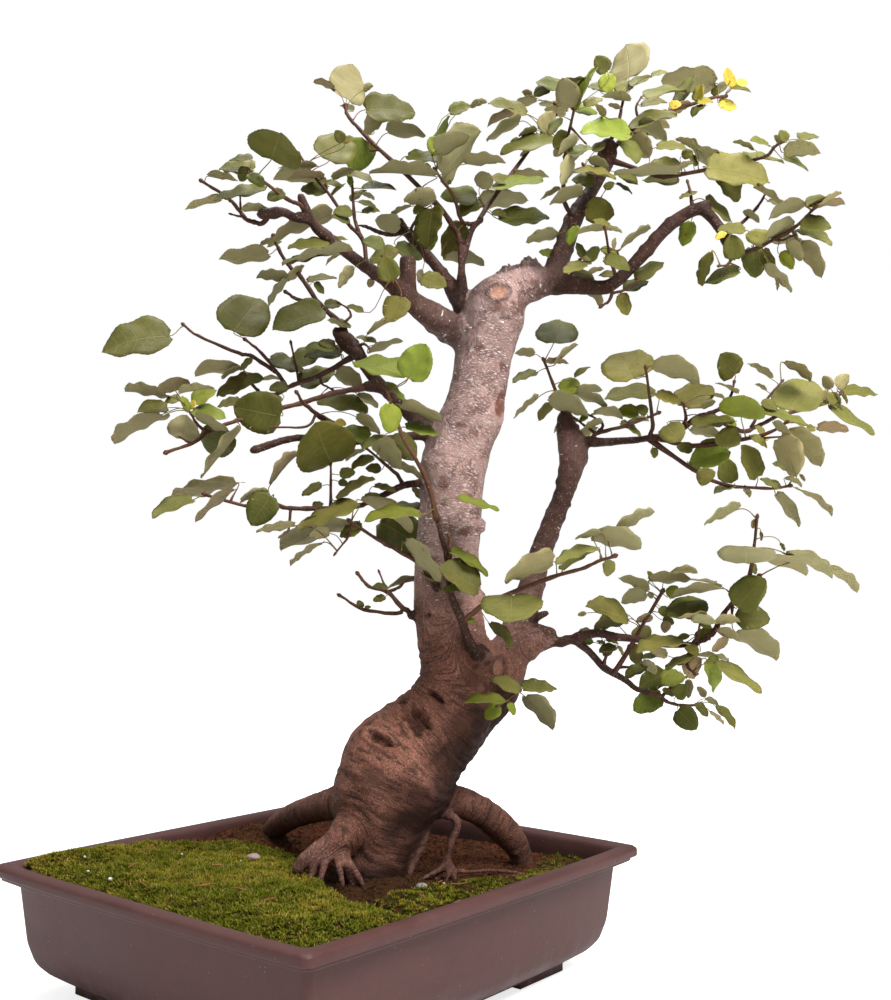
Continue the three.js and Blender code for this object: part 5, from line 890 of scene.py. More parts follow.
def bark_material(look):
    """Alder bark: smooth and mauve grey high up, brown and finely wrinkled at the foot, with painted shade in
    its creases and on its undersides.
    """
    made, sheet, surface = new_material("bark", 0.55, 0.16)
    at = sheet.place()
    grain = sheet.read("grain", "Vector")
    low = sheet.read("low")
    thin = sheet.read("thin")
    patch = sheet.mottle(at, 22.0, 1.2)
    wide = sheet.mottle(at, 6.0, 1.0)
    upper = sheet.mix(patch["Mask"], rgba(look.upper, 0.86), rgba(look.upper, 1.34))
    blotch = sheet.mottle(at, 62.0, 1.9)
    stained = sheet.times(sheet.fade(blotch["Mask"], 0.62, 0.95), 0.6)
    upper = sheet.mix(stained, upper, rgba(look.blotch))
    foot = sheet.mix(patch["Mask"], rgba(look.foot, 0.62), rgba(look.foot))
    foot = sheet.mix(wide["Mask"], foot, rgba(look.rust))
    colour = sheet.mix(low, upper, foot)
    limb = sheet.mix(patch["Mask"], rgba(look.limb), rgba(look.limb, 1.9))
    colour = sheet.mix(thin, colour, limb)
    rings = sheet.noise(sheet.stretched(grain, (0.06, 0.06, 0.55)), 1.0, 5.0, 0.7, 0.3)
    crease = sheet.fade(rings, 0.36, 0.56)
    # Painted shade in the creases of the wrinkles, strongest at the foot
    dark = sheet.mix(0.85, colour, rgba(BARK_CREASE_SHADE))
    lines = sheet.times(sheet.fade(crease, 1.0, 0.0), sheet.fade(low, 0.0, 1.0, 0.22, 0.85))
    colour = sheet.mix(lines, colour, dark)
    crumb = sheet.noise(at, 620.0, 3.0, 0.75)
    # Painted shade in the pits of the skin, most at the foot
    pit_shade = sheet.times(sheet.fade(crumb, 0.54, 0.38), sheet.fade(low, 0.0, 0.6, 0.12, 0.55))
    colour = sheet.mix(pit_shade, colour, dark)
    chaff = sheet.times(sheet.fade(crumb, 0.56, 0.70), sheet.fade(low, 0.0, 0.6, 0.05, 0.26))
    colour = sheet.mix(chaff, colour, rgba(look.grit))
    # Pale flecks: the pores' own pale colour, raised to near white as painted glints
    flecks = sheet.noise(sheet.stretched(grain, (0.34, 0.34, 1.1)), 1.0, 3.0, 0.6)
    silver_and_glint = sheet.times(sheet.fade(flecks, 0.55, 0.64), sheet.fade(thin, 0.0, 0.8, 0.9, 0.04))
    silver_and_glint = sheet.times(silver_and_glint, sheet.fade(low, 0.0, 0.5, 0.55, 0.0))
    colour = sheet.mix(silver_and_glint, colour, rgba(look.silver_and_glint))
    grit = sheet.specks(at, 520.0, 0.42, 0.30)
    dusted = sheet.times(grit, sheet.fade(patch["Fine"], 0.35, 0.6))
    colour = sheet.coat(colour, look.grit, dusted, 0.6)
    # Painted shade on the undersides, near the soil and on the shaded right of the foot
    colour = sheet.coat(colour, look.bark_shade, sheet.read("damp"), 0.92)
    stain = sheet.times(sheet.read("stain"), sheet.fade(patch["Fine"], 0.3, 0.6, 0.35, 0.85))
    colour = sheet.mix(stain, colour, rgba(look.blotch))
    shadow = sheet.times(sheet.read("dark"), sheet.fade(crumb, 0.3, 0.6, 0.9, 0.55))
    colour = sheet.mix(shadow, colour, rgba(BARK_SHADOW))
    wound = sheet.times(sheet.read("wound"), sheet.fade(sheet.noise(at, 120.0), 0.25, 0.55))
    colour = sheet.coat(colour, look.wound, wound, 0.85)
    pale = sheet.fade(sheet.noise(at, 330.0, 3.0, 0.6), 0.4, 0.62, 0.6, 1.0)
    fresh = sheet.mix(pale, rgba(look.wound), rgba(look.cut))
    fresh = sheet.mix(sheet.fade(low, 0.0, 0.2, 0.0, 0.3), fresh, rgba(look.wound))
    colour = sheet.mix(sheet.read("cut"), colour, fresh)
    sheet.feed(surface["Base Color"], colour)
    worn = sheet.fade(patch["Fine"], 0.36, 0.62, 0.32, 0.56)
    sheen = sheet.maths("ADD", worn, sheet.fade(low, 0.0, 1.0, 0.0, 0.16))
    rough = sheet.maths("SUBTRACT", sheen, sheet.times(silver_and_glint, 0.14))
    sheet.feed(surface["Roughness"], rough)
    relief = sheet.bump(rings, 0.0018, None, 0.8)
    relief = sheet.bump(crumb, 0.0012, relief, 0.8)
    relief = sheet.bump(flecks, 0.0010, relief, 0.8)
    sheet.feed(surface["Normal"], sheet.bump(sheet.noise(at, 700.0, 3.0, 0.7), 0.0006, relief, 0.8))
    return made


def lenticel_material(look):
    """The raised pale pores across the bark, which shine a little, with painted glints in their near-white
    colour.
    """
    made, sheet, surface = new_material("lenticel", 0.42, 0.6)
    at = sheet.place()
    shade = sheet.read("shade")
    worn = sheet.noise(at, 260.0, 3.0, 0.6)
    # Near-white pores: their own pale colour and painted glints
    colour = sheet.mix(shade, rgba(look.silver_and_glint, 0.55), rgba(look.silver_and_glint))
    colour = sheet.mix(sheet.fade(worn, 0.4, 0.7, 0.0, 0.6), colour, rgba(look.upper))
    sheet.feed(surface["Base Color"], colour)
    sheet.feed(surface["Roughness"], sheet.fade(worn, 0.3, 0.7, 0.34, 0.55))
    sheet.feed(surface["Normal"], sheet.bump(worn, 0.0003))
    return made


def leaf_material(look):
    """A matte alder leaf: paler veins that fork from the midrib, and a dull underside."""
    made, sheet, surface = new_material("leaf_blade", 0.55, 0.12)
    at = sheet.place()
    across, along, under = (sheet.split(sheet.read("vein", "Vector"))[k] for k in "XYZ")
    out = sheet.maths("ABSOLUTE", across)
    midrib = sheet.fade(out, 0.040, 0.012)
    order = sheet.maths("FRACT", sheet.times(along, float(VEINS)))
    aside = sheet.maths("ABSOLUTE", sheet.maths("SUBTRACT", order, 0.5))
    lateral = sheet.times(sheet.fade(aside, 0.06, 0.02, 0.0, 0.5), sheet.fade(out, 1.0, 0.6))
    mesh = sheet.node("ShaderNodeTexVoronoi", {"Vector": at, "Scale": 460.0}, feature="DISTANCE_TO_EDGE")
    net = sheet.fade(mesh.outputs["Distance"], 0.09, 0.0)
    veins = sheet.maths("MAXIMUM", midrib, lateral)
    tint = sheet.read("tint", "Color")
    patch = sheet.mottle(at, 38.0, 1.1)
    top = sheet.mix(patch["Mask"], tint, sheet.mix(1.0, tint, rgba(LEAF_DUSK), "MULTIPLY"))
    top = sheet.coat(top, look.vein, veins, 0.28)
    below = sheet.mix(patch["Mask"], rgba(look.underside), rgba(look.underside, 0.8))
    below = sheet.mix(sheet.times(veins, 0.4), below, rgba(look.underside, 1.35))
    below = sheet.mix(0.45, below, tint)
    colour = sheet.mix(under, top, below)
    spots = sheet.specks(at, 150.0, 0.05, 0.28)
    colour = sheet.coat(colour, LEAF_SPOT, spots, 0.6)
    edge = sheet.times(sheet.fade(out, 0.95, 1.0), sheet.fade(patch["Fine"], 0.45, 0.6))
    colour = sheet.coat(colour, LEAF_MARGIN, edge, 0.45)
    sheet.feed(surface["Base Color"], colour)
    rough = sheet.fade(patch["Mask"], 0.0, 1.0, 0.46, 0.60)
    sheet.feed(surface["Roughness"], sheet.maths("ADD", rough, sheet.times(under, 0.25)))
    relief = sheet.bump(veins, 0.0004, None, 0.7)
    sheet.feed(surface["Normal"], sheet.bump(net, 0.00007, relief, 0.5))
    return made


def twig_material(look):
    """Young wood and leaf stalks, in the tint each was given, with small pale pores."""
    made, sheet, surface = new_material("twig_bark", 0.5, 0.16)
    at = sheet.place()
    tint = sheet.read("tint", "Color")
    patch = sheet.mottle(at, 60.0, 1.2)
    colour = sheet.mix(patch["Mask"], tint, sheet.mix(1.0, tint, rgba(TWIG_DUSK), "MULTIPLY"))
    pores = sheet.specks(at, 330.0, 0.3, 0.24)
    colour = sheet.coat(colour, look.pores, sheet.times(pores, 0.7), sheet.read("wood"))
    sheet.feed(surface["Base Color"], colour)
    sheet.feed(surface["Roughness"], sheet.fade(patch["Fine"], 0.3, 0.7, 0.4, 0.62))
    relief = sheet.bump(pores, 0.0003)
    sheet.feed(surface["Normal"], sheet.bump(patch["Fine"], 0.0005, relief))
    return made


def litter_material(name, colour, rough, grain):
    """Stones, perlite and dry needles: one tint, mottled and pitted."""
    made, sheet, surface = new_material(name, rough, 0.35)
    at = sheet.place()
    patch = sheet.mottle(at, grain, 1.3)
    dusk = sheet.mix(patch["Mask"], rgba(colour, 0.55), rgba(colour))
    grit = sheet.specks(at, grain * 6, 0.2, 0.3)
    dusk = sheet.mix(sheet.times(grit, 0.4), dusk, rgba(colour, 0.3))
    sheet.feed(surface["Base Color"], dusk)
    sheet.feed(surface["Normal"], sheet.bump(patch["Fine"], 0.0006))
    return made


def rounded(profile, radius, steps):
    """A bent line of (inset, height) with its corners cut into short arcs."""
    rows = [np.array(profile[0], float)]
    for before, corner, after in zip(profile, profile[1:], profile[2:]):
        before, corner, after = (np.array(p, float) for p in (before, corner, after))
        back, on = before - corner, after - corner
        reach = min(radius, 0.45 * np.linalg.norm(back), 0.45 * np.linalg.norm(on))
        start, end = corner + unit(back) * reach, corner + unit(on) * reach
        for k in range(steps + 1):
            t = k / steps
            rows.append(start * (1 - t) ** 2 + 2 * corner * t * (1 - t) + end * t * t)
    rows.append(np.array(profile[-1], float))
    return rows


def side_bow(t):
    """How far the middle of a side of the pot bows out, for t from 0 to 1 along the side."""
    return 0.84 * POT["bow"] * (1 - (2 * t - 1) ** 4)


def pot_ring(inset, z, corner_steps, side_steps):
    """One closed row of points round the pot, with round corners and bowed sides."""
    hx, hy, r = POT["length"] / 2 - inset, POT["width"] / 2 - inset, POT["corner"]
    corners = [(hx, hy), (-hx, hy), (-hx, -hy), (hx, -hy)]
    ring = []
    for i, (cx, cy) in enumerate(corners):
        sx, sy = math.copysign(1, cx), math.copysign(1, cy)
        for k in range(corner_steps + 1):
            a = (i + k / corner_steps) * math.pi / 2
            ring.append((cx - sx * r + r * math.cos(a), cy - sy * r + r * math.sin(a), z))
        fx, fy, _ = ring[-1]
        nx, ny = corners[(i + 1) % 4]
        for k in range(1, side_steps):
            t = k / side_steps
            if i % 2 == 0:
                ring.append((fx + (nx - math.copysign(r, nx) - fx) * t, fy + sy * side_bow(t), z))
            else:
                ring.append((fx + sx * side_bow(t), fy + (ny - math.copysign(r, ny) - fy) * t, z))
    return ring


def in_frame(points):
    """Points in the pot's own x and y, moved to the row frame."""
    return np.asarray(points, float) + (MID[0], MID[1], 0)


def foot_outline(sx, sy):
    """The corner foot as the outline of an L, in the pot's own x and y."""
    x, y = POT["length"] / 2 - FOOT["inset"], POT["width"] / 2 - FOOT["inset"]
    arm, thick = FOOT["arm"], FOOT["thick"]
    plan = [(x, y), (x - arm, y), (x - arm, y - thick), (x - thick, y - thick),
            (x - thick, y - arm), (x, y - arm)]
    turned_plan = [(px * sx, py * sy) for px, py in plan]
    return turned_plan if sx * sy > 0 else turned_plan[::-1]


def grow_feet(shape):
    """The four feet, softened at the ground and let a little way into the pot's underside."""
    soften = 0.8
    top = FOOT["height"] + 1.5
    for sx in (-1, 1):
        for sy in (-1, 1):
            plan = np.array(foot_outline(sx, sy))
            before, after = np.roll(plan, 1, axis=0), np.roll(plan, -1, axis=0)
            into = (plan - before) / np.linalg.norm(plan - before, axis=1, keepdims=True)
            onto = (after - plan) / np.linalg.norm(after - plan, axis=1, keepdims=True)
            inward = np.stack((-into[:, 1] - onto[:, 1], into[:, 0] + onto[:, 0]), axis=1)
            rings = []
            for shrink, z in ((soften, 0), (0.2, 0.25), (0, soften), (0, top)):
                flat = plan + inward * shrink
                rings += [(px, py, z) for px, py in flat]
            shape.add(in_frame(rings), loft_faces(4, len(plan)), inner=0.0)


def make_pot(look):
    """The pot as one shell up the outside and down the inside, and its four feet."""
    corner_steps, side_steps = 8, 12
    outside = rounded(POT_OUTSIDE, EDGE_ROUND, 4)
    inside = rounded([POT_OUTSIDE[-1]] + POT_INSIDE, EDGE_ROUND, 4)[1:]
    rows = [pot_ring(inset, z, corner_steps, side_steps) for inset, z in outside + inside]
    points = in_frame([p for row in rows for p in row])
    inner = np.zeros(len(points))
    around = len(rows[0])
    lined = ramp(-points[:, 2], 6 - POT["height"], 15 - POT["height"])
    inner[len(outside) * around:] = lined[len(outside) * around:]
    shape = Shape("inner")
    shape.add(points, loft_faces(len(rows), around), inner=inner)
    grow_feet(shape)
    made = new_object("pot_shell", shape.mesh("pot_shell"))
    place(made, pot_material(look), ["pot"])
    with_flat_caps(made)


def with_flat_caps(made):
    """The large flat faces of a piece are shaded flat, so that they don't darken towards their edges."""
    for face in made.data.polygons:
        if len(face.vertices) > 4:
            face.use_smooth = False


def soil_height(x, y):
    """The soil's height: a rise to the left, a mound at the far wall and one at the trunk's foot."""
    left = ramp(-x, -40, 160)
    mound = 9 * np.exp(-(((x - 60) / 60) ** 2) - ((y - 140) / 36) ** 2)
    foot = 6.5 * np.exp(-((x - 6) ** 2 + (y + 60) ** 2) / 900)
    behind = 7 * ramp(y, 105, 160) * (1 - ramp(x, 30, 130))
    return 87.5 + 7.5 * left + mound + foot + behind + 1.2 * np.sin(x / 17 + 1) * np.sin(y / 15)


def moss_height(x, y):
    """The moss stands thick on the left and thin towards the right and the walls."""
    full = ramp(-x, -60, 120)
    edge = np.minimum(1, np.minimum((190 - np.abs(x)) / 30, (175 - np.abs(y)) / 30))
    lumps = 1.6 * np.sin(x / 9 + y / 23) * np.cos(y / 11 - x / 31)
    return soil_height(x, y) + 3.2 + (10 * full + lumps) * np.maximum(0.25, edge)


def ground_spots(u, v, inset):
    """Places inside the pot's wall for u and v from -1 to 1, with its corners and bowed sides."""
    hx, hy, r = POT["length"] / 2 - inset, POT["width"] / 2 - inset, POT["corner"]
    x, y = u * hx, v * hy
    a, b = (np.abs(x) - hx + r) / r, (np.abs(y) - hy + r) / r
    corner = (a > 0) & (b > 0)
    ax = hx - r + r * a * np.sqrt(1 - np.clip(b, 0, 1) ** 2 / 2)
    by = hy - r + r * b * np.sqrt(1 - np.clip(a, 0, 1) ** 2 / 2)
    x = np.where(corner, np.sign(x) * ax, x)
    y = np.where(corner, np.sign(y) * by, y)
    return x + u * side_bow((v + 1) / 2), y + v * side_bow((u + 1) / 2)


def grid(columns, rows):
    """u and v of a square grid from -1 to 1, and its faces."""
    u, v = np.meshgrid(np.linspace(-1, 1, columns), np.linspace(-1, 1, rows))
    return u.ravel(), v.ravel(), grid_faces(columns, rows)


def rim_of(columns, rows):
    """The numbers of the points around the edge of a grid, counter-clockwise."""
    rim = list(range(columns))
    rim += [j * columns + columns - 1 for j in range(1, rows)]
    rim += [(rows - 1) * columns + i for i in range(columns - 2, -1, -1)]
    return rim + [j * columns for j in range(rows - 2, 0, -1)]


def inside_area(x, y, corners):
    """How far each place is inside a closed line of corners, below 0 outside it."""
    away = np.full(len(x), 1e9)
    inside = np.zeros(len(x), bool)
    for (ax, ay), (bx, by) in zip(corners, corners[1:] + corners[:1]):
        t = ((x - ax) * (bx - ax) + (y - ay) * (by - ay)) / ((bx - ax) ** 2 + (by - ay) ** 2)
        t = np.clip(t, 0, 1)
        away = np.minimum(away, np.hypot(x - ax - (bx - ax) * t, y - ay - (by - ay) * t))
        if ay != by:
            crossed = (ay > y) != (by > y)
            inside ^= crossed & (x < (bx - ax) * (y - ay) / (by - ay) + ax)
    return np.where(inside, away, -away)


def bare_soil(x, y):
    """1 where no moss covers the soil, 0 under the moss."""
    covered = np.maximum(*(inside_area(x, y, area) for area in MOSS_AREAS.values()))
    return 1 - ramp(covered, -3, 5)


# Points across and along the top of the soil and of the moss, how far each lies in from the
# outline of the pot, and the soil's way down the inner wall as (inset, height)
SOIL_GRID, MOSS_GRID = (118, 108), (104, 96)
SOIL_INSET, MOSS_INSET = 18.4, 18.3
SOIL_WALL = [(23.2, 43), (28.2, 28.4), (36.6, 19.5), (47.6, 15.4)]


def make_soil(look):
    """The soil as a closed block with an uneven top, and the crumbs on its bare part."""
    u, v, faces = grid(*SOIL_GRID)
    x, y = ground_spots(u, v, SOIL_INSET)
    flat = np.stack((x, y, np.zeros_like(x)), axis=1)
    edge = 1 - ramp(np.maximum(np.abs(u), np.abs(v)), 0.97, 1.0)
    crumbs = 1.5 * field(flat, 7.0, 3.0) + 1.0 * field(flat, 3.4, 9.0) + 1.6 * field(flat, 26.0)
    z = soil_height(x, y) + crumbs * edge
    top = np.stack((x, y, z), axis=1)
    rim = rim_of(*SOIL_GRID)
    points, count = [top], len(top)
    last = rim
    walls = []
    for inset, level in SOIL_WALL:
        rx, ry = ground_spots(u[rim], v[rim], inset)
        ring = np.stack((rx, ry, np.full(len(rim), float(level))), axis=1)
        points.append(ring)
        now = list(range(count, count + len(rim)))
        count += len(rim)
        for k in range(len(rim)):
            n = (k + 1) % len(rim)
            walls.append((last[n], last[k], now[k], now[n]))
        last = now
    walls.append(tuple(reversed(last)))
    mesh = new_mesh("soil_bed", in_frame(np.concatenate(points)), faces + walls)
    keep(mesh, "cover", np.concatenate((bare_soil(x, y), np.zeros(count - len(top)))))
    keep(mesh, "shade", np.zeros(count))
    made = new_object("soil_bed", mesh)
    finish = soil_material(look)
    crumb = new_object("crumb", lump_mesh("crumb", half=(1.0, 0.8, 0.62), rough=0.28, seed=5))
    strewn = scattered(made, "soil_crumbs", crumb, finish, look.crumbs,
                       sizes=(0.7, 2.4), lean=1.2, seed=11, sink=0.2)
    place(made, finish, ["soil"])
    with_flat_caps(made)
    place(strewn, None, [], False)


def lump_mesh(name, half, rough, seed):
    """A small uneven crumb with twenty faces and these half sizes."""
    corners, faces = ball(1)
    points = []
    for i, corner in enumerate(corners):
        grow = 1 + rough * (2 * draw(seed * 97 + i) - 1)
        points.append([c * h * grow for c, h in zip(corner, half)])
    return new_mesh(name, points, faces)


def scatter_tree():
    """Geometry nodes that strew a small shape over a surface, or add it to that surface."""
    tree = bpy.data.node_groups.new("Strew", "GeometryNodeTree")
    tree.is_modifier = True
    for name, kind, value in (
            ("Surface", "Geometry", None), ("Shape", "Object", None),
            ("Per Square Metre", "Float", 1000.0), ("Smallest", "Float", 1.0), ("Largest", "Float", 1.0),
            ("Lean", "Float", 0.3), ("Sink", "Float", 0.0), ("Follow Ring", "Bool", False),
            ("Keep Surface", "Bool", False), ("Seed", "Int", 0), ("Finish", "Material", None)):
        socket = tree.interface.new_socket(name=name, in_out="INPUT", socket_type="NodeSocket" + kind)
        if value is not None:
            socket.default_value = value
    tree.interface.new_socket(name="Strewn", in_out="OUTPUT", socket_type="NodeSocketGeometry")
    sheet = Sheet(tree)
    given = sheet.node("NodeGroupInput").outputs
    seed, lean = given["Seed"], given["Lean"]
    named, random = "GeometryNodeInputNamedAttribute", "FunctionNodeRandomValue"
    cover = sheet.node(named, {"Name": "cover"}, data_type="FLOAT").outputs[0]
    density = sheet.times(cover, given["Per Square Metre"])
    spread = sheet.node("GeometryNodeDistributePointsOnFaces",
                        {"Mesh": given["Surface"], "Density": density, "Seed": seed}).outputs
    ring = sheet.node(named, {"Name": "ring"}, data_type="FLOAT_VECTOR").outputs[0]
    along = sheet.node("FunctionNodeAlignRotationToVector",
                       {"Rotation": spread["Rotation"], "Vector": ring}, axis="X", pivot_axis="Z")
    back = sheet.times(lean, -1.0)
    low = sheet.node("ShaderNodeCombineXYZ", {"X": back, "Y": back}).outputs[0]
    high = sheet.node("ShaderNodeCombineXYZ", {"X": lean, "Y": lean, "Z": 2 * math.pi}).outputs[0]
    angles = sheet.node(random, {0: low, 1: high, "Seed": seed}, data_type="FLOAT_VECTOR")
    spin = sheet.node("FunctionNodeEulerToRotation", {"Euler": angles.outputs[0]}).outputs[0]
    free = sheet.node("FunctionNodeRotateRotation",
                      {"Rotation": spread["Rotation"], "Rotate By": spin}, rotation_space="LOCAL")
    pick = sheet.node("GeometryNodeSwitch",
                      {"Switch": given["Follow Ring"], "False": free.outputs[0], "True": along.outputs[0]},
                      input_type="ROTATION")
    size = sheet.node(random, {2: given["Smallest"], 3: given["Largest"],
                               "Seed": sheet.maths("ADD", seed, 1.0)}, data_type="FLOAT")
    shape = sheet.node("GeometryNodeObjectInfo", {"Object": given["Shape"], "As Instance": True})
    placed = sheet.node("GeometryNodeInstanceOnPoints", {
        "Points": spread["Points"], "Instance": shape.outputs["Geometry"],
        "Rotation": pick.outputs[0], "Scale": size.outputs[1]})
    down = sheet.node("ShaderNodeCombineXYZ", {"Z": sheet.times(given["Sink"], -1.0)}).outputs[0]
    sunk = sheet.node("GeometryNodeTranslateInstances",
                      {"Instances": placed.outputs[0], "Translation": down, "Local Space": True})
    shade = sheet.node(random, {"Seed": sheet.maths("ADD", seed, 2.0)})
    marked = sheet.node("GeometryNodeStoreNamedAttribute",
                        {"Geometry": sunk.outputs[0], "Name": "shade", "Value": shade.outputs[1]},
                        data_type="FLOAT", domain="INSTANCE")
    choose = sheet.node("GeometryNodeSwitch",
                        {"Switch": given["Keep Surface"], "True": given["Surface"]}, input_type="GEOMETRY")
    joined = sheet.node("GeometryNodeJoinGeometry")
    sheet.feed(joined.inputs[0], choose.outputs[0])
    sheet.feed(joined.inputs[0], marked.outputs[0])
    solid = sheet.node("GeometryNodeRealizeInstances", {"Geometry": joined.outputs[0]})
    coated = sheet.node("GeometryNodeSetMaterial",
                        {"Geometry": solid.outputs[0], "Material": given["Finish"]})
    sheet.feed(sheet.node("NodeGroupOutput").inputs[0], coated.outputs[0])
    return tree


def scattered(surface, name, shape, finish, density, sizes, lean, seed, sink=0.0, ring=False, joined=False):
    """A new object with the shape strewn over a surface, density pieces to the square metre."""
    tree = bpy.data.node_groups.get("Strew") or scatter_tree()
    made = new_object(name, surface.data.copy())
    modifier = made.modifiers.new("Strew", "NODES")
    modifier.node_group = tree
    values = {"Shape": shape, "Per Square Metre": float(density), "Smallest": sizes[0], "Largest": sizes[1],
              "Lean": lean, "Sink": sink * MM, "Follow Ring": ring, "Keep Surface": joined, "Seed": seed,
              "Finish": finish}
    for item in tree.interface.items_tree:
        if item.item_type == "SOCKET" and item.in_out == "INPUT" and item.name in values:
            modifier[item.identifier] = values[item.name]
    finished(made)
    bpy.data.objects.remove(shape)
    return made


def tuft_mesh():
    """One shoot of moss: a ring of pointed leaves around an upright one, each a closed spike."""
    around, tall, half_wide, apart = 5, 2.9, 0.75, 0.45
    shape = Shape("tip")
    for k in range(around + 1):
        spin = 2 * math.pi * k / around if k < around else 0.6
        lean = (0.55 + 0.35 * draw(k * 13 + 5)) if k < around else 0.1
        height = tall * (0.75 + 0.5 * draw(k * 7 + 2))
        across = np.array((math.cos(spin), math.sin(spin), 0))
        aside = np.array((-across[1], across[0], 0))
        root = across * apart
        tip = root + across * height * math.sin(lean) + np.array((0, 0, height * math.cos(lean)))
        base = [root + aside * half_wide, root - aside * half_wide,
                root + across * 0.65 + np.array((0, 0, 0.15))]
        shape.add([*base, tip], [(0, 1, 2), (1, 0, 3), (2, 1, 3), (0, 2, 3)], tip=[0.25, 0.25, 0.25, 1.0])
    return shape.mesh("tuft")


def slab(top, under, faces):
    """A closed sheet between two layers of the same points."""
    count = len(top)
    edges = {}
    for face in faces:
        for a, b in zip(face, face[1:] + face[:1]):
            edges[(a, b)] = True
    walls = [(b, a, a + count, b + count) for a, b in edges if (b, a) not in edges]
    below = [tuple(i + count for i in reversed(face)) for face in faces]
    return np.concatenate((top, under)), faces + below + walls


def make_moss(look):
    """Each area of moss as a lumpy closed sheet on the soil, with its shoots."""
    finish = moss_material(look)
    u, v, faces = grid(*MOSS_GRID)
    x, y = ground_spots(u, v, MOSS_INSET)
    flat = np.stack((x, y, np.zeros_like(x)), axis=1)
    wobble = 5.0 * field(flat, 13.0, 21.0) + 3.0 * field(flat, 5.0, 2.0)
    for name, area in MOSS_AREAS.items():
        depth = inside_area(x, y, area) + wobble
        near_wall = np.maximum(np.abs(u), np.abs(v)) > 0.9
        depth = np.where(near_wall & (depth > -12), depth + 9, depth)
        lumps = 2.0 * field(flat, 15.0, 4.0) + 1.3 * field(flat, 6.0, 7.0)
        low = soil_height(x, y) - 1.5
        full = moss_height(x, y) - 2.6 + lumps
        rise = ramp(depth, -1, 11)
        top = low + 1.2 + (full - low - 1.2) * rise
        used = [face for face in faces if all(depth[i] > 0 for i in face)]
        numbers = sorted({i for face in used for i in face})
        new = {old: k for k, old in enumerate(numbers)}
        used = [tuple(new[i] for i in face) for face in used]
        over = np.stack((x, y, top), axis=1)[numbers]
        below = np.stack((x, y, low), axis=1)[numbers]
        points, shell = slab(over, below, used)
        mesh = new_mesh(name + "_bed", in_frame(points), shell)
        count = len(numbers)
        dense = 1.0
        if name == "moss_strip":
            dense = 0.15 + 0.7 * ramp(field(flat[numbers], 16.0, 51.0), -0.1, 0.35)
        cover = np.concatenate(((0.3 + 0.7 * ramp(depth[numbers], 0, 12)) * dense, np.zeros(count)))
        # The bed shows mostly the painted shade between the shoots, least on the tops of the lumps
        thick = np.concatenate((0.15 + 0.2 * ramp(lumps[numbers], -1, 1.5), np.zeros(count)))
        keep(mesh, "cover", cover)
        keep(mesh, "tip", thick)
        keep(mesh, "shade", np.zeros(2 * count))
        bed = new_object(name + "_bed", mesh)
        tuft = new_object("tuft", tuft_mesh())
        grown = scattered(bed, name + "_growth", tuft, finish, look.shoots,
                          sizes=(0.75, 1.35), lean=0.45, seed=31, joined=True)
        bpy.data.objects.remove(bed)
        place(grown, None, [name], False)


def ground_level(x, y):
    """The height of the moss or the soil at a place in the pot's own x and y."""
    px, py = np.array([float(x)]), np.array([float(y)])
    deep = max(float(inside_area(px, py, area)[0]) for area in MOSS_AREAS.values())
    if deep > 8:
        return float(moss_height(px, py)[0]) - 0.3
    return float(soil_height(px, py)[0]) + 0.4


def limb_rows(rows, steps):
    """A limb as rows of x, y, z and radius in the row frame, on a smooth curve."""
    placed = [(*seen(x, z, y), r * far(y)) for x, z, y, r in rows]
    line = smoothed(placed, steps)
    line[:, 3] = np.maximum(line[:, 3], 1.0)
    return line


def sawn(name):
    """Whether a limb ends in a flat cut."""
    return name.endswith("_cut") or name.endswith("_stub")


def all_limbs(steps):
    """Every limb and piece of fine wood as name and rows."""
    limbs = [(name, limb_rows(rows, steps)) for name, rows in LIMBS.items()]
    return limbs + [("fine_%d" % i, limb_rows(rows, steps)) for i, rows in enumerate(FINE_WOOD)]


# The cell of the wood's skin, and the thinnest limb that it can hold
WOOD_VOXEL = 1.86
LEAST_LIMB = 1.7


def drawn_in(end, before, reach, share):
    """One more row beyond the end of a limb, reach radii away, with a share of its radius."""
    beyond = end.copy()
    run = end[:3] - before[:3]
    beyond[:3] += run / max(np.linalg.norm(run), 1e-6) * end[3] * reach
    beyond[3] *= share
    return beyond


def wood_skin(limbs):
    """One skin around all the limbs, by voxel remesh of their bars with rounded ends."""
    shape = Shape()
    for name, line in limbs:
        sides = 24 if line[:, 3].max() > 12 else 14
        thick = line.copy()
        thick[:, 3] = np.maximum(thick[:, 3], LEAST_LIMB)
        if not sawn(name):
            thick = np.vstack((thick, drawn_in(thick[-1], thick[-2], 0.7, 0.45)))
        thick = np.vstack((drawn_in(thick[0], thick[1], 0.75, 0.5), thick))
        shape.add(*tube(thick, sides))
    made = new_object("wood", shape.mesh("wood"))
    remesh = made.modifiers.new("Join", "REMESH")
    remesh.mode = "VOXEL"
    remesh.voxel_size = WOOD_VOXEL * MM
    remesh.adaptivity = 0
    return finished(made)


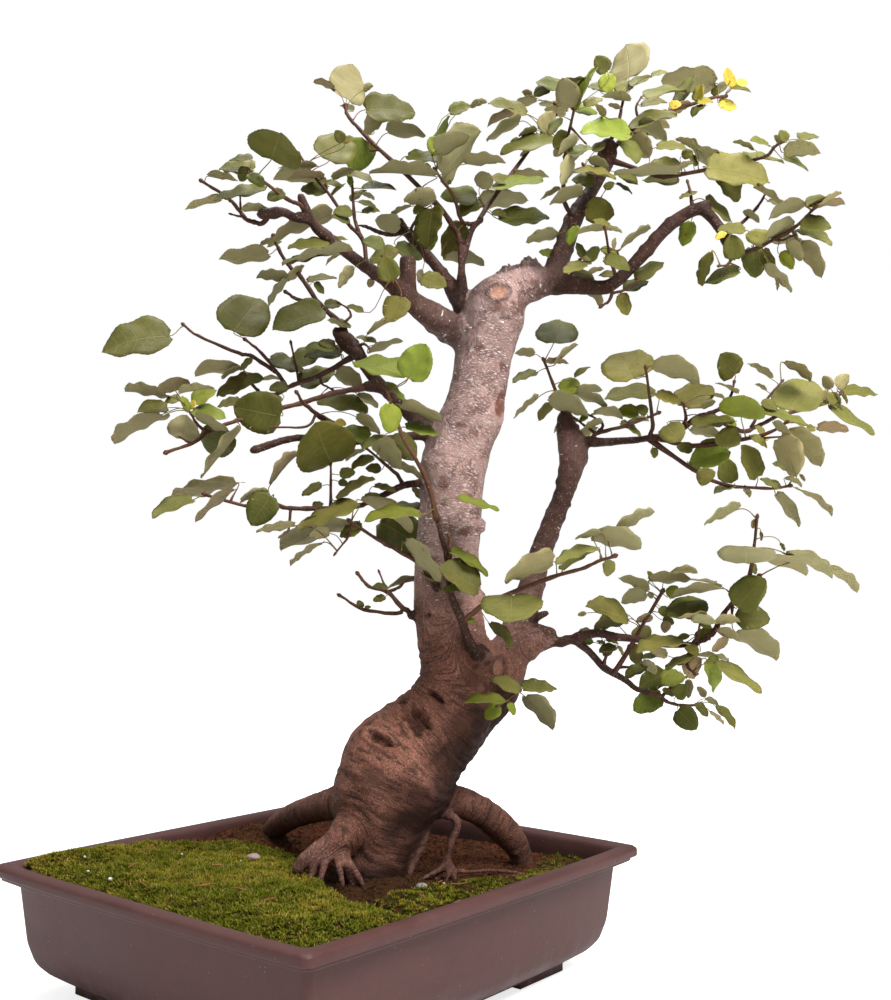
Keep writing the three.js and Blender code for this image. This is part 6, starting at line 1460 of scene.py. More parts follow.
def nearest_limbs(points, limbs):
    """For each point its nearest limb: number, distance outside it, the distance outside the
    next nearest, and its place along and around the limb in millimetres."""
    count, margin = len(points), 16
    best, second = np.full(count, 1e9), np.full(count, 1e9)
    number, radius = np.zeros(count, int), np.ones(count)
    grain, ring = np.zeros((count, 3)), np.zeros((count, 3))
    along_limb = np.zeros(count)
    for k, (_, line) in enumerate(limbs):
        along, normals, across = carried(line)
        starts, ends = line[:-1], line[1:]
        runs = ends[:, :3] - starts[:, :3]
        lengths = np.maximum(np.linalg.norm(runs, axis=1), 1e-6)
        so_far = np.concatenate(((0,), np.cumsum(lengths)))
        low = line[:, :3].min(axis=0) - line[:, 3].max() - margin
        high = line[:, :3].max(axis=0) + line[:, 3].max() + margin
        near = np.where(np.all((points > low) & (points < high), axis=1))[0]
        if len(near) == 0:
            continue
        here = points[near]
        mine, at, share = np.full(len(near), 1e9), np.zeros(len(near), int), np.zeros(len(near))
        for i in range(len(runs)):
            t = np.clip((here - starts[i, :3]) @ runs[i] / lengths[i] ** 2, 0, 1)
            gap = np.linalg.norm(here - starts[i, :3] - t[:, None] * runs[i], axis=1)
            gap -= starts[i, 3] + (ends[i, 3] - starts[i, 3]) * t
            closer = gap < mine
            mine[closer], at[closer], share[closer] = gap[closer], i, t[closer]
        wins = mine < best[near]
        second[near] = np.where(wins, best[near], np.minimum(second[near], mine))
        won, i, t = near[wins], at[wins], share[wins]
        best[won], number[won] = mine[wins], k
        foot = line[i, :3] + runs[i] * t[:, None]
        off = points[won] - foot
        n, s = normals[i], across[i]
        radius[won] = line[i, 3] + (line[i + 1, 3] - line[i, 3]) * t
        grain[won, 0] = np.sum(off * n, axis=1)
        grain[won, 1] = np.sum(off * s, axis=1)
        grain[won, 2] = so_far[i] + lengths[i] * t
        along_limb[won] = (so_far[i] + lengths[i] * t) / so_far[-1]
        ring[won] = np.cross(along[i], off)
    return {"number": number, "gap": best, "next": second, "radius": radius, "grain": grain,
            "ring": ring, "share": along_limb}


def neighbour_sums(values, edges, start=0.0):
    """For each point, start plus the sum of its neighbours' values."""
    a, b = edges[:, 0], edges[:, 1]
    return start + np.bincount(a, values[b], len(values)) + np.bincount(b, values[a], len(values))


def pulled(points, edges, weights, steps):
    """Points moved, step by step, by a share of the way to the middle of their neighbours."""
    ways = np.maximum(neighbour_sums(np.ones(len(points)), edges), 1)
    for step in steps:
        pull = np.empty_like(points)
        for axis in range(3):
            column = points[:, axis]
            pull[:, axis] = neighbour_sums(column, edges) / ways - column
        points = points + pull * (step * weights)[:, None]
    return points


def evened(points, edges, weights, rounds):
    """Points smoothed by steps in and back out, which keep the volume."""
    return pulled(points, edges, weights, [0.55, -0.57] * rounds)


def spread_out(values, edges, rounds):
    """Values averaged with their neighbours along the edges, so that they change without steps."""
    ways = neighbour_sums(np.ones(len(values)), edges, 1)
    values = values.copy()
    for _ in range(rounds):
        for axis in range(values.shape[1]):
            column = values[:, axis]
            values[:, axis] = neighbour_sums(column, edges, column) / ways
    return values


def mesh_arrays(mesh):
    """The points, their normals and the edges of a mesh, in millimetres."""
    count = len(mesh.vertices)
    points, normals = np.empty(count * 3, np.float32), np.empty(count * 3, np.float32)
    mesh.vertices.foreach_get("co", points)
    mesh.vertex_normals.foreach_get("vector", normals)
    edges = np.empty(len(mesh.edges) * 2, np.int32)
    mesh.edges.foreach_get("vertices", edges)
    points, normals = points.reshape(-1, 3).astype(float), normals.reshape(-1, 3).astype(float)
    return points / MM, normals, edges.reshape(-1, 2)


def set_points(mesh, points):
    mesh.vertices.foreach_set("co", (np.asarray(points) * MM).astype(np.float32).ravel())
    mesh.update()


def marked(points, normals):
    """How far the marks lift each point along its normal, and how strong each kind of mark is there."""
    x, z, _ = as_seen(points)
    c, s = math.cos(TURN), math.sin(TURN)
    eye = np.array(((EYE[0] * c + EYE[1] * s) + MID[0], (-EYE[0] * s + EYE[1] * c) + MID[1], EYE[2]))
    look = eye - points
    look /= np.linalg.norm(look, axis=1, keepdims=True)
    towards = np.sum(look * normals, axis=1)
    lift = np.zeros(len(points))
    strength = {kind: np.zeros(len(points)) for kind in (DARK, CUT, BUMP, WOUND, STAIN)}
    ragged = 0.4 * field(points, 5.0, 81.0)
    for mx, mz, half, wide, turn, height, kind in MARKS:
        near = np.where((np.abs(x - mx) < half + wide) & (np.abs(z - mz) < half + wide))[0]
        a = math.radians(turn)
        du, dv = x[near] - mx, z[near] - mz
        along, over = du * math.cos(a) + dv * math.sin(a), -du * math.sin(a) + dv * math.cos(a)
        reach = np.sqrt((along / half) ** 2 + (over / wide) ** 2)
        if kind in (DARK, STAIN):
            reach = reach + ragged[near]
        facing = ramp(towards[near], *((-0.25, 0.1) if kind in (BUMP, WOUND) else (0.05, 0.4)))
        within = (1 - ramp(reach, 0.5, 1.0)) * facing
        lift[near] += height * within
        strength[kind][near] = np.maximum(strength[kind][near], within)
        if kind == CUT:
            lip = np.exp(-((reach - 1.05) / 0.2) ** 2) * facing
            lift[near] += 1.8 * lip
            strength[CUT][near] = np.where(reach < 1, 1 - ramp(reach, 0.62, 0.92), 0) * facing
            strength[DARK][near] = np.maximum(strength[DARK][near], 0.9 * lip)
        elif height < -4:
            lift[near] += 1.5 * np.exp(-((reach - 1.15) / 0.22) ** 2) * facing
    return lift, strength


def make_wood(look):
    """The whole tree's wood as one skin with its relief, and the raised pores on it."""
    limbs = all_limbs(3)
    made = wood_skin(limbs)
    mesh = made.data
    points, normals, edges = mesh_arrays(mesh)
    near = nearest_limbs(points, limbs)
    fork = np.exp(-np.maximum(near["next"] - near["gap"], 0) / 3.5)
    points = evened(points, edges, np.ones(len(points)), 5)
    points = pulled(points, edges, ramp(fork, 0.15, 0.8), [0.5] * 14)
    set_points(mesh, points)
    points, normals, edges = mesh_arrays(mesh)
    near = nearest_limbs(points, limbs)
    radius = near["radius"]
    grain = spread_out(near["grain"], edges, 70)
    x, z, depth = as_seen(points)
    # low is 1 on the rough bark of the foot and the roots, and thin is 1 on thin limbs
    names = np.array([name for name, _ in limbs])[near["number"]]
    stout = ramp(radius, 5, 22)
    low = (1 - ramp(z + 0.25 * (x - 90), 262, 372)) * ramp(radius, 3, 12)
    low = np.where(np.char.startswith(names, "second"), np.maximum(low, 0.25), low)
    rooted = np.char.startswith(names, "root") | np.char.startswith(names, "fine")
    low = np.where(rooted, np.maximum(low, 0.8 * ramp(-z, -190, -150)), low)
    thin = 1 - ramp(radius, 8, 21)
    # Swells, knobs on the thin limbs, and wrinkles and furrows across and along the foot
    rooty = np.where(rooted, 0.45, 1.0)
    relief = 0.055 * radius * field(points, 34.0, 2.0) * rooty + 0.5 * stout * field(points, 13.0, 8.0)
    relief += 0.5 * ramp(radius, 2, 10) * field(points, 6.0, 12.0)
    knobs = ramp(field(points, 8.0, 51.0), 0.05, 0.55) * (1 - ramp(radius, 12, 22)) * ramp(radius, 2, 5)
    relief += 0.15 * np.minimum(radius, 9) * knobs * np.where(z < 250, 0.15, 1.0)
    wrinkle = field(grain * np.array((0.045, 0.045, 0.21)), 1.0, 5.0)
    wrinkle = np.sign(wrinkle) * np.abs(wrinkle) ** 0.8
    relief += look.wrinkle * low * wrinkle * rooty
    furrow = np.minimum(0, np.abs(field(grain * np.array((0.03, 0.03, 0.09)), 1.0, 33.0)) - 0.09)
    relief += 6.0 * low * furrow * stout
    lift, strength = marked(points, normals)
    # The dark, rough crest on top of the trunk's head
    crest = ramp(x, 141, 150) * (1 - ramp(x, 176, 188)) * ramp(normals[:, 2], 0.45, 0.85) * ramp(z, 590, 600)
    crest *= 1 - ramp(np.abs(depth - 13), 7, 13)
    relief += crest * (1.2 + 8.5 * np.maximum(0, field(points, 2.8, 61.0)) + 3.5 * ramp(x, 163, 168))
    strength[DARK] = np.maximum(strength[DARK], ramp(crest, 0.0, 0.45))
    # Painted shade, held in the damp mask: darker bark on the undersides that face down, where the trunk
    # meets the soil and on the shaded right of the foot
    damp = ramp(-normals[:, 2] + 0.4 * field(points, 26.0, 14.0), -0.35, 0.45) * ramp(-z, -300, -215)
    damp = np.maximum(damp, ramp(-points[:, 2] + 7 * field(points, 14.0, 3.0), -122, -98))
    shaded = ramp(x - 46 - 0.42 * (z - 100) + 9 * field(points, 22.0, 71.0), -6, 34) * ramp(-z, -262, -190)
    damp = np.maximum(damp, shaded)
    damp = np.where(rooted, 0.45 * damp, damp)
    points = points + normals * (relief + lift)[:, None]
    points = evened(points, edges, np.ones(len(points)) * 0.8, 1)
    set_points(mesh, points)
    ends = np.array([sawn(name) for name in names]) & (near["share"] > 0.985)
    keep(mesh, "grain", grain)
    keep(mesh, "low", low)
    keep(mesh, "thin", np.where(low > 0.5, np.minimum(thin, 0.15), thin))
    keep(mesh, "dark", np.maximum(strength[DARK], 0.45 * ends))
    keep(mesh, "damp", damp)
    keep(mesh, "wound", strength[WOUND])
    keep(mesh, "stain", strength[STAIN])
    keep(mesh, "cut", strength[CUT])
    near["ring"] = spread_out(near["ring"], edges, 20)
    ring = near["ring"] / np.maximum(np.linalg.norm(near["ring"], axis=1, keepdims=True), 1e-9)
    keep(mesh, "ring", ring)
    clear = (1 - np.maximum(strength[CUT], strength[DARK])) * ramp(points[:, 2], 118, 150)
    density = ramp(radius, 8, 17) * (0.25 + 0.75 * ramp(field(points, 22.0, 40.0), -0.2, 0.3))
    keep(mesh, "cover", clear * density * (1 - low))
    place(made, bark_material(look), ["tree"])
    fleck = new_object("fleck", fleck_mesh())
    pores = scattered(made, "lenticels", fleck, lenticel_material(look), look.lenticels,
                      sizes=(0.45, 1.8), lean=0.0, seed=71, sink=0.05, ring=True)
    place(pores, None, [])


def fleck_mesh():
    """A lenticel: a low lens, about three millimetres across the limb, closed underneath."""
    half, high, wide, under = 1.35, 0.34, 0.5, -0.1
    rows = [(-0.6, 0.75), (0, 1.0), (0.55, 0.8)]
    points = []
    for at, grow in rows:
        points += [(at * half, wide * grow, under), (at * half, 0, high * grow),
                   (at * half, -wide * grow, under)]
    start, end = len(points), len(points) + 1
    points += [(-half, 0, under), (half, 0, under)]
    faces = []
    for i in range(len(rows) - 1):
        for j in range(3):
            a, b = i * 3 + j, i * 3 + (j + 1) % 3
            faces.append((b, a, a + 3, b + 3))
    last = (len(rows) - 1) * 3
    for j in range(3):
        faces.append((start, j, (j + 1) % 3))
        faces.append((end, last + (j + 1) % 3, last + j))
    return new_mesh("fleck", points, faces)


def nearest_on(line, x, z):
    """The nearest place of a flat line of rows (x, z, depth, radius) to x, z."""
    best = None
    for a, b in zip(line, line[1:]):
        rx, rz = b[0] - a[0], b[1] - a[1]
        t = min(1.0, max(0.0, ((x - a[0]) * rx + (z - a[1]) * rz) / (rx * rx + rz * rz)))
        away = math.hypot(x - a[0] - rx * t, z - a[1] - rz * t)
        if best is None or away < best["away"]:
            at = [v + (w - v) * t for v, w in zip(a, b)]
            best = {"away": away, "at": at}
    return best


def nearest_of(lines, x, z):
    """The nearest place of several flat lines to x, z."""
    return min((nearest_on(line, x, z) for line in lines), key=lambda hit: hit["away"])


def thinned(line, slack):
    """A line without the points that bend it by less than the slack."""
    if len(line) < 3:
        return line
    a, b = line[0], line[-1]
    length = math.hypot(b[0] - a[0], b[1] - a[1])
    off = [abs((p[0] - a[0]) * (b[1] - a[1]) - (p[1] - a[1]) * (b[0] - a[0])) / length for p in line]
    most = off.index(max(off))
    if off[most] < slack:
        return [a, b]
    return thinned(line[:most + 1], slack)[:-1] + thinned(line[most:], slack)


def outside_wood(point, starts, runs, radii, grows):
    """How far a point is outside the nearest stretch of wood."""
    t = np.clip(np.sum((point - starts) * runs, axis=1) / np.sum(runs * runs, axis=1), 0, 1)
    return float(np.min(np.linalg.norm(point - starts - runs * t[:, None], axis=1) - radii - grows * t))


def wood_runs():
    """Every stretch of the limbs in straight lines: start, run, radius and its change."""
    starts, ends = [], []
    for rows in LIMBS.values():
        line = np.array([(*seen(x, z, y), r * far(y)) for x, z, y, r in rows])
        starts.append(line[:-1])
        ends.append(line[1:])
    starts, ends = np.concatenate(starts), np.concatenate(ends)
    return starts[:, :3], (ends - starts)[:, :3], starts[:, 3], ends[:, 3] - starts[:, 3]


def twig_lines(spray, wood):
    """The twigs of a spray as seen, whole, and the part that stands clear of the wood."""
    _, limb, lean, twigs, _ = spray
    x0, z0 = twigs[0][1:3]
    root = nearest_on([list(row) for row in LIMBS[limb]], x0, z0)["at"]
    lines = []
    for r, *flat in twigs:
        line = []
        last = len(flat) // 2 - 1
        for i in range(last + 1):
            x, z = flat[2 * i], flat[2 * i + 1]
            depth = root[2] + lean * math.hypot(x - root[0], z - root[1])
            line.append([x, z, depth, r * (1 - 0.45 * i / last)])
        line[0] = [*nearest_of(lines, *line[0][:2])["at"][:3], r] if lines else [*root[:3], r]
        lines.append(thinned(line, TWIG_SLACK))
    first = [np.array(seen(x, z, y)) for x, z, y, _ in lines[0]]
    i, t = 0, 0.0
    while True:
        span = float(np.linalg.norm(first[i + 1] - first[i]))
        if outside_wood(first[i] + (first[i + 1] - first[i]) * (t / span), *wood) > CLEAR:
            break
        t += 0.5
        if t >= span:
            i, t = i + 1, 0.0
    share = min(0.9, (t + 1.5) / span)
    begin = [v + (w - v) * share for v, w in zip(lines[0][i], lines[0][i + 1])]
    clear = [[begin] + lines[0][i + 1:]] + lines[1:]
    return lines, clear


def leaf_seed(leaf):
    """The whole number that a leaf's place on the picture gives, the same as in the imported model."""
    return math.floor(leaf[0] * 7 + leaf[1] * 131 + leaf[2] * 17 + leaf[3] * 1009 + 0.5)


def leaf_pose(clear, leaf, shift):
    """Where a leaf is and how it turns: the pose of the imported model's blade."""
    x0, z0, x1, z1, wide, tone = leaf
    seed = leaf_seed(leaf)
    hit, hit_tip = nearest_of(clear, x0, z0), nearest_of(clear, x1, z1)
    xb, zb, xt, zt = x0, z0, x1, z1
    if hit_tip["away"] + 2 < hit["away"]:
        xb, zb, xt, zt, hit = x1, z1, x0, z0, hit_tip
    yq = hit["at"][2]
    flat = math.hypot(xt - xb, zt - zb)
    long = max(flat, wide / BLADE["ratio"])
    yb = yq + (draw(seed) - 0.5) * BLADE["spread"] + shift
    back = math.sqrt(max(0.0, long * long - flat * flat)) + draw(seed + 1) * 0.35 * flat
    yt = yb + (-back if yb < yq else back)
    base, tip = seen(xb, zb, yb), seen(xt, zt, yt)
    length = float(np.linalg.norm(tip - base))
    along = (tip - base) / length
    half = length * BLADE["ratio"] / 2
    roll = math.acos(min(1.0, wide * far(yb) / (2 * half)))
    look = unit(seen(EYE[0], EYE[2], EYE[1] * 0.999) - base)
    look = unit(look - along * np.dot(look, along))
    up = -1 if tone in (P, R) else 1
    one, two = turned(look, along, roll) * up, turned(look, along, -roll) * up
    normal = one if one[2] > two[2] else two
    end_on = min(0.8, max(0.0, 1 - flat / long) * 1.6)
    level = unit(normal + (look * up - normal) * end_on)
    return {"base": base, "along": along, "normal": normal, "side": np.cross(normal, along), "length": length,
            "half": half, "arch": (draw(seed + 3) - 0.3) * 0.22 * length, "seed": seed, "tone": tone,
            "level": level, "end_on": end_on, "root": seen(*hit["at"][:3])}


def blade_spot(pose, s, w, lift):
    """A place on the stiff blade, s along it from 0 to 1 and w to its side."""
    return (pose["base"] + pose["along"] * s * pose["length"] + pose["side"] * w
            + pose["normal"] * (BLADE["fold"] * abs(w) - pose["arch"] * s * s + lift))


def settled_pose(clear, leaf, corners):
    """The leaf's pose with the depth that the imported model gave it, or the first depth of all."""
    best, found = SAME_PLACE, None
    for shift in STEPS:
        pose = leaf_pose(clear, leaf, shift)
        tips = [blade_spot(pose, 1, 0, side * BLADE["thickness"] / 2) for side in (1, -1)]
        gap = min(corners.find(Vector(tip))[2] for tip in tips)
        if gap < best:
            best, found = gap, pose
    return found or leaf_pose(clear, leaf, 0)


# The outline of a blade as shares of its length and of its half width, from the base to the tip
OUTLINE = smoothed([(-0.04, 0.34), (0.0, 0.63), (0.07, 0.86), (0.2, 1.01), (0.36, 1.05), (0.52, 1.0),
                    (0.68, 0.87), (0.81, 0.67), (0.91, 0.43), (0.97, 0.2), (1.0, 0.0)], 5)
# Blades from this length on, and the rows and columns of their faces
BLADE_GRIDS = [(46, 24, 8), (30, 16, 6), (0, 10, 4)]
VEINS = 8
# How near a blade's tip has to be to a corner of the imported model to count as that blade
SAME_PLACE = 1.2
STALK_STEPS = 6
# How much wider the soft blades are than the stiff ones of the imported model
FULLER = 1.05


def add_blade(shape, pose, look):
    """One blade: two layers that meet at a toothed edge, quilted between the side veins."""
    length, half, seed = pose["length"], pose["half"], pose["seed"]
    normal = pose["level"]
    side = np.cross(normal, pose["along"])
    rows, columns = next((r, c) for least, r, c in BLADE_GRIDS if length >= least)
    v = np.linspace(0, 1, rows + 1)
    u = np.linspace(-1, 1, columns + 1)
    u = np.sign(u) * np.abs(u) ** 0.85
    middle = v ** 1.35
    edge = -0.04 + 1.04 * v ** 0.78
    lean = 0.06 * (draw(seed + 5) - 0.5)
    V, U = np.meshgrid(v, u, indexing="ij")
    S = middle[:, None] + (edge - middle)[:, None] * np.abs(U) ** 1.25
    wide = np.interp(edge, *OUTLINE.T)[:, None] * half * (FULLER - 0.12 * pose["end_on"])
    teeth = np.where(np.arange(rows + 1) % 2 == 1, 0.006, -0.004)[:, None] * length * (np.abs(U) > 0.99)
    teeth[0] = teeth[-1] = 0
    W = U * wide + np.sign(U) * teeth + lean * length * np.sin(math.pi * V)
    S = S + 0.4 * np.abs(teeth) / length
    out = np.abs(U)
    stiff = 1 - pose["end_on"]
    curl = look.curl * length * (0.3 + 0.7 * stiff)
    phase, waves = 6.28 * draw(seed + 6), 1.5 + 1.5 * draw(seed + 7)
    lift = BLADE["fold"] * np.abs(W) * stiff - pose["arch"] * S * S * (0.35 + 0.65 * stiff)
    lift += curl * 0.20 * out ** 2 * np.sin(waves * 2 * math.pi * V + phase + 1.3 * np.sign(U))
    lift += curl * (draw(seed + 8) - 0.45) * 0.8 * out ** 2 * np.sin(math.pi * V)
    lift -= curl * 0.5 * draw(seed + 9) * np.clip(V - 0.6, 0, 1) ** 2 / 0.16
    quilt = np.abs(np.sin(math.pi * VEINS * V)) * (1 - out ** 2) * np.minimum(1, out * 5)
    lift += 0.004 * length * quilt
    lift -= 0.006 * length * np.exp(-(U / 0.12) ** 2)
    half_thick = 0.5 * look.thickness * (1 - 0.6 * out ** 4)
    place_at = pose["base"] + pose["along"] * (S * length)[..., None] + side * W[..., None]
    top = place_at + normal * (lift + half_thick)[..., None]
    below = place_at + normal * (lift - half_thick)[..., None]
    faces = grid_faces(columns + 1, rows + 1)
    points, shell = slab(top.reshape(-1, 3), below.reshape(-1, 3), faces)
    flat = np.stack((U.ravel(), V.ravel()), axis=1)
    vein = np.concatenate((np.c_[flat, np.zeros(len(flat))], np.c_[flat, np.ones(len(flat))]))
    tint = leaf_tint(look, pose, seed)
    shape.add(points, shell, vein=vein, tint=tint, wood=0.0)


def leaf_tint(look, pose, seed):
    """The colour of one leaf: its tone, lighter towards the sunny right side of the crown."""
    tones = {D: look.dark, G: look.green, P: look.pale, B: look.bright, Y: look.yellow, R: look.red}
    base = tones[pose["tone"]]
    sun = 1 + look.sunny * float(ramp(as_seen(pose["base"][None])[0][0], 120, 260))
    grow = (0.75 + 0.55 * draw(seed + 11)) * sun
    warm = 0.92 + 0.18 * draw(seed + 12)
    return (base[0] * grow * warm, base[1] * grow, base[2] * grow * (2 - warm), 1.0)


def add_stalk(shape, pose, look):
    """The leaf's stalk, from its twig in a slack curve to the base of the blade."""
    start, end = pose["root"], pose["base"]
    reach = float(np.linalg.norm(end - start))
    if reach < 1.2:
        return
    away = (end - start) / reach
    first = unit(away + np.array((0, 0, 0.45)))
    points = []
    last = end - pose["along"] * 0.38 * reach
    for k in range(STALK_STEPS + 1):
        t = k / STALK_STEPS
        spot = (start * (1 - t) ** 3 + 3 * (start + first * 0.35 * reach) * t * (1 - t) ** 2
                + 3 * last * t * t * (1 - t) + end * t ** 3)
        points.append((*spot, look.stalk * (1.5 - 0.6 * min(1, 3 * t)) * (0.8 if pose["length"] < 26 else 1)))
    inner = end + pose["along"] * min(3.0, 0.1 * pose["length"]) - pose["normal"] * 0.25 * look.thickness
    points.append((*inner, look.stalk * 0.6))
    ruddy = draw(pose["seed"] + 13)
    tint = [a + (b - a) * ruddy for a, b in zip(look.stalk_pale, look.stalk_red)]
    spots, faces = tube(np.array(points), 5)
    shape.add(spots, faces, vein=(0, 0, 0), tint=(*tint, 1.0), wood=0.0)


def add_twig(shape, line, look, front, number):
    """A twig on a smooth curve, thicker where it begins and at its nodes, with a bud at its end."""
    rows = np.array([(*seen(x, z, y), r * far(y)) for x, z, y, r in line])
    fine = smoothed(rows, 5)
    count = len(fine)
    at = np.arange(count)
    fine[:, 3] *= 1.06 + 0.10 * np.sin(at * 2.1 + number) + 0.12 * (at % 5 == 0)
    if count > 4:
        shift = np.array([[draw(number * (31, 37, 41)[axis] + 3 * k + axis) for axis in range(3)]
                          for k in range(count)]) - 0.5
        fine[1:-1, :3] += shift[1:-1] * np.minimum(0.9, fine[1:-1, 3:4] * 0.5)
    if number == 0:
        flare = np.clip(1 - at / 4, 0, 1)
        fine[:, 3] *= 1 + 0.3 * flare ** 2
    run = unit(fine[-1][:3] - fine[-2][:3])
    size = fine[-1][3]
    bud = [(1.2, 1.15), (2.6, 1.5), (4.0, 1.1), (5.2, 0.35)]
    tips = [(*(fine[-1][:3] + run * reach), size * wide) for reach, wide in bud]
    fine = np.vstack((fine, tips))
    spots, faces = tube(fine, 7)
    tone = look.shoot if front else look.twig
    fresh = np.repeat(np.clip((at / max(count - 1, 1)), 0, 1), 7)
    fresh = np.concatenate((fresh, np.ones(len(spots) - len(fresh))))
    tint = np.array([[*[a + (b - a) * f * 0.5 for a, b in zip(tone, look.twig_tip)], 1.0] for f in fresh])
    shape.add(spots, faces, vein=(0, 0, 0), tint=tint, wood=1.0)


def make_sprays(look):
    """Each spray as one piece: twigs and stalks first, then the blades of its leaves."""
    finishes = [leaf_material(look), twig_material(look)]
    wood = wood_runs()
    for spray in SPRAYS:
        name = "twig_" + spray[0]
        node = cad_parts[name].data
        corners = KDTree(len(node.vertices))
        for i, vertex in enumerate(node.vertices):
            corners.insert(vertex.co / MM, i)
        corners.balance()
        lines, clear = twig_lines(spray, wood)
        shape = Shape("vein", "tint", "wood")
        for number, line in enumerate(lines):
            add_twig(shape, line, look, "shoot" in spray[1] or "cut" in spray[0], number)
        poses = [settled_pose(clear, leaf, corners) for leaf in spray[4]]
        for pose in poses:
            add_stalk(shape, pose, look)
        timber = len(shape.faces)
        for pose in poses:
            add_blade(shape, pose, look)
        made = new_object(name + "_leaves", shape.mesh(name + "_leaves"))
        place(made, finishes[0], [name])
        made.data.materials.append(finishes[1])
        indices = [1] * timber + [0] * (len(shape.faces) - timber)
        made.data.polygons.foreach_set("material_index", indices)
        made.data.update()


def make_pebbles():
    """The two stones, as uneven lumps in the space of their nodes."""
    corners, faces = ball(4)
    for number, (name, colour) in enumerate(PEBBLES.items()):
        low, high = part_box(name)
        middle, half = (low + high) / 2 / MM, (high - low) / 2 / MM
        points = []
        for corner in corners:
            way = corner.normalized()
            bump = 0.93 + 0.09 * noise.noise(way * 1.6 + Vector((number * 9, 0, 0)))
            bump += 0.03 * noise.noise(way * 6)
            points.append([middle[k] + way[k] * half[k] * bump for k in range(3)])
        made = new_object(name + "_stone", new_mesh(name + "_stone", points, faces))
        place(made, litter_material(name + "_face", colour, 0.7, 140.0), [name])


# How far over the ground the grains and the needles lie, on the tips of the moss
GRAIN_LIFT, NEEDLE_LIFT = 2.0, 2.6


def make_litter(look):
    """White perlite grains and dry orange needles that lie on the moss and the soil."""
    grains = Shape()
    corners, faces = ball(2)
    for number, (x, y, size) in enumerate(PERLITE):
        spots = []
        for corner in corners:
            grow = size / 2 * (1 + 0.35 * noise.noise(corner * 2.1 + Vector((number * 5, 1, 0))))
            spots.append(corner * grow)
        z = ground_level(x, y) + size * 0.2 + GRAIN_LIFT
        grains.add(in_frame(np.array([(p.x + x, p.y + y, p.z * 0.8 + z) for p in spots])), faces)
    made = new_object("perlite", grains.mesh("perlite"))
    place(made, litter_material("perlite_white", look.perlite, 0.85, 300.0))
    straws = Shape()
    for number, (x, y, length, turn) in enumerate(NEEDLES):
        a = math.radians(turn)
        line = []
        for k in range(6):
            t = k / 5
            reach = (t - 0.5) * length
            bend = 0.12 * length * (t - 0.5) ** 2 * (1 if number % 2 else -1)
            px = x + reach * math.cos(a) - bend * math.sin(a)
            py = y + reach * math.sin(a) + bend * math.cos(a)
            wide = 0.62 * (1 - 0.6 * abs(2 * t - 1) ** 3)
            line.append((px + MID[0], py + MID[1], ground_level(px, py) + NEEDLE_LIFT + 0.8 * t, wide))
        straws.add(*tube(np.array(line), 6))
    made = new_object("dry_needles", straws.mesh("dry_needles"))
    place(made, litter_material("needle_dry", look.needle, 0.6, 220.0))


def make_stage(look):
    """Pale floor, soft light and the camera at the photograph's angle."""
    work = bmesh.new()
    bmesh.ops.create_grid(work, x_segments=2, y_segments=2, size=look.floor_size / 2)
    mesh = bpy.data.meshes.new("floor")
    work.to_mesh(mesh)
    work.free()
    floor = new_object("floor", mesh)
    paper, sheet, surface = new_material("floor_paper", 0.9, 0.1)
    surface["Base Color"].default_value = rgba(look.floor)
    surface["Emission Color"].default_value = rgba(look.sky)
    direct = sheet.node("ShaderNodeLightPath").outputs["Is Camera Ray"]
    sheet.feed(surface["Emission Strength"], sheet.times(direct, look.floor_glow))
    mesh.materials.append(paper)
    world = bpy.data.worlds.new("studio")
    world.use_nodes = True
    back = world.node_tree.nodes["Background"].inputs
    back["Color"].default_value = rgba(look.sky)
    studio = Sheet(world.node_tree)
    direct = studio.node("ShaderNodeLightPath").outputs["Is Camera Ray"]
    studio.feed(back["Strength"], studio.fade(direct, 0.0, 1.0, look.sky_strength, look.backdrop))
    bpy.context.scene.world = world
    bpy.context.scene.view_settings.view_transform = "Standard"
    heart = Vector((MID[0] * MM, MID[1] * MM, TREE_MIDDLE))
    for name, turn, height, away, size, power in LAMPS:
        lamp = bpy.data.lights.new(name, "AREA")
        lamp.shape = "DISK"
        lamp.size = size
        lamp.energy = power * look.lamp_strength
        holder = bpy.data.objects.new(name, lamp)
        bpy.context.scene.collection.objects.link(holder)
        a = math.radians(turn)
        holder.location = heart + Vector((math.cos(a) * away, math.sin(a) * away, height))
        holder.rotation_euler = (heart - holder.location).to_track_quat("-Z", "Y").to_euler()
    lens = bpy.data.cameras.new("camera")
    lens.sensor_fit = "VERTICAL"
    lens.sensor_height = 36.0
    lens.lens = look.focal_length
    lens.clip_start, lens.clip_end = 0.05, 50.0
    camera = bpy.data.objects.new("camera", lens)
    bpy.context.scene.collection.objects.link(camera)
    c, s = math.cos(TURN), math.sin(TURN)
    x, y = EYE[0] * c + EYE[1] * s + MID[0], -EYE[0] * s + EYE[1] * c + MID[1]
    camera.location = (x * MM, y * MM, EYE[2] * MM)
    camera.rotation_euler = (math.pi / 2 + look.tilt, 0, -TURN)
    bpy.context.scene.camera = camera


# Height of the middle of the tree in metres
TREE_MIDDLE = 0.42
# Lamps: name, direction they stand in in degrees, height over the middle of the tree, distance
# across the floor, width of the disc in metres and power in watts
LAMPS = [("key", 262, 1.5, 1.5, 1.2, 74.0), ("fill", 195, 1.2, 2.0, 1.6, 1.5),
         ("top", 40, 2.1, 0.4, 1.5, 49.0)]


def colour_of(name, text, value):
    return FloatVectorProperty(name=name, description=text, subtype="COLOR", size=3, min=0, max=1,
                               default=value)


class BonsaiPot(bpy.types.PropertyGroup):
    colour: colour_of("Pot Colour", "Colour of the moulded plastic", (0.069, 0.029, 0.026))
    dust: FloatProperty(name="Dust", description="Share of the surface's cells that hold a dust speck",
                        subtype="FACTOR", min=0, max=1, default=0.05)


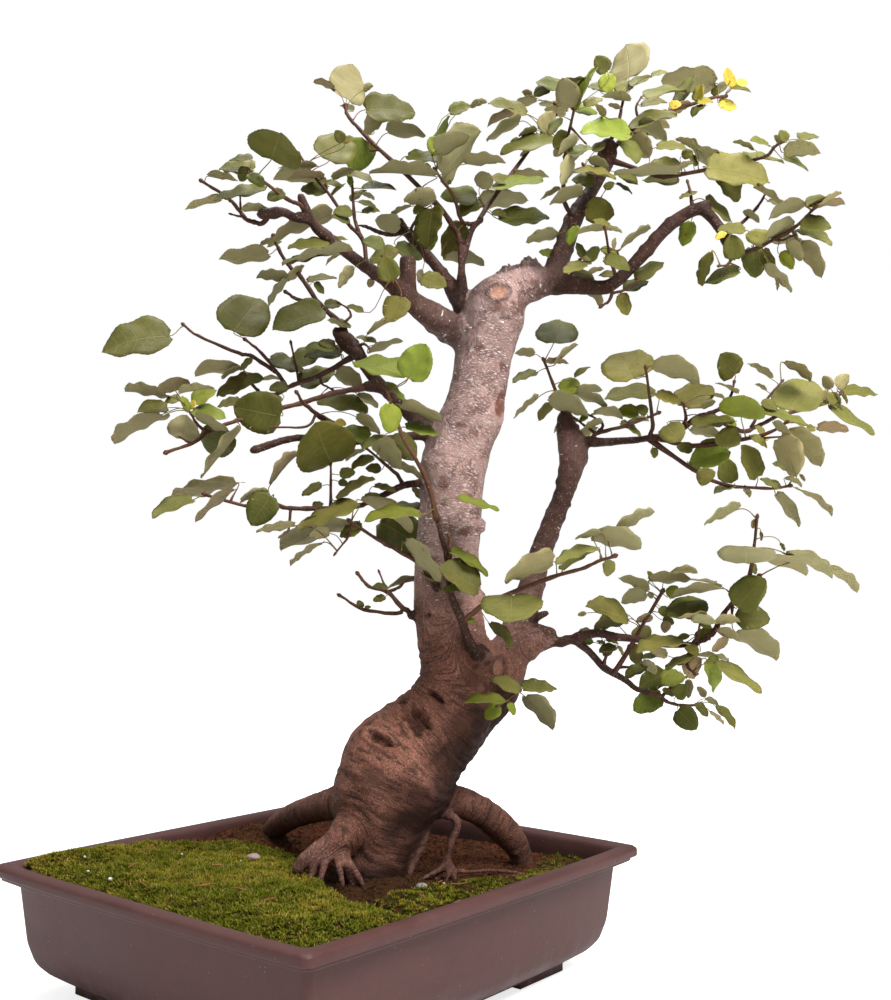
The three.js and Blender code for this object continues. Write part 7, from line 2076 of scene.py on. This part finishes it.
class BonsaiSoil(bpy.types.PropertyGroup):
    dry: colour_of("Dry Soil", "Colour of the dry peat at the back", (0.105, 0.034, 0.017))
    damp: colour_of("Damp Soil", "Colour of the damp peat at the front", (0.055, 0.026, 0.011))
    crumbs: IntProperty(name="Crumbs", description="Crumbs to the square metre of bare soil",
                        min=0, max=200000, default=90000)


class BonsaiMoss(bpy.types.PropertyGroup):
    # Painted shade at the feet of the shoots and between them
    deep: colour_of("Shadow Green", "Colour between the shoots", (0.016, 0.018, 0.003))
    root: colour_of("Moss Root", "Colour of the earth that shows in thin moss", (0.040, 0.017, 0.008))
    green: colour_of("Green", "Colour of most leaves", (0.116, 0.130, 0.009))
    yellow: colour_of("Yellow Green", "Colour of the drier patches", (0.270, 0.215, 0.025))
    bright: colour_of("Bright Green", "Colour of the young leaves", (0.240, 0.265, 0.018))
    tan: colour_of("Tan", "Colour of the dry tips", (0.46, 0.30, 0.12))
    shoots: IntProperty(name="Shoots", description="Shoots to the square metre of moss",
                        min=0, max=200000, default=135000)


class BonsaiBark(bpy.types.PropertyGroup):
    upper: colour_of("Upper Bark", "Colour of the smooth bark high on the trunk", (0.350, 0.215, 0.190))
    blotch: colour_of("Blotches", "Colour of the brown stains on the smooth bark", (0.115, 0.050, 0.034))
    foot: colour_of("Lower Bark", "Colour of the wrinkled bark at the foot", (0.380, 0.160, 0.110))
    rust: colour_of("Rust", "Colour of the reddish patches at the foot", (0.240, 0.092, 0.055))
    limb: colour_of("Limb Bark", "Colour of the thin limbs", (0.042, 0.018, 0.012))
    # The pores' own pale colour, raised to near white as painted glints
    silver_and_glint: colour_of("Silver", "Colour of the pale pores", (0.84, 0.77, 0.75))
    grit: colour_of("Grit", "Colour of the fine dots all over the bark", (0.48, 0.36, 0.30))
    # The colour of the painted shade on the undersides, near the soil and on the right of the foot
    bark_shade: colour_of("Damp Bark", "Colour of the bark on the shaded side near the soil", (0.017, 0.006, 0.004))
    cut: colour_of("Cut Wood", "Colour of a sawn stub", (0.50, 0.27, 0.185))
    wound: colour_of("Healing Wood", "Colour of the scars on the right of the trunk", (0.15, 0.045, 0.025))
    wrinkle: FloatProperty(name="Wrinkles", description="Depth of the wrinkles at the foot in millimetres",
                           min=0, max=4, default=1.1)
    lenticels: IntProperty(name="Pores", description="Raised pores to the square metre of smooth bark",
                           min=0, max=100000, default=22000)


class BonsaiLeaf(bpy.types.PropertyGroup):
    dark: colour_of("Dark Leaf", "Colour of the older leaves", (0.098, 0.096, 0.020))
    green: colour_of("Green Leaf", "Colour of the large leaves", (0.132, 0.122, 0.030))
    bright: colour_of("Bright Leaf", "Colour of the young leaves", (0.170, 0.195, 0.026))
    pale: colour_of("Turned Leaf", "Colour of leaves that show their back", (0.235, 0.212, 0.085))
    yellow: colour_of("Yellow Leaf", "Colour of the fading leaves", (0.43, 0.33, 0.05))
    red: colour_of("Ruddy Leaf", "Colour of the leaves that redden", (0.150, 0.080, 0.035))
    underside: colour_of("Underside", "Colour of the back of a leaf", (0.325, 0.285, 0.155))
    vein: colour_of("Vein", "Colour of the veins on the upper face", (0.290, 0.250, 0.090))
    pores: colour_of("Twig Pores", "Colour of the pores on the twigs", (0.27, 0.17, 0.12))
    twig: colour_of("Twig", "Colour of the twigs", (0.075, 0.032, 0.021))
    twig_tip: colour_of("Twig Tip", "Colour of the young end of a twig", (0.150, 0.066, 0.033))
    shoot: colour_of("Front Shoot", "Colour of the young shoot in front of the trunk", (0.115, 0.052, 0.027))
    stalk_pale: colour_of("Pale Stalk", "Colour of the greenest leaf stalks", (0.240, 0.220, 0.060))
    stalk_red: colour_of("Red Stalk", "Colour of the reddest leaf stalks", (0.180, 0.070, 0.030))
    sunny: FloatProperty(name="Sunny Side", description="How much paler the leaves on the right are",
                         min=0, max=2, default=0.4)
    thickness: FloatProperty(name="Leaf Thickness", description="Thickness of a blade in millimetres",
                             min=0.1, max=1, default=0.3)
    stalk: FloatProperty(name="Stalk Radius", description="Radius of a leaf stalk in millimetres",
                         min=0.2, max=1.5, default=0.5)
    curl: FloatProperty(name="Curl", description="How far the margins wave, as a share of the length",
                        subtype="FACTOR", min=0, max=0.5, default=0.14)


class BonsaiLitter(bpy.types.PropertyGroup):
    perlite: colour_of("Perlite", "Colour of the white grains", (0.72, 0.70, 0.66))
    needle: colour_of("Needle", "Colour of the dry needles", (0.33, 0.13, 0.035))


class BonsaiStage(bpy.types.PropertyGroup):
    floor: colour_of("Floor", "Colour of the floor", (0.86, 0.86, 0.86))
    sky: colour_of("Studio", "Colour of the light all round", (1.0, 1.0, 1.0))
    sky_strength: FloatProperty(name="Studio Light", description="Strength of the light all round",
                                min=0, max=10, default=0.35)
    backdrop: FloatProperty(name="Backdrop", description="Brightness of the studio behind the tree",
                            min=0, max=10, default=1.0)
    floor_glow: FloatProperty(name="Floor Glow", description="How much paler than lit the floor looks",
                              min=0, max=10, default=0.75)
    lamp_strength: FloatProperty(name="Lamps", description="Strength of the lamps, 1 as listed",
                                 subtype="FACTOR", min=0, max=10, default=1.0)
    floor_size: FloatProperty(name="Floor Size", description="Length of a side of the floor",
                              unit="LENGTH", min=1, max=100, default=30.0)
    focal_length: FloatProperty(name="Focal Length", description="Lens for a 36 mm high picture",
                                unit="CAMERA", min=10, max=200, default=42.48)
    tilt: FloatProperty(name="Tilt", description="How far the camera looks up", unit="ROTATION",
                        min=-1.5, max=1.5, default=math.radians(3.95))


class BONSAI_OT_pot(bpy.types.Operator):
    """Make the pot with its rolled rim and corner feet"""

    bl_idname = "bonsai.pot"
    bl_label = "Make Pot"

    def execute(self, context):
        make_pot(context.scene.bonsai_pot)
        return {"FINISHED"}


class BONSAI_OT_soil(bpy.types.Operator):
    """Make the soil and strew its crumbs"""

    bl_idname = "bonsai.soil"
    bl_label = "Make Soil"

    def execute(self, context):
        make_soil(context.scene.bonsai_soil)
        return {"FINISHED"}


class BONSAI_OT_moss(bpy.types.Operator):
    """Make the moss beds and grow their shoots"""

    bl_idname = "bonsai.moss"
    bl_label = "Grow Moss"

    def execute(self, context):
        make_moss(context.scene.bonsai_moss)
        return {"FINISHED"}


class BONSAI_OT_litter(bpy.types.Operator):
    """Lay the stones, the perlite and the dry needles"""

    bl_idname = "bonsai.litter"
    bl_label = "Lay Litter"

    def execute(self, context):
        make_pebbles()
        make_litter(context.scene.bonsai_litter)
        return {"FINISHED"}


class BONSAI_OT_wood(bpy.types.Operator):
    """Make the trunk, roots and limbs with their bark"""

    bl_idname = "bonsai.wood"
    bl_label = "Grow Wood"

    def execute(self, context):
        make_wood(context.scene.bonsai_bark)
        return {"FINISHED"}


class BONSAI_OT_leaves(bpy.types.Operator):
    """Make every spray with its twigs, stalks and leaves"""

    bl_idname = "bonsai.leaves"
    bl_label = "Grow Leaves"

    def execute(self, context):
        make_sprays(context.scene.bonsai_leaf)
        return {"FINISHED"}


class BONSAI_OT_stage(bpy.types.Operator):
    """Set up the floor, the lamps and the camera"""

    bl_idname = "bonsai.stage"
    bl_label = "Set Stage"

    def execute(self, context):
        make_stage(context.scene.bonsai_stage)
        return {"FINISHED"}


SETTINGS = {"bonsai_pot": BonsaiPot, "bonsai_soil": BonsaiSoil, "bonsai_moss": BonsaiMoss,
            "bonsai_litter": BonsaiLitter, "bonsai_bark": BonsaiBark, "bonsai_leaf": BonsaiLeaf,
            "bonsai_stage": BonsaiStage}
STEPS_IN_ORDER = [("stage", "bonsai_stage"), ("pot", "bonsai_pot"), ("soil", "bonsai_soil"),
                  ("moss", "bonsai_moss"), ("litter", "bonsai_litter"), ("wood", "bonsai_bark"),
                  ("leaves", "bonsai_leaf")]


class BONSAI_PT_sidebar(bpy.types.Panel):
    """The pieces of the bonsai with their sizes and colours"""

    bl_idname = "BONSAI_PT_sidebar"
    bl_label = "Italian Alder Bonsai"
    bl_space_type = "VIEW_3D"
    bl_region_type = "UI"
    bl_category = "Bonsai"

    def draw(self, context):
        for step, group in STEPS_IN_ORDER:
            box = self.layout.box()
            settings = getattr(context.scene, group)
            for name in settings.__annotations__:
                box.prop(settings, name)
            box.operator("bonsai." + step)


CLASSES = (*SETTINGS.values(), BONSAI_OT_pot, BONSAI_OT_soil, BONSAI_OT_moss, BONSAI_OT_litter,
           BONSAI_OT_wood, BONSAI_OT_leaves, BONSAI_OT_stage, BONSAI_PT_sidebar)


def register():
    for made in CLASSES:
        bpy.utils.register_class(made)
    for name, group in SETTINGS.items():
        setattr(bpy.types.Scene, name, PointerProperty(type=group))


def unregister():
    for name in SETTINGS:
        delattr(bpy.types.Scene, name)
    for made in reversed(CLASSES):
        bpy.utils.unregister_class(made)


def main():
    register()
    for step, _ in STEPS_IN_ORDER:
        getattr(bpy.ops.bonsai, step)()


if __name__ == "__main__":
    main()
